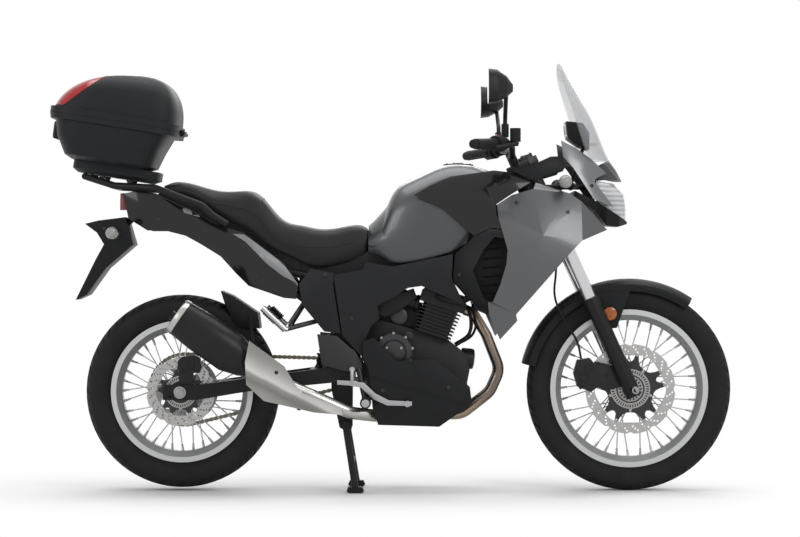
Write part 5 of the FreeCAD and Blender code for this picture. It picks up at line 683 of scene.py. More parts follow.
class Pile:
    """Collects points and faces of many small forms for one piece."""

    def __init__(self):
        self.points = []
        self.faces = []

    def rings(self, rings, looped=False):
        """Skins a row of rings, with flat ends or joined into a loop."""
        first = len(self.points)
        size = len(rings[0])
        for one in rings:
            self.points += one
        pairs = len(rings) if looped else len(rings) - 1
        for row in range(pairs):
            a = first + row * size
            b = first + ((row + 1) % len(rings)) * size
            for i in range(size):
                j = (i + 1) % size
                self.faces.append((a + i, a + j, b + j, b + i))
        if not looped:
            self.faces.append(tuple(first + i for i in reversed(range(size))))
            self.faces.append(tuple(first + (len(rings) - 1) * size + i for i in range(size)))
        return self

    def screw(self, place, axis, radius, height, sides=6):
        """A bolt head with a bevelled rim and a driver's recess."""
        axis = axis.normalized()
        outline = [(1.0, -0.15), (1.0, 0.75), (0.88, 1.0), (0.45, 1.0), (0.45, 0.45)]
        rings = [ring(place + axis * height * up, axis, radius * out, sides * 2)
                 for out, up in outline]
        return self.rings(rings)

    def made(self, name, body, finish, like, degrees=32):
        """Turns all that was collected into one piece."""
        return piece(name, self.points, self.faces, body, finish, like, degrees)


print("helpers ready")

# %% [markdown]
# ## Tyres
# The tyres are road tyres with an adventure pattern: a zigzag groove round the middle and slanted
# grooves out to the shoulders. The pattern repeats thirty times or so round the wheel. A picture
# would give it no depth, so the tyre is made anew as a fine grid of points round the axle, and
# each point that falls in a groove is lowered by the groove's depth.

# %% Tyre tread
TREAD_DEPTH, TREAD_EDGE = 0.0045, 0.985
TREAD_ROWS, AROUND = 40, 640
FLANGE_HEIGHT, RIM_PLAY, INTO_RIM = 0.0133, 0.0002, 0.006
# From the rim out: shares of the tyre's height and of its half width.
SIDE_SHARES = ((0.02, 0.62), (0.12, 0.80), (0.3, 0.93), (0.5, 1.0), (0.68, 0.985))


def crown(across):
    """Height share of the tread at a share of its half width."""
    return 0.68 + 0.32 * max(0.0, 1 - (abs(across) / TREAD_EDGE) ** 2.35) ** 0.72


def groove(across, turn):
    """How deep the tread is cut at a place, from 0 to 1."""
    turn = turn % 1.0
    zigzag = 0.4 * abs(turn - 0.5) - 0.10
    if abs(across - zigzag) < 0.035:
        return 1.0
    side = abs(across)
    shift = 0.0 if across > 0 else 0.5
    slant = (turn + shift - 0.55 * side) % 1.0
    if 0.20 < side < 0.93 and slant < 0.15:
        return 1.0
    if 0.42 < side < 0.86 and 0.48 < slant < 0.56:
        return 0.7
    if abs(side - 0.46) < 0.02 and slant > 0.56:
        return 0.7
    return 0.0


def tyre(end, axle, radius, width, bead, half_rim, pitches, finish):
    """A tyre with its tread cut in, from bead to bead."""
    flange = bead + FLANGE_HEIGHT
    half = width / 2
    height = radius - flange
    sides = [(flange + RIM_PLAY, half_rim + RIM_PLAY)]
    sides += [(flange + height * up, half * out) for up, out in SIDE_SHARES]
    tread = []
    for step in range(1, TREAD_ROWS):
        across = -TREAD_EDGE + 2 * TREAD_EDGE * step / TREAD_ROWS
        tread.append((flange + height * crown(across), half * across, across))
    rows = [(r, -y, None) for r, y in sides] + tread + [(r, y, None) for r, y in reversed(sides)]
    rows.append((flange - INTO_RIM, half_rim * 0.96, None))
    rows.insert(0, (flange - INTO_RIM, -half_rim * 0.96, None))
    pile = Pile()
    columns = []
    for i, angle in enumerate(turns(AROUND)):
        column = []
        for far, out, across in rows:
            if across is not None:
                far -= TREAD_DEPTH * groove(across, pitches * i / AROUND)
            column.append(Vector((axle.x + far * math.cos(angle), out,
                                  axle.z + far * math.sin(angle))))
        columns.append(column)
    pile.rings(columns, looped=True)
    made = pile.made(end + "_tyre_tread", end + "_wheel", finish, end + "_tyre", degrees=38)
    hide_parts(end + "_tyre")
    print(made.name, "points", len(pile.points))


tyre("front", FRONT_AXLE, radius=0.3313, width=0.100, bead=0.243, half_rim=0.0297, pitches=32,
     finish=front_rubber)
tyre("rear", REAR_AXLE, radius=0.3130, width=0.130, bead=0.217, half_rim=0.0407, pitches=28,
     finish=rear_rubber)

# %% [markdown]
# ## Brake discs
# Each disc is a petal-edged ring with three rows of small holes, on a dark carrier with arms in
# pairs. Its drilled holes are too many for a light solid, so the whole disc is drawn anew. A flat
# curve with inner outlines, given a thickness, makes such a plate in a few lines. Slotted rings
# beside the hub tell the brakes how fast the wheel turns.

# %% Drilled discs and their sensor rings
def flat_plate(name, outlines, thickness, axle, out, body, finish, like):
    """A plate in the wheel's plane, cut from outlines: the first outside, the others holes."""
    curve = bpy.data.curves.new(name, "CURVE")
    curve.dimensions = "2D"
    curve.fill_mode = "BOTH"
    curve.extrude = thickness / 2
    for outline in outlines:
        spline = curve.splines.new("POLY")
        spline.points.add(len(outline) - 1)
        for point, (a, b) in zip(spline.points, outline):
            point.co = (a, b, 0.0, 1.0)
        spline.use_cyclic_u = True
    drawn = bpy.data.objects.new(name + "_drawn", curve)
    mesh = bpy.data.meshes.new_from_object(drawn)
    bpy.data.objects.remove(drawn)
    mesh.transform(Matrix.Translation((axle.x, -out, axle.z))
                   @ Matrix.Rotation(math.pi / 2, 4, "X"))
    return hung(name, mesh, body, finish, like)


def circle(radius, count, a=0.0, b=0.0):
    return [(a + radius * math.cos(angle), b + radius * math.sin(angle))
            for angle in turns(count)]


def on_ring(radius, degrees):
    return radius * math.cos(math.radians(degrees)), radius * math.sin(math.radians(degrees))


PETALS, PETAL_BITE = 12, 0.009
DISC_THICK, CARRIER_THICK, SENSOR_THICK = 0.0045, 0.0030, 0.0014
DRILL_RADIUS, DRILL_ROWS = 0.0032, (0.26, 0.5, 0.72)
AXLE_HOLE, PLATE_HOLE = 0.0205, 0.0035


def petal_edge(radius):
    """A disc's outer edge with shallow scallops."""
    edge = []
    for angle in turns(240):
        turn = (angle * PETALS / (2 * math.pi)) % 1.0
        off = min(turn, 1 - turn) * 2 * math.pi / PETALS * radius
        dip = max(0.0, 1 - (off / PETAL_BITE) ** 2) ** 0.5 * PETAL_BITE * 0.55
        edge.append(((radius - dip) * math.cos(angle), (radius - dip) * math.sin(angle)))
    return edge


def drilled_disc(end, axle, radius, inner, out, finish):
    """The swept ring with petals, an inner wave and drilled holes."""
    outlines = [petal_edge(radius)]
    outlines.append([(inner * (1 + 0.03 * math.cos(PETALS * a / 2)) * math.cos(a),
                      inner * (1 + 0.03 * math.cos(PETALS * a / 2)) * math.sin(a))
                     for a in turns(120)])
    swept = radius - inner
    for number in range(PETALS * 2):
        for row, share in enumerate(DRILL_ROWS):
            angle = 2 * math.pi * (number + 0.25 + row * 0.22) / (PETALS * 2)
            away = inner + swept * share
            outlines.append(circle(DRILL_RADIUS, 10, away * math.cos(angle),
                                   away * math.sin(angle)))
    node = end + "_brake_disc"
    made = flat_plate(end + "_disc_ring", outlines, DISC_THICK, axle, out, end + "_wheel",
                      finish, node)
    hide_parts(node)


ARM_GROUPS = 5
ARM_SPREAD = 11.5
# Degrees from the middle of a pair of arms, and how far the outline reaches there.
ARM_STEPS = ((-36, 0), (-28, 0.03), (-22, 0.14), (-17, 0.46), (-14.5, 0.84), (-13.5, 1),
             (-9.5, 1), (-8.5, 0.80), (-5.5, 0.42), (0, 0.28), (5.5, 0.42), (8.5, 0.80),
             (9.5, 1), (13.5, 1), (14.5, 0.84), (17, 0.46), (22, 0.14), (28, 0.03))
ARM_MIDDLES = [90 + group * 360 / ARM_GROUPS for group in range(ARM_GROUPS)]


def carrier(end, axle, out, base, reach):
    """The dark plate between hub and disc, with arms in pairs that reach the disc."""
    outlines = [[on_ring(base + (reach - base) * share, middle + degrees)
                 for middle in ARM_MIDDLES for degrees, share in ARM_STEPS],
                circle(AXLE_HOLE, 32)]
    outlines += [circle(PLATE_HOLE, 12, *on_ring(base * 0.93, middle + 180 / ARM_GROUPS))
                 for middle in ARM_MIDDLES]
    flat_plate(end + "_disc_carrier", outlines, CARRIER_THICK, axle, out - 0.0008,
               end + "_wheel", dark_bolt, "front_caliper")


def sensor_ring(end, word, axle, out, inner, outer, slots):
    """A thin bright ring with slots, which tells the brakes how fast the wheel turns."""
    outlines = [circle(outer, 72), circle(inner, 60)]
    low, high = inner + (outer - inner) * 0.28, outer - (outer - inner) * 0.22
    half = 360 / slots * 0.24
    for number in range(slots):
        middle = number * 360 / slots
        outlines.append([on_ring(low, middle - half), on_ring(low, middle + half),
                         on_ring(high, middle + half), on_ring(high, middle - half)])
    flat_plate(f"{end}_{word}_ring", outlines, SENSOR_THICK, axle, out + 0.0013,
               end + "_wheel", bolt_steel, end + "_brake_disc")


def wheel_fittings(end, axle, out, hub_radius, disc_inner):
    """A button at the end of each arm, and the hub's bolts."""
    pile = Pile()
    for middle in ARM_MIDDLES:
        for away, degrees, radius in ((disc_inner, middle - ARM_SPREAD, 0.0062),
                                      (disc_inner, middle + ARM_SPREAD, 0.0062),
                                      (hub_radius, middle + 180 / ARM_GROUPS, 0.0050)):
            ahead, above = on_ring(away, degrees)
            pile.screw(Vector((axle.x + ahead, -out - 0.0020, axle.z + above)),
                       Vector((0, -1, 0)), radius, 0.0018, 8)
    pile.made(end + "_disc_buttons", end + "_wheel", bolt_steel, "front_brake_disc")


# All radii, and for each slotted ring its two radii and its count of slots.
FRONT_DISC = {"edge": 0.145, "swept_from": 0.112, "plate": 0.076, "arms_reach": 0.1165,
              "hub_bolts": 0.068, "buttons": 0.1125,
              "rings": {"sensor": (0.046, 0.064, 44), "hub": (0.026, 0.041, 20)}}
REAR_DISC = {"edge": 0.110, "swept_from": 0.078, "plate": 0.056, "arms_reach": 0.0825,
             "hub_bolts": 0.0535, "buttons": 0.0795, "rings": {"sensor": (0.036, 0.052, 40)}}
for end, axle, out, steel, sizes in (("front", FRONT_AXLE, 0.072, front_disc_steel, FRONT_DISC),
                                      ("rear", REAR_AXLE, 0.088, rear_disc_steel, REAR_DISC)):
    drilled_disc(end, axle, sizes["edge"], sizes["swept_from"], out, steel)
    carrier(end, axle, out, sizes["plate"], sizes["arms_reach"])
    for word, (inner, outer, slots) in sizes["rings"].items():
        sensor_ring(end, word, axle, out, inner, outer, slots)
    wheel_fittings(end, axle, out, sizes["hub_bolts"], sizes["buttons"])
print("discs made")

# %% [markdown]
# ## Thin panels that follow a surface
# Stripes lie on curved panels. Flat pieces would cut into them, so each outline is drawn in the
# side view, filled with small triangles, and every point is moved sideways onto the part beneath.
# A Solidify modifier then gives it a thickness of about a millimetre. The helpers for turned
# forms, tubes and plates, which the later cells use all the time, stand here as well.

# %% Panels, turned forms and rods
def densely(outline, step):
    """Adds points along an outline so that no edge is longer than a step."""
    points = []
    for (a, b), (c, d) in zip(outline, outline[1:] + outline[:1]):
        count = max(1, math.ceil(math.hypot(c - a, d - b) / step))
        points += [(a + (c - a) * i / count, b + (d - b) * i / count) for i in range(count)]
    return points


def filled(outline, step):
    """Triangles that fill an outline in the side view."""
    edge = densely(outline, step)
    inside = []
    low_x, high_x = min(p[0] for p in edge), max(p[0] for p in edge)
    low_z, high_z = min(p[1] for p in edge), max(p[1] for p in edge)
    rows = int((high_z - low_z) / step) + 1
    for row in range(1, rows):
        for column in range(1, int((high_x - low_x) / step) + 1):
            spot = (low_x + column * step + (row % 2) * step / 2, low_z + row * step)
            if min(math.dist(spot, point) for point in edge) > step * 0.45:
                inside.append(spot)
    points = [Vector(point) for point in edge + inside]
    loop = [(i, (i + 1) % len(edge)) for i in range(len(edge))]
    flat, _, faces, *_ = delaunay_2d_cdt(points, loop, [], 1, 1e-6)
    return flat, faces


PANEL_NET, PANEL_LIFT, PANEL_THICK = 0.009, 0.0006, 0.0012


def laid_panel(name, outline, nodes, body, finish, like):
    """A thin panel on both sides of CAD parts, from an outline in the side view."""
    surface = surface_of(*nodes)
    flat, triangles = filled(outline, PANEL_NET)
    points, faces = [], []
    for side in (-1, 1):
        numbers = {}
        for number, spot in enumerate(flat):
            place, normal = side_hit(surface, spot.x, spot.y, side)
            if place is not None:
                numbers[number] = len(points)
                points.append(place + normal * PANEL_LIFT)
        for face in triangles:
            if all(corner in numbers for corner in face):
                corners = [numbers[corner] for corner in face]
                faces.append(corners if side > 0 else corners[::-1])
    return piece(name, points, faces, body, finish, like, thick=PANEL_THICK)


def turned_form(pile, foot, axis, profile, count=24):
    """A form turned about an axis, from radii and distances along it."""
    axis = Vector(axis).normalized()
    foot = Vector(foot)
    return pile.rings([ring(foot + axis * along, axis, max(radius, 0.00005), count)
                       for radius, along in profile])


def route_tube(pile, route, radius, count=10):
    """A round tube along a row of points."""
    rings = []
    for number, point in enumerate(route):
        before = route[max(number - 1, 0)]
        after = route[min(number + 1, len(route) - 1)]
        heading = (after - before).normalized()
        across = heading.cross(Vector((0.13, 0.02, 0.99))).normalized()
        up = heading.cross(across)
        rings.append([point + (across * math.cos(a) + up * math.sin(a)) * radius
                      for a in turns(count)])
    return pile.rings(rings)


def slab(pile, corners, thick):
    """A flat plate from its corners in space, with a small bevel all round."""
    corners = [Vector(corner) for corner in corners]
    middle = sum(corners, Vector()) / len(corners)
    normal = (corners[1] - corners[0]).cross(corners[2] - corners[1]).normalized()
    inset = min(0.12, thick * 0.4 / max((c - middle).length for c in corners))
    rings = []
    for up, share in ((0, 1 - inset), (thick * 0.2, 1), (thick * 0.8, 1), (thick, 1 - inset)):
        rings.append([middle + (corner - middle) * share + normal * up for corner in corners])
    return pile.rings(rings)


def side_slab(pile, outline, out, thick, side):
    """A plate that stands upright on one side, from an outline in the side view."""
    corners = [(x, side * out, z) for x, z in outline]
    return slab(pile, corners if side > 0 else corners[::-1], thick)


print("panel helpers ready")

# %% [markdown]
# ## Drive chain
# A real chain is a row of narrow and wide links on pins. The CAD chain is one closed band, so the
# links are laid on the same line here: two straight runs and an arc round each chain wheel. Every
# second link is the wide one, and each plate is shaped like a figure of eight.

# %% Chain links
PITCH = 0.015875
CHAIN_SIDE = 0.085
CHAIN_DRIVE = Vector((-0.085, 0.0, 0.385))
DRIVE_TEETH, WHEEL_TEETH = 14, 46
PLATE_END, PLATE_WAIST, PLATE_THICK = 0.0066, 0.0046, 0.0017
NARROW_HALF, WIDE_HALF = 0.0036, 0.0056
PIN_HALF, ROLLER_HALF = 0.0078, 0.0034


def wheel_radius(teeth):
    return PITCH / 2 / math.sin(math.pi / teeth)


def chain_line(front, front_radius, rear, rear_radius):
    """The chain's whole length, and a function that finds the point at a way along it."""
    span = rear - front
    tilt = math.asin((rear_radius - front_radius) / span.length)
    run = span.length * math.cos(tilt)
    heading = math.atan2(span.z, span.x)
    upper = heading - math.pi / 2 - tilt
    lower = heading + math.pi / 2 + tilt
    rear_arc = rear_radius * (math.pi + 2 * tilt)

    def place(way):
        if way < run:
            base, radius, angle, extra = front, front_radius, upper, way
        elif way < run + rear_arc:
            base, radius, extra = rear, rear_radius, 0.0
            angle = upper + (way - run) / rear_radius
        elif way < 2 * run + rear_arc:
            base, radius, angle, extra = rear, rear_radius, lower, way - run - rear_arc
        else:
            base, radius, extra = front, front_radius, 0.0
            angle = lower + (way - 2 * run - rear_arc) / front_radius
        out = Vector((math.cos(angle), 0, math.sin(angle)))
        along = Vector((-math.sin(angle), 0, math.cos(angle)))
        return base + out * radius + along * extra

    return 2 * run + rear_arc + front_radius * (math.pi - 2 * tilt), place


total, chain_place = chain_line(CHAIN_DRIVE, wheel_radius(DRIVE_TEETH), REAR_AXLE,
                                wheel_radius(WHEEL_TEETH))
links = round(total / PITCH / 2) * 2
pins = [chain_place(total * number / links) for number in range(links)]
chain_pile = Pile()
across = Vector((0, 1, 0))
for number, pin in enumerate(pins):
    ahead = pins[(number + 1) % links]
    along = (ahead - pin).normalized()
    up = along.cross(across)
    wide = number % 2 == 0
    for side in (-1, 1):
        near = side * (WIDE_HALF if wide else NARROW_HALF)
        plate_outline = []
        for end, start in ((pin, 0.5), (ahead, -0.5)):
            for step in range(5):
                angle = math.pi * (start + step / 4)
                plate_outline.append(end + along * (math.cos(angle) * PLATE_END)
                                     + up * (math.sin(angle) * PLATE_END))
            plate_outline.append((pin + ahead) / 2
                                 - up * (PLATE_WAIST if start > 0 else -PLATE_WAIST))
        shift = across * (CHAIN_SIDE + near)
        chain_pile.rings([[point + shift for point in plate_outline],
                          [point + shift + across * side * PLATE_THICK
                           for point in plate_outline]])
    turned_form(chain_pile, pin + across * (CHAIN_SIDE - PIN_HALF), across,
                [(0.0018, 0), (0.0025, 0.0004), (0.0025, 0.0152), (0.0018, 0.0156)], 8)
    turned_form(chain_pile, pin + across * (CHAIN_SIDE - ROLLER_HALF), across,
                [(0.0048, 0), (0.0048, 0.0068)], 8)
chain_links = chain_pile.made("chain_links", "frame", chain_steel, "chain", 30)
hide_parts("chain")
print("chain links", links)

# %% [markdown]
# ## Seat
# The seat is foam under a stretched vinyl cover, sewn along its shoulders. The CAD seat has the
# right outline but hard edges. A copy of it is remeshed to an even net, slimmed by a few
# millimetres and blown up by a short cloth simulation, which crowns the top and rounds the sides.

# %% Swollen seat cushion
def fresh_mesh(thing):
    """The mesh of an object after its modifiers."""
    bpy.context.view_layer.update()
    seen = thing.evaluated_get(bpy.context.evaluated_depsgraph_get())
    return bpy.data.meshes.new_from_object(seen)


def remeshed(node, voxel):
    """An even copy of a CAD part, as a new object."""
    made = bpy.data.objects.new(node + "_even", frame["nodes"][node].data.copy())
    bpy.context.scene.collection.objects.link(made)
    net = made.modifiers.new("net", "REMESH")
    net.mode = "VOXEL"
    net.voxel_size = voxel
    mesh = fresh_mesh(made)
    made.modifiers.clear()
    made.data = mesh
    return made


CLOTH_FRAMES, CLOTH_STIFFNESS, UNDERSIDE = 20, 20, -0.6


def swell(thing, slim, pressure, cap):
    """Slims a closed mesh, blows it up with cloth pressure and limits how far it moves."""
    for vertex in thing.data.vertices:
        vertex.co -= vertex.normal * slim
    before = [vertex.co.copy() for vertex in thing.data.vertices]
    held = thing.vertex_groups.new(name="held")
    low = [v.index for v in thing.data.vertices if v.normal.z < UNDERSIDE]
    held.add(low, 1.0, "REPLACE")
    cloth = thing.modifiers.new("cloth", "CLOTH")
    cloth.settings.use_pressure = True
    cloth.settings.uniform_pressure_force = pressure
    cloth.settings.effector_weights.gravity = 0
    cloth.settings.vertex_group_mass = "held"
    cloth.settings.tension_stiffness = CLOTH_STIFFNESS
    cloth.settings.compression_stiffness = CLOTH_STIFFNESS
    cloth.point_cache.frame_start = 1
    cloth.point_cache.frame_end = CLOTH_FRAMES
    for number in range(1, CLOTH_FRAMES + 1):
        bpy.context.scene.frame_set(number)
    shape = fresh_mesh(thing)
    thing.modifiers.remove(cloth)
    for vertex, start, after in zip(thing.data.vertices, before, shape.vertices):
        move = after.co - start
        if move.length > cap:
            move *= cap / move.length
        vertex.co = start + move
    bpy.context.scene.frame_set(1)


cushion = remeshed("seat", voxel=0.006)
swell(cushion, slim=0.004, pressure=4.0, cap=0.0065)
cushion.name = "seat_cushion"
cushion.data.materials.clear()
cushion.data.materials.append(seat_vinyl.material)
relax = cushion.modifiers.new("relax", "CORRECTIVE_SMOOTH")
relax.iterations = 4
relax.use_only_smooth = True
finer = cushion.modifiers.new("finer", "SUBSURF")
finer.levels = finer.render_levels = 1
for polygon in cushion.data.polygons:
    polygon.use_smooth = True
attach(cushion, "frame")
slot_of("seat")
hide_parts("seat")
print("seat cushion faces", len(cushion.data.polygons))

# %% [markdown]
# ## Seat seams
# The cover is sewn from a top and side pieces. A welt is a thin cord in the seam, so it is drawn
# as a tube along points found on the cushion: from the side for the shoulder seams, from above
# for the seam across the step.

# %% Welts on the seat
def smooth_path(points, count):
    """Evenly dense points on a smooth line through a few given ones."""
    path = []
    for number in range(len(points) - 1):
        p0 = Vector(points[max(number - 1, 0)])
        p1, p2 = Vector(points[number]), Vector(points[number + 1])
        p3 = Vector(points[min(number + 2, len(points) - 1)])
        for step in range(count):
            t = step / count
            path.append((p1 * 2 + (p2 - p0) * t + (p0 * 2 - p1 * 5 + p2 * 4 - p3) * t * t
                         + (p1 * 3 - p0 - p2 * 3 + p3) * t * t * t) / 2)
    path.append(Vector(points[-1]))
    return path


cushion_surface = surface_of_meshes(cushion.data)
WELT_RADIUS = 0.0016
STEP_SEAM_X, STEP_SEAM_HALF = -0.418, 0.095
SHOULDER_SEAM = [(-0.700, 0.952), (-0.600, 0.935), (-0.500, 0.918), (-0.445, 0.900),
                 (-0.405, 0.850), (-0.360, 0.806), (-0.300, 0.792), (-0.200, 0.790),
                 (-0.130, 0.806)]


def welt(pile, rays):
    """A cord laid along the points where rays meet the cushion."""
    found = [hit(cushion_surface, start, heading)[0] for start, heading in rays]
    route_tube(pile, [place for place in found if place is not None], WELT_RADIUS, 8)


seams = Pile()
for side in (-1, 1):
    welt(seams, [((spot.x, side, spot.y), (0, -side, 0))
                 for spot in smooth_path(SHOULDER_SEAM, 10)])
welt(seams, [((STEP_SEAM_X, STEP_SEAM_HALF * (step / 15 - 1), 1.3), (0, 0, -1))
             for step in range(31)])
seams.made("seat_welts", "frame", seat_vinyl, "seat", 60)
print("seat welts laid")

# %% [markdown]
# ## Top case
# The lid has a red reflector that wraps round its rear upper corner. It follows the lid exactly,
# so it is cut from the lid's own surface: two planes trim a copy, the inner side is dropped, and
# the rest is lifted by a millimetre and made thick. A latch and its lock sit below it at the back.

# %% Reflector cut from the lid
CASE_MIDDLE = Vector((-0.890, 0.0, 1.170))
CASE_TILT = math.radians(9)
COLLAR_TOP = 0.0455


def on_case(ahead, side, up):
    """A place on the case from its own middle, along its own tilt."""
    cosine, sine = math.cos(CASE_TILT), math.sin(CASE_TILT)
    return CASE_MIDDLE + Vector((ahead * cosine + up * sine, side, up * cosine - ahead * sine))


def cut_patch(name, node, cuts, centre, body, finish, like, lift, thick):
    """A thin patch cut from a CAD part's outer surface by planes, given as place and normal."""
    work = bmesh.new()
    work.from_mesh(frame["nodes"][node].data)
    bmesh.ops.remove_doubles(work, verts=work.verts, dist=WELD_WITHIN)
    for place, normal in cuts:
        bmesh.ops.bisect_plane(work, geom=work.verts[:] + work.edges[:] + work.faces[:],
                               plane_co=place, plane_no=normal, clear_inner=True)
    inner = [face for face in work.faces
             if face.normal.dot(face.calc_center_median() - centre) < 0.0]
    bmesh.ops.delete(work, geom=inner, context="FACES")
    for vertex in work.verts:
        vertex.co += vertex.normal * lift
    mesh = bpy.data.meshes.new(name)
    work.to_mesh(mesh)
    work.free()
    return hung(name, mesh, body, finish, like, 40, thick)


edge_low, edge_high = Vector((-1.040, 0, 1.245)), Vector((-0.915, 0, 1.337))
along_edge = (edge_high - edge_low).normalized()
edge_normal = Vector((-along_edge.z, 0, along_edge.x))
collar_normal = on_case(0, 0, 1) - on_case(0, 0, 0)
reflector = cut_patch("case_reflector", "case_lid",
                      [(edge_low, edge_normal), (on_case(0, 0, COLLAR_TOP), collar_normal)],
                      on_case(0.02, 0, 0.06), "case_lid", red_lens, "tail_lamp",
                      lift=0.0009, thick=0.0015)
print("reflector faces", len(reflector.data.polygons))

# %% Latch and lock
def case_plate(pile, back, thick, low, high, half_low, half_high):
    """A plate across the case's rear, from its inner face outwards."""
    slab(pile, [on_case(back, -half_high, high), on_case(back, half_high, high),
                on_case(back, half_low, low), on_case(back, -half_low, low)], thick)


latch = Pile()
case_plate(latch, back=-0.1768, thick=0.027, low=-0.060, high=-0.003, half_low=0.052,
           half_high=0.058)
case_plate(latch, back=-0.2034, thick=0.0034, low=-0.050, high=-0.010, half_low=0.032,
           half_high=0.038)
latch.made("case_latch", "frame", soft_plastic, "case_shell", 40)
lock = Pile()
lock_axis = on_case(-1, 0, 0) - on_case(0, 0, 0)
turned_form(lock, on_case(-0.2062, 0, -0.030), lock_axis,
            [(0.0100, 0), (0.0105, 0.0008), (0.0105, 0.0024), (0.0095, 0.0030), (0.0060, 0.0030),
             (0.0055, 0.0022)], 28)
case_plate(lock, back=-0.2084, thick=0.0006, low=-0.0345, high=-0.0255, half_low=0.0011,
           half_high=0.0011)
lock.made("case_lock", "frame", bolt_steel, "rear_brake_disc")
print("latch and lock made")

# %% [markdown]
# ## Stripes and side reflectors
# The tail has a pale grey stripe that folds down towards the seat, and a small one behind it. The
# front fender carries a round amber reflector on each side. Stripes are laid panels, reflectors
# are small turned forms with a domed lens in a black rim.

# %% Tail stripes and fender reflectors
TAIL_STRIPE = [(-0.512, 0.831), (-0.475, 0.829), (-0.440, 0.803), (-0.400, 0.773),
               (-0.360, 0.743), (-0.340, 0.722), (-0.320, 0.692), (-0.308, 0.674),
               (-0.350, 0.696), (-0.399, 0.733), (-0.471, 0.806)]
REAR_STRIPE = [(-0.675, 0.9105), (-0.667, 0.9145), (-0.625, 0.900), (-0.572, 0.8795),
               (-0.579, 0.8745), (-0.625, 0.886), (-0.668, 0.8985)]
laid_panel("tail_stripes", TAIL_STRIPE, ["tail_cowls", "side_covers"], "frame", stripe_grey,
           "shrouds")
laid_panel("rear_stripes", REAR_STRIPE, ["tail_cowls"], "frame", stripe_grey, "shrouds")


REFLECTOR_RADIUS = 0.0255
RIM_PROFILE = ((1, -0.004), (1, 0.004), (0.94, 0.006), (0.86, 0.006), (0.84, 0.003))
GLASS_PROFILE = ((0.85, 0.002), (0.84, 0.006), (0.6, 0.0078), (0.3, 0.0086), (0, 0.0088))
rims, glasses = Pile(), Pile()
fender_surface = surface_of("front_fender")
for side in (-1, 1):
    place, normal = side_hit(fender_surface, 0.703, 0.574, side)
    for pile, profile in ((rims, RIM_PROFILE), (glasses, GLASS_PROFILE)):
        turned_form(pile, place, (normal.x * 0.3, side, normal.z * 0.3),
                    [(REFLECTOR_RADIUS * share, along) for share, along in profile], 32)
rims.made("fender_reflector_rims", "steering", panel_plastic, "front_fender", 40)
glasses.made("fender_reflectors", "steering", amber_lens, "turn_signals", 40)
print("stripes and reflectors made")

# %% [markdown]
# ## Turn signal lenses
# Each signal is a small pod with a pale lens over its outer end. The lens is turned about the pod's
# own axis and stands a hair proud of it.

# %% Turn signal lenses
lenses = Pile()
signal_points = [vertex.co for vertex in frame["nodes"]["turn_signals"].data.vertices]
for x_from, x_to in ((-1.0, -0.7), (0.4, 0.7)):
    for side in (-1, 1):
        pod = [p for p in signal_points if x_from < p.x < x_to and p.y * side > 0]
        tip = max(p.y * side for p in pod)
        near = [p for p in pod if p.y * side > tip - 0.03]
        x = (min(p.x for p in near) + max(p.x for p in near)) / 2
        z = (min(p.z for p in near) + max(p.z for p in near)) / 2
        wide = max(math.hypot(p.x - x, p.z - z) for p in near)
        shapes = [(wide * 0.99 + 0.0006, -0.030), (wide + 0.0009, -0.026),
                  (wide * 0.93 + 0.0008, -0.012), (wide * 0.72 + 0.0008, -0.004),
                  (wide * 0.4, 0.0008), (0, 0.0014)]
        turned_form(lenses, (x, side * tip, z), (0, side, 0), shapes, 28)
lenses.made("signal_lenses", "frame", signal_lens, "turn_signals", 50)
print("signal lenses made")

# %% [markdown]
# ## Silencer end
# The silencer ends in a bright steel ring and a dark cap with the outlet pipe. They are turned
# about the silencer's own sloping axis and squashed sideways like the can.

# %% Silencer ring, cap and outlet
SLOPE = math.radians(34.5)
can_axis = Vector((-math.cos(SLOPE), 0, math.sin(SLOPE)))
can_up = Vector((math.sin(SLOPE), 0, math.cos(SLOPE)))
can_foot = Vector((FRONT_AXLE.x - 1.2067, -0.200, 0.402))


def can_rings(pile, *rows):
    """Oval rings across the silencer, from their places along it, half heights and half widths."""
    pile.rings([[can_foot + can_axis * along + can_up * (high * math.sin(a))
                 + Vector((0, 1, 0)) * (wide * math.cos(a)) for a in turns(40)]
                for along, high, wide in rows])


band = Pile()
can_rings(band, (0.281, 0.0606, 0.0530), (0.2815, 0.0618, 0.0542), (0.2945, 0.0604, 0.0528),
          (0.297, 0.0590, 0.0515), (0.3005, 0.0560, 0.0488), (0.301, 0.0500, 0.0430),
          (0.2985, 0.0480, 0.0410))
band.made("silencer_ring", "frame", satin_steel, "muffler", 40)
outlet = Pile()
can_rings(outlet, (0.2988, 0.0470, 0.0400), (0.3022, 0.0430, 0.0370), (0.3030, 0.0230, 0.0210))
turned_form(outlet, can_foot + can_axis * 0.300 - can_up * 0.008, can_axis,
            [(0.0150, 0), (0.0150, 0.014), (0.0140, 0.0148), (0.0128, 0.014), (0.0125, -0.0005)],
            28)
outlet.made("silencer_outlet", "frame", muffler_black, "muffler", 40)
print("silencer end made")

# %% [markdown]
# ## Fuel cap
# A round filler cap with a keyhole flap lies on top of the tank. Its place is found by looking
# straight down on the tank, and it tilts with the tank's surface.

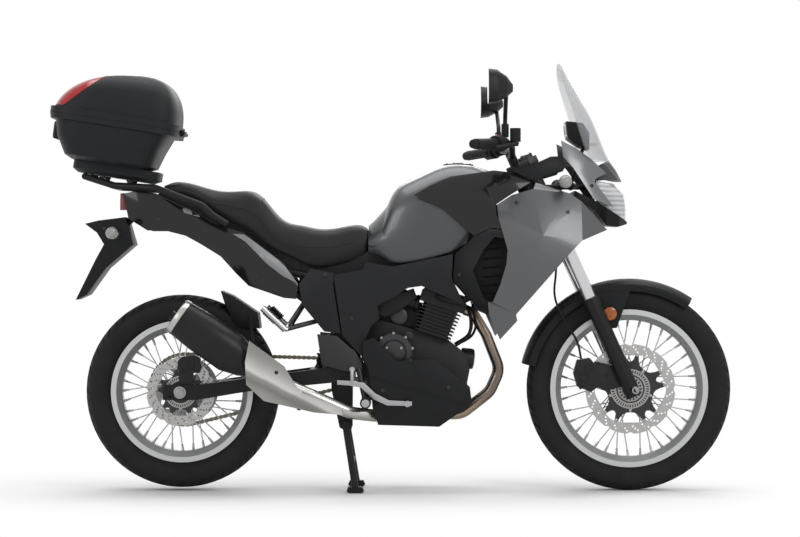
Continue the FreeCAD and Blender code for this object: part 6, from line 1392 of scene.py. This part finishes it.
# %% Fuel filler cap
CAP_SHARE, CAP_SUNK = 0.70, 0.0060
tank_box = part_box("fuel_tank")
cap_x = tank_box[0][0] + (tank_box[1][0] - tank_box[0][0]) * CAP_SHARE
cap_place, cap_normal = hit(surface_of("fuel_tank"), (cap_x, 0, 2), (0, 0, -1))
cap_place -= cap_normal * CAP_SUNK
cap = Pile()
turned_form(cap, cap_place - cap_normal * 0.003, cap_normal,
            [(0.049, -0.008), (0.049, 0.0055), (0.0475, 0.0075), (0.040, 0.0080), (0.039, 0.0065),
             (0.0375, 0.0062), (0.0365, 0.0085), (0.020, 0.0095), (0, 0.0098)], 48)
cross = cap_normal.cross(Vector((0, 1, 0))).normalized()
for angle in turns(6, math.pi / 6):
    spot = cap_place + (cross * math.cos(angle) + Vector((0, 1, 0)) * math.sin(angle)) * 0.0437
    cap.screw(spot + cap_normal * 0.0045, cap_normal, 0.0030, 0.0016)
flap_spot = cap_place + cap_normal * 0.0064
slab(cap, [flap_spot + cross * a + Vector((0, b, 0)) for a, b in
           ((-0.016, 0.009), (0.018, 0.007), (0.018, -0.007), (-0.016, -0.009))], 0.0026)
cap.made("fuel_cap", "frame", dark_bolt, "front_caliper", 35)
print("fuel cap at", [round(v, 3) for v in cap_place])

# %% [markdown]
# ## Meter, seen by the rider
# The instrument panel has a round dial with a ring of marks and a needle, and a grey display
# beside it. All of it lies on the sloping rear face of the meter's housing.

# %% Dial and display
meter_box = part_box("meter")
meter_low = Vector((meter_box[0][0] + 0.006, 0.0, meter_box[0][2] + 0.037))
meter_high = Vector((meter_box[0][0], 0.0, meter_box[1][2]))
up_face = (meter_high - meter_low).normalized()
face_out = Vector((-up_face.z, 0, up_face.x)).normalized()
face_mid = (meter_low + meter_high) / 2 + face_out * 0.0004
sideways = Vector((0, 1, 0))


def on_face(side, up, out=0.0):
    """A place on the meter's rear face, from its middle."""
    return face_mid + sideways * side + up_face * up + face_out * out


def needle(pile, degrees, near, far, half_near, half_far, thick):
    """A mark or a needle on the dial, from one distance of its middle to another."""
    angle = math.radians(degrees)
    heading = sideways * -math.sin(angle) + up_face * math.cos(angle)
    across = heading.cross(face_out).normalized()
    slab(pile, [dial_mid + heading * near - across * half_near,
                dial_mid + heading * near + across * half_near,
                dial_mid + heading * far + across * half_far,
                dial_mid + heading * far - across * half_far], thick)


glass_face, marks = Pile(), Pile()
slab(glass_face, [on_face(side, up) for side, up in
                  ((-0.064, 0), (-0.058, 0.022), (0.058, 0.022), (0.064, 0), (0.060, -0.020),
                   (-0.060, -0.020))], 0.0022)
glass_face.made("meter_glass", "frame", display_glass, "meter")
dial_mid = on_face(0.028, 0.0, 0.0024)
turned_form(marks, dial_mid, face_out, [(0.0198, 0), (0.0198, 0.0008), (0.0188, 0.0010),
                                        (0.0186, 0)], 48)
DIAL_START, DIAL_STEP, DIAL_MARKS = -130, 13, 21
for number in range(DIAL_MARKS):
    near, half = (0.0158, 0.0004) if number % 2 else (0.0140, 0.0006)
    needle(marks, DIAL_START + DIAL_STEP * number, near, 0.0176, half, half, 0.0004)
needle(marks, DIAL_START, -0.004, 0.013, 0.0007, 0.00028, 0.0010)
turned_form(marks, dial_mid, face_out, [(0.0026, 0), (0.0024, 0.0016), (0, 0.0018)], 20)
marks.made("dial_marks", "frame", dial_white, "turn_signals")
panel = Pile()
slab(panel, [on_face(side, up, 0.0022) for side, up in
             ((-0.052, 0.015), (-0.004, 0.015), (-0.004, -0.014), (-0.052, -0.014))], 0.0006)
panel.made("meter_display_panel", "frame", lcd_grey, "meter")
print("meter face made")

# %% [markdown]
# ## Screws and bolts
# Panels are held by small round-headed screws, the engine covers by rings of bolts, and the rear
# axle and the swingarm's pivot by large nuts. Each group is one piece. A screw has its place in the
# side view, and the surface beneath gives its depth and its direction.

# %% Panel screws
PANEL_SCREWS = {
    "tail_cowls": [(-0.754, 0.879), (-0.600, 0.842), (-0.412, 0.683)],
    "side_covers": [(-0.215, 0.700), (-0.130, 0.560), (0.075, 0.640)],
    "shrouds": [(0.395, 0.930), (0.560, 0.900), (0.330, 0.640)],
    "tank_covers": [(0.330, 0.985), (0.150, 0.905)],
    "front_cowl": [(0.640, 0.985)],
    "vent_cowls": [(0.215, 0.700), (0.250, 0.850)],
    "skid_plate": [(-0.030, 0.330), (0.180, 0.340)],
    "rear_fender": [(-0.930, 0.850)],
    "hugger": [(-0.600, 0.560)],
    "muffler_shield": [(-0.365, 0.392)],
}
screws = Pile()
found = 0
for node, spots in PANEL_SCREWS.items():
    surface = surface_of(node)
    for (x, z), side in itertools.product(spots, (-1, 1)):
        place, normal = side_hit(surface, x, z, side)
        if place is not None:
            screws.screw(place, normal, 0.0062, 0.0026, 10)
            found += 1
screws.made("panel_screws", "frame", dark_bolt, "front_caliper", 30)
print("panel screws", found)


# %% Engine cover bolts and filler
def bolt_ring(pile, surface, x, z, radius, count, side, size, start):
    """Bolts in a ring on a cover, each on the surface beneath it."""
    for angle in turns(count, start):
        place, _ = side_hit(surface, x + radius * math.cos(angle), z + radius * math.sin(angle),
                            side)
        if place is not None:
            pile.screw(place, Vector((0, side, 0)), size, size * 0.7)


covers = surface_of("engine_covers", "engine_case")
bolts = Pile()
CLUTCH_COVER, GENERATOR_COVER = (0.006, 0.452), (0.084, 0.402)
bolt_ring(bolts, covers, *CLUTCH_COVER, 0.0600, count=9, side=-1, size=0.0050, start=0.2)
bolt_ring(bolts, covers, *GENERATOR_COVER, 0.0615, count=8, side=1, size=0.0050, start=0.1)
bolt_ring(bolts, covers, *CLUTCH_COVER, 0.0270, count=3, side=-1, size=0.0046, start=0.5)
bolts.made("engine_cover_bolts", "frame", bolt_steel, "rear_brake_disc", 30)

filler = Pile()
filler_place, _ = side_hit(covers, 0.055, 0.505)
turned_form(filler, filler_place, (0, -1, 0),
            [(0.0130, -0.002), (0.0130, 0.007), (0.0122, 0.0088), (0.0070, 0.0092)], 30)
slab(filler, [filler_place + Vector((a, -0.0090, b)) for a, b in
              ((-0.009, -0.0022), (0.009, -0.0022), (0.009, 0.0022), (-0.009, 0.0022))], 0.0038)
filler.made("oil_filler_cap", "frame", cover_black, "engine_covers", 35)
print("engine bolts and filler made")


# %% Axle and pivot nuts, and the front axle's ends
def hexagon_nut(pile, place, axis, radius, height, hole):
    """A hexagon nut on a washer, with the end of its axle or bolt."""
    turned_form(pile, place, axis, [(radius * 1.32, -0.002), (radius * 1.32, 0.0020),
                                    (radius * 1.26, 0.0026), (radius, 0.0026)], 36)
    turned_form(pile, place, axis, [(radius, 0.0024), (radius * 1.06, 0.0034),
                                    (radius * 1.06, height * 0.85), (radius * 0.96, height)], 6)
    turned_form(pile, place, axis,
                [(hole, height * 0.9), (hole, height + 0.003), (hole * 0.85, height + 0.004),
                 (hole * 0.55, height + 0.004), (hole * 0.52, height - 0.001)], 30)


SWINGARM_OUTSIDE = 0.1232
PIVOT = (-0.156, 0.430)
nuts = Pile()
for side in (-1, 1):
    hexagon_nut(nuts, (REAR_AXLE.x, side * SWINGARM_OUTSIDE, REAR_AXLE.z), (0, side, 0),
                radius=0.0150, height=0.010, hole=0.0085)
    place, _ = side_hit(surface_of("main_frame"), *PIVOT, side)
    hexagon_nut(nuts, place, (0, side, 0), radius=0.0130, height=0.008, hole=0.0070)
nuts.made("axle_nuts", "frame", bolt_steel, "rear_brake_disc", 30)

fork_surface = surface_of("fork_sliders")
fork_bolts = Pile()
for side in (-1, 1):
    place, _ = side_hit(fork_surface, FRONT_AXLE.x + 0.012, FRONT_AXLE.z - 0.002, side)
    turned_form(fork_bolts, place - Vector((0, side * 0.002, 0)), (0, side, 0),
                [(0.0125, 0), (0.0125, 0.0035), (0.0115, 0.0048), (0.0078, 0.0048),
                 (0.0076, 0.0020)], 30)
fork_bolts.made("front_axle_ends", "steering", bolt_steel, "front_brake_disc", 30)
print("nuts made")

# %% [markdown]
# ## Foot rubbers
# The rider's pegs and the passenger's folded ones wear ribbed rubber, so that a wet boot doesn't
# slip. The rubbers are short turned sleeves with rings, pulled over the CAD pegs.

# %% Peg rubbers
PEG_FOOT = Vector((-0.08448, 0.153, 0.29284))
PEG_LENGTH, PEG_RADIUS = 0.08002, 0.0139
FOLDED_FOOT, FOLDED_TOP = Vector((-0.3408, 0.1557, 0.5249)), Vector((-0.4098, 0.1668, 0.5915))
FOLDED_RADIUS = 0.0112
RIB_PITCH = 0.0067


def sleeve(pile, foot, axis, length, radius):
    """A ribbed rubber sleeve over a round peg."""
    profile = [(radius * 0.6, 0)]
    ribs = round(length / RIB_PITCH)
    for rib in range(ribs):
        base = length * rib / ribs
        profile += [(radius + 0.0012, base + 0.0004), (radius + 0.0036, base + 0.0014),
                    (radius + 0.0036, base + length / ribs * 0.55),
                    (radius + 0.0012, base + length / ribs * 0.75)]
    profile += [(radius + 0.0012, length), (radius * 0.6, length + 0.0004)]
    turned_form(pile, foot, axis, profile)


rubbers = Pile()
for side in (-1, 1):
    mirror = Vector((1, side, 1))
    sleeve(rubbers, PEG_FOOT * mirror, (0, side, 0), PEG_LENGTH, PEG_RADIUS)
    folded = (FOLDED_TOP - FOLDED_FOOT) * mirror
    sleeve(rubbers, FOLDED_FOOT * mirror + folded * 0.42, folded, folded.length * 0.50,
           FOLDED_RADIUS)
rubbers.made("peg_rubbers", "frame", grip_rubber, "grips", 30)
print("rubbers made")

# %% [markdown]
# ## Radiator
# Behind the shrouds stands a radiator: flat water tubes with thin fins between them. Only its front
# can be seen, past the wheel, and its frame is in the CAD part.

# %% Radiator tubes and fins
CORE_FRONT, CORE_HALF, CORE_LOW, CORE_HIGH = 0.298, 0.1207, 0.608, 0.801
TUBES, TEETH = 16, 84
TUBE_HALF, FIN_HALF, FIN_LEAN = 0.0011, 0.0002, 0.0009
fins = Pile()
step = (CORE_HIGH - CORE_LOW) / TUBES
for number in range(TUBES):
    z = CORE_LOW + step * (number + 0.5)
    slab(fins, [(CORE_FRONT - 0.0005, y, z + up) for y, up in
                ((-CORE_HALF, -TUBE_HALF), (CORE_HALF, -TUBE_HALF), (CORE_HALF, TUBE_HALF),
                 (-CORE_HALF, TUBE_HALF))], 0.0024)
    for tooth in range(TEETH if number < TUBES - 1 else 0):
        y = -CORE_HALF + 2 * CORE_HALF * (tooth + 0.5) / TEETH
        lean = FIN_LEAN if tooth % 2 else -FIN_LEAN
        base, top = z + TUBE_HALF, z + step - TUBE_HALF
        slab(fins, [(CORE_FRONT - 0.0004, y + across, height) for across, height in
                    ((-FIN_HALF - lean, base), (FIN_HALF - lean, base), (FIN_HALF + lean, top),
                     (-FIN_HALF + lean, top))], 0.0012)
fins.made("radiator_fins", "frame", radiator_fin, "radiator", 30)
print("radiator fins", len(fins.faces))

# %% [markdown]
# ## Bar fittings
# The switch housings carry small buttons: a red stop switch and a start button on the right, and
# signal and horn buttons on the left. A round cap closes each fork tube at the upper clamp.

# %% Switch buttons and fork caps
SWITCH_OUT, HIGHEST_BUTTON = 0.262, 1.135
bar_surface = surface_of("grips")


def points_near(node, y, reach):
    """A CAD part's points within reach of an upright plane along the machine."""
    return [v.co for v in frame["nodes"][node].data.vertices if abs(v.co.y - y) < reach]


buttons, red_button = Pile(), Pile()
for target, side, rise, size in ((red_button, -1, 0.010, 0.0060), (buttons, -1, -0.008, 0.0070),
                                 (buttons, 1, 0.011, 0.0055), (buttons, 1, -0.002, 0.0075),
                                 (buttons, 1, -0.015, 0.0050)):
    heights = [point.z for point in points_near("grips", side * SWITCH_OUT, 0.02)]
    z = min((min(heights) + max(heights)) / 2, HIGHEST_BUTTON) + rise
    place, _ = hit(bar_surface, (-0.2, side * SWITCH_OUT, z), (1, 0, 0))
    if place is not None:
        turned_form(target, place + Vector((0.002, 0, 0)), (-1, 0, 0),
                    [(size, 0), (size, 0.0042), (size * 0.85, 0.0054), (size * 0.3, 0.0050)], 20)
buttons.made("switch_buttons", "steering", soft_plastic, "grips", 35)
red_button.made("stop_switch", "steering", red_lens, "tail_lamp", 35)

STEER_AXIS = Vector((-0.41151, 0, 0.91140)).normalized()
FORK_OUT, TUBE_REACH = 0.105, 0.022
clamps = Pile()
for side in (-1, 1):
    near = points_near("fork_tubes", side * FORK_OUT, TUBE_REACH)
    far = max(point.dot(STEER_AXIS) for point in near)
    cap_points = [point for point in near if point.dot(STEER_AXIS) > far - 0.001]
    middle = sum(cap_points, Vector()) / len(cap_points)
    middle.y = side * FORK_OUT
    turned_form(clamps, middle, STEER_AXIS,
                [(0.0185, -0.001), (0.0185, 0.002), (0.0170, 0.0035), (0.0125, 0.0035),
                 (0.0120, 0.0005)], 30)
clamps.made("fork_caps", "steering", bolt_steel, "fork_tubes", 30)
print("bar fittings made")

# %% [markdown]
# ## Spoke nipples
# Each spoke is pulled tight by a small plated nipple at the rim. The CAD spokes run straight into
# the rim, so a short turned sleeve goes over the outer end of each one, and a small head over the
# end at the hub.

# %% Spoke nipples and heads
SPOKES = 36
HUB_REACH = 0.033
SPOKE_LEAN = math.radians(70)


def spoke_line(axle, number, spacing, rim_radius):
    """Both ends of one spoke: at the hub's flange and at the rim."""
    flange = 1 if number % 2 else -1
    lean = 1 if number % 4 < 2 else -1
    tip = 2 * math.pi * number / SPOKES
    return [axle + Vector((radius * math.cos(angle), side, radius * math.sin(angle)))
            for radius, angle, side in
            ((HUB_REACH, tip + lean * SPOKE_LEAN, flange * (spacing / 2 + 0.0025)),
             (rim_radius, tip, flange * 0.004))]


def spoke_nipples(end, axle, spacing, rim_radius):
    """A sleeve at the rim and a head at the hub for every spoke."""
    pile = Pile()
    for number in range(SPOKES):
        foot, tip = spoke_line(axle, number, spacing, rim_radius)
        heading = (tip - foot).normalized()
        turned_form(pile, tip - heading * 0.024, heading,
                    [(0.0021, 0), (0.0034, 0.0006), (0.0034, 0.010), (0.0042, 0.0115),
                     (0.0042, 0.022)], 10)
        turned_form(pile, foot + heading * 0.003, heading,
                    [(0.0020, 0), (0.0029, 0.0006), (0.0026, 0.006), (0.0020, 0.010)], 10)
    pile.made(end + "_spoke_nipples", end + "_wheel", bolt_steel, end + "_brake_disc", 35)


spoke_nipples("front", FRONT_AXLE, spacing=0.066, rim_radius=0.223)
spoke_nipples("rear", REAR_AXLE, spacing=0.076, rim_radius=0.197)
print("spoke nipples made")

# %% [markdown]
# ## Behind the shrouds
# Through the openings beside the engine one sees the radiator's side ducts, the throttle bodies,
# a coolant hose, the starter motor, the engine's hangers, the oil filter, breather hoses and the
# plug leads. They fill the gaps with dark depth. The hoses and leads are held at both ends, and
# everything rides on the frame.

# %% Ducts, throttle bodies, hoses, starter, hangers, oil filter and leads
DUCT_OUTLINE = ((0.256, 0.830), (0.330, 0.850), (0.374, 0.806), (0.376, 0.700), (0.350, 0.622),
                (0.304, 0.572), (0.262, 0.590))
DUCT_SIDE = 0.150
ducts = Pile()
for side in (-1, 1):
    side_slab(ducts, DUCT_OUTLINE, DUCT_SIDE, 0.003, side)
    for number in range(7):
        low = 0.628 + number * 0.029
        louvre = [(x, side * (DUCT_SIDE + out), low + up) for x, out, up in
                  ((0.290, 0.0005, 0.0), (0.352, 0.0005, 0.006), (0.352, 0.0075, 0.013),
                   (0.290, 0.0075, 0.007))]
        slab(ducts, louvre if side > 0 else louvre[::-1], 0.0022)
ducts.made("radiator_ducts", "frame", panel_plastic, "vent_cowls", 30)

CYLINDER_OUT = 0.048
intake = Pile()
for y in (-CYLINDER_OUT, CYLINDER_OUT):
    root, heading = Vector((0.086, y, 0.606)), Vector((-1.0, 0, 0.30))
    turned_form(intake, root, heading,
                [(0.027, 0), (0.027, 0.010), (0.024, 0.012), (0.024, 0.034), (0.031, 0.036),
                 (0.031, 0.066), (0.026, 0.068), (0.026, 0.088), (0.029, 0.090), (0.029, 0.110)],
                26)
    turned_form(intake, root + Vector((-0.048, -0.034, 0.014)), (0, 1, 0),
                [(0.0130, 0), (0.0130, 0.010), (0.0095, 0.012), (0.0095, 0.020)], 20)
intake.made("throttle_bodies", "frame", engine_black, "engine_case", 32)

hose_start, hose_end = Vector((0.150, -0.098, 0.632)), Vector((0.268, -0.118, 0.640))
coolant = Pile()
route = smooth_path([hose_start, hose_start + Vector((0.010, -0.022, -0.004)),
                     (hose_start + hose_end) / 2 + Vector((0, -0.026, -0.022)),
                     hose_end + Vector((-0.020, -0.004, -0.012)), hose_end], 24)
route_tube(coolant, route, 0.0115, 16)
for place, heading in ((hose_start, Vector((0.3, -0.9, -0.1))),
                       (hose_end, Vector((-0.8, -0.1, -0.3)))):
    turned_form(coolant, place + heading.normalized() * 0.008, heading,
                [(0.0125, 0), (0.0133, 0.001), (0.0133, 0.007), (0.0125, 0.008)], 24)
coolant.made("coolant_hose", "frame", grip_rubber, "grips", 40)

starter = Pile()
turned_form(starter, (0.022, -0.062, 0.566), (0, 1, 0),
            [(0.018, 0), (0.027, 0.003), (0.029, 0.006), (0.029, 0.062), (0.031, 0.064),
             (0.031, 0.078), (0.026, 0.090), (0.016, 0.094)], 28)
turned_form(starter, (0.022, -0.050, 0.590), (0, 0, 1),
            [(0.0060, 0), (0.0060, 0.010), (0.0040, 0.011), (0.0040, 0.016)], 12)
starter.made("starter_motor", "frame", cover_black, "engine_covers", 32)

HANGER_OUTLINE = ((-0.055, 0.614), (0.070, 0.655), (0.080, 0.627), (0.033, 0.590),
                  (-0.023, 0.563), (-0.046, 0.572))
BOX_OUTLINE = ((-0.050, 0.545), (0.085, 0.518), (0.100, 0.600), (0.060, 0.640), (-0.040, 0.625))
JACKET_OUTLINE = ((0.087, 0.530), (0.180, 0.497), (0.214, 0.580), (0.104, 0.622))
hanger = Pile()
for side in (-1, 1):
    side_slab(hanger, HANGER_OUTLINE, 0.086, 0.006, side)
    hanger.screw(Vector((-0.034, side * 0.092, 0.592)), Vector((0, side, 0)), 0.0065, 0.004)
side_slab(hanger, BOX_OUTLINE, 0.030, 0.060, 1)
side_slab(hanger, JACKET_OUTLINE, 0.078, 0.156, 1)
hanger.made("engine_hangers", "frame", frame_paint, "main_frame", 30)

filter_pile = Pile()
turned_form(filter_pile, (0.222, -0.030, 0.430), (1, 0, -0.1),
            [(0.030, 0), (0.034, 0.004), (0.034, 0.034), (0.031, 0.042), (0.018, 0.045),
             (0, 0.045)], 30)
filter_pile.made("oil_filter", "frame", engine_black, "engine_case", 32)

front_hoses = Pile()
for y, bulge, radius in ((-0.075, 0.030, 0.0055), (-0.052, 0.046, 0.0042), (0.060, 0.036, 0.0055)):
    route = smooth_path([Vector((0.206, y, 0.612)), Vector((0.226 + bulge * 0.6, y * 1.05, 0.590)),
                         Vector((0.224 + bulge, y * 1.1, 0.540)),
                         Vector((0.222 + bulge * 0.7, y, 0.500)), Vector((0.205, y * 0.9, 0.472))],
                        14)
    route_tube(front_hoses, route, radius, 12)
front_hoses.made("breather_hoses", "frame", grip_rubber, "grips", 40)

leads = Pile()
for y in (-CYLINDER_OUT, CYLINDER_OUT):
    cap_foot = Vector((0.170, y, 0.664))
    turned_form(leads, cap_foot, (0.15, 0, 1),
                [(0.0130, 0), (0.0130, 0.008), (0.0100, 0.012), (0.0100, 0.030), (0.0060, 0.034)],
                18)
    route_tube(leads, smooth_path([cap_foot + Vector((0.004, 0, 0.030)),
                                   cap_foot + Vector((0.000, y * 0.10, 0.060)),
                                   cap_foot + Vector((-0.040, y * 0.10, 0.085)),
                                   cap_foot + Vector((-0.080, 0, 0.090))], 14), 0.0036, 10)
leads.made("plug_caps_and_leads", "frame", grip_rubber, "grips", 40)
print("engine bay filled")

# %% [markdown]
# ## Inner panels under the seat and behind the tank
# Between the seat, the tank and the side covers a real machine shows dark inner panels, not
# daylight. They are flat plates inside the outer panels. Where the tank narrows towards the seat,
# a painted rear cover carries its line down to the seat's front edge.

# %% Inner panels and the tank's rear cover
UNDER_TANK = ((-0.300, 0.640), (-0.300, 0.752), (-0.200, 0.737), (-0.100, 0.760),
              (-0.060, 0.790), (0.000, 0.780), (0.170, 0.800), (0.170, 0.700), (-0.100, 0.650))
UNDER_SEAT = ((-0.770, 0.950), (-0.735, 0.975), (-0.664, 0.970), (-0.596, 0.932),
              (-0.512, 0.895), (-0.462, 0.855), (-0.378, 0.795), (-0.297, 0.760),
              (-0.297, 0.690), (-0.340, 0.700), (-0.470, 0.810), (-0.546, 0.840),
              (-0.664, 0.885), (-0.760, 0.935))
inner_panels = Pile()
for outline, half in ((UNDER_TANK, 0.070), (UNDER_SEAT, 0.075)):
    for side in (-1, 1):
        side_slab(inner_panels, outline[::-1], half, 0.003, side)
inner_panels.made("inner_side_panels", "frame", soft_plastic, "side_covers", 30)

# Each row: along the machine, half width, bottom, height of the widest place, top.
REAR_COVER = ((-0.0765, 0.0830, 0.7662, 0.797, 0.8590), (-0.0600, 0.0965, 0.7640, 0.797, 0.8740),
              (-0.0400, 0.1088, 0.7600, 0.801, 0.8950), (-0.0200, 0.1192, 0.7490, 0.808, 0.9180),
              (0.0000, 0.1250, 0.7430, 0.818, 0.9540))
rear_cover = Pile()
rear_cover.rings([[Vector((x, half * math.cos(a), wide_at + math.sin(a) *
                           (top - wide_at if math.sin(a) > 0 else wide_at - low)))
                   for a in turns(48)] for x, half, low, wide_at, top in REAR_COVER])
# The cover wears the tank's darker copy of the silver, which is painted shade.
rear_cover.made("tank_rear_cover", "frame", tank_paint_painted_shade, "fuel_tank", 50)
print("inner panels made")

# %% [markdown]
# ## Caliper pistons and carrier hooks
# The brake calipers show round piston housings and their bolts. Under the case, six bolted feet
# hook its base to the carrier. A ray from below finds the underside for each of them.

# %% Caliper details
BOLT_AT_MOST = 0.008


def caliper_details(name, node, spots, body):
    """Round piston housings and bolts on a caliper's outer face."""
    surface = surface_of(node)
    pile = Pile()
    for x, z, radius in spots:
        place, _ = side_hit(surface, x, z)
        if place is None:
            continue
        if radius > BOLT_AT_MOST:
            turned_form(pile, place + Vector((0, 0.001, 0)), (0, -1, 0),
                        [(radius, 0), (radius, 0.0024), (radius * 0.90, 0.0040),
                         (radius * 0.55, 0.0040), (radius * 0.5, 0.0026), (0, 0.0026)], 28)
        else:
            pile.screw(place, Vector((0, -1, 0)), radius, radius * 0.6)
    pile.made(name, body, caliper_black, "front_caliper", 32)


caliper_details("front_caliper_details", "front_caliper",
                [(0.634, 0.402, 0.0150), (0.618, 0.368, 0.0150), (0.664, 0.414, 0.0052),
                 (0.606, 0.336, 0.0052), (0.690, 0.378, 0.0060)], "steering")
caliper_details("rear_caliper_details", "rear_caliper",
                [(-0.650, 0.410, 0.0150), (-0.630, 0.388, 0.0050), (-0.672, 0.392, 0.0050)],
                "frame")

# %% Case hooks
base_surface = surface_of("case_base")
hooks = Pile()
for x, y in itertools.product((-0.975, -0.935, -0.848), (-0.074, 0.074)):
    place, _ = hit(base_surface, (x, y, 0.5), (0, 0, 1))
    if place is not None:
        turned_form(hooks, place + Vector((0, 0, 0.001)), (0, 0, -1),
                    [(0.0100, 0), (0.0100, 0.006), (0.0075, 0.008), (0.0075, 0.012),
                     (0.0090, 0.013), (0.0090, 0.016), (0.0060, 0.017)], 20)
        hooks.screw(place + Vector((0, 0, -0.015)), Vector((0, 0, -1)), 0.0042, 0.0030)
hooks.made("carrier_hooks", "frame", dark_bolt, "front_caliper", 32)
print("calipers and hooks detailed")

# %% [markdown]
# ## Floor and light
# The machine stands in a white studio under large soft lamps. The floor takes its soft shadow near
# the wheels and fades to plain white further off, so no horizon shows. A mask by distance from the
# machine blends the two.

# %% Floor, backdrop and lamps
floor_white = Finish("studio_floor", (0.86, 0.86, 0.86), 0.7)
FLOOR_HALF = 40.0
floor_mesh = bpy.data.meshes.new("studio_floor")
floor_mesh.from_pydata([(-FLOOR_HALF, -FLOOR_HALF, 0), (FLOOR_HALF, -FLOOR_HALF, 0),
                        (FLOOR_HALF, FLOOR_HALF, 0), (-FLOOR_HALF, FLOOR_HALF, 0)], [],
                       [(0, 1, 2, 3)])
floor_mesh.materials.append(floor_white.material)
floor = bpy.data.objects.new("studio_floor", floor_mesh)
bpy.context.scene.collection.objects.link(floor)
ahead = floor_white.part("X")
beside = floor_white.part("Y")
away = (ahead * ahead * 0.6 + beside * beside * 2.0).apply("SQRT")
far = floor_white.soft_step(away, 0.55, 1.5)
white_light = floor_white.node("ShaderNodeEmission", {}, {"Color": (1, 1, 1, 1), "Strength": 1.0})
shaded_floor = Wire(floor_white, floor_white.shader.outputs[0])
blended = floor_white.node("ShaderNodeMixShader", {}, {0: far, 1: shaded_floor, 2: white_light})
floor_white.tree.links.new(blended.socket,
                           floor_white.tree.nodes["Material Output"].inputs["Surface"])

SKY_STRENGTH = 0.42
sky = bpy.data.worlds.new("studio")
sky.use_nodes = True
bpy.context.scene.world = sky
nodes = sky.node_tree.nodes
join = sky.node_tree.links.new
ray = nodes.new("ShaderNodeLightPath")
seen = ray.outputs["Is Camera Ray"]
for kind in ("Is Glossy Ray", "Is Transmission Ray"):
    either = nodes.new("ShaderNodeMath")
    either.operation = "MAXIMUM"
    join(seen, either.inputs[0])
    join(ray.outputs[kind], either.inputs[1])
    seen = either.outputs[0]
strength = nodes.new("ShaderNodeMapRange")
join(seen, strength.inputs["Value"])
strength.inputs["To Min"].default_value = SKY_STRENGTH
strength.inputs["To Max"].default_value = 1.0
join(strength.outputs[0], nodes["Background"].inputs["Strength"])
nodes["Background"].inputs["Color"].default_value = (1, 1, 1, 1)

LAMPS = {
    "overhead_box": ((0.0, 0.2, 3.4), (0, 0, 0), (3.6, 2.2), 78),
    "front_quarter_box": ((2.6, -3.4, 2.6), (0.0, 0, 0.6), (2.2, 1.8), 62),
    "rear_quarter_box": ((-3.2, -2.8, 2.2), (0.0, 0, 0.6), (1.8, 1.6), 34),
    "far_side_box": ((0.6, 3.4, 2.6), (0.0, 0, 0.6), (3.0, 1.4), 36),
}
for name, (place, target, size, power) in LAMPS.items():
    lamp = bpy.data.lights.new(name, "AREA")
    lamp.shape = "RECTANGLE"
    lamp.size, lamp.size_y = size
    lamp.energy = power
    holder = bpy.data.objects.new(name, lamp)
    holder.location = place
    holder.rotation_euler = (Vector(target) - Vector(place)).to_track_quat("-Z", "Y").to_euler()
    bpy.context.scene.collection.objects.link(holder)
print("lamps", sorted(LAMPS))

# %% [markdown]
# ## Camera
# The photograph looks straight at the machine's right side from about eight metres, at the height
# of the tank. Its picture is 2.6 metres wide at the machine's middle, which gives the lens.

# %% Camera at the photograph's angle
CAMERA_DISTANCE = 8.0
PICTURE_WIDTH = 2.606
camera = bpy.data.cameras.new("camera")
camera.sensor_width = 36.0
camera.lens = camera.sensor_width * CAMERA_DISTANCE / PICTURE_WIDTH
viewer = bpy.data.objects.new("camera", camera)
viewer.location = (0.0252, -CAMERA_DISTANCE, 0.720)
viewer.rotation_euler = (math.pi / 2, 0, 0)
bpy.context.scene.collection.objects.link(viewer)
bpy.context.scene.camera = viewer
bpy.context.scene.view_settings.view_transform = "Standard"
print("lens", round(camera.lens, 1), "mm")
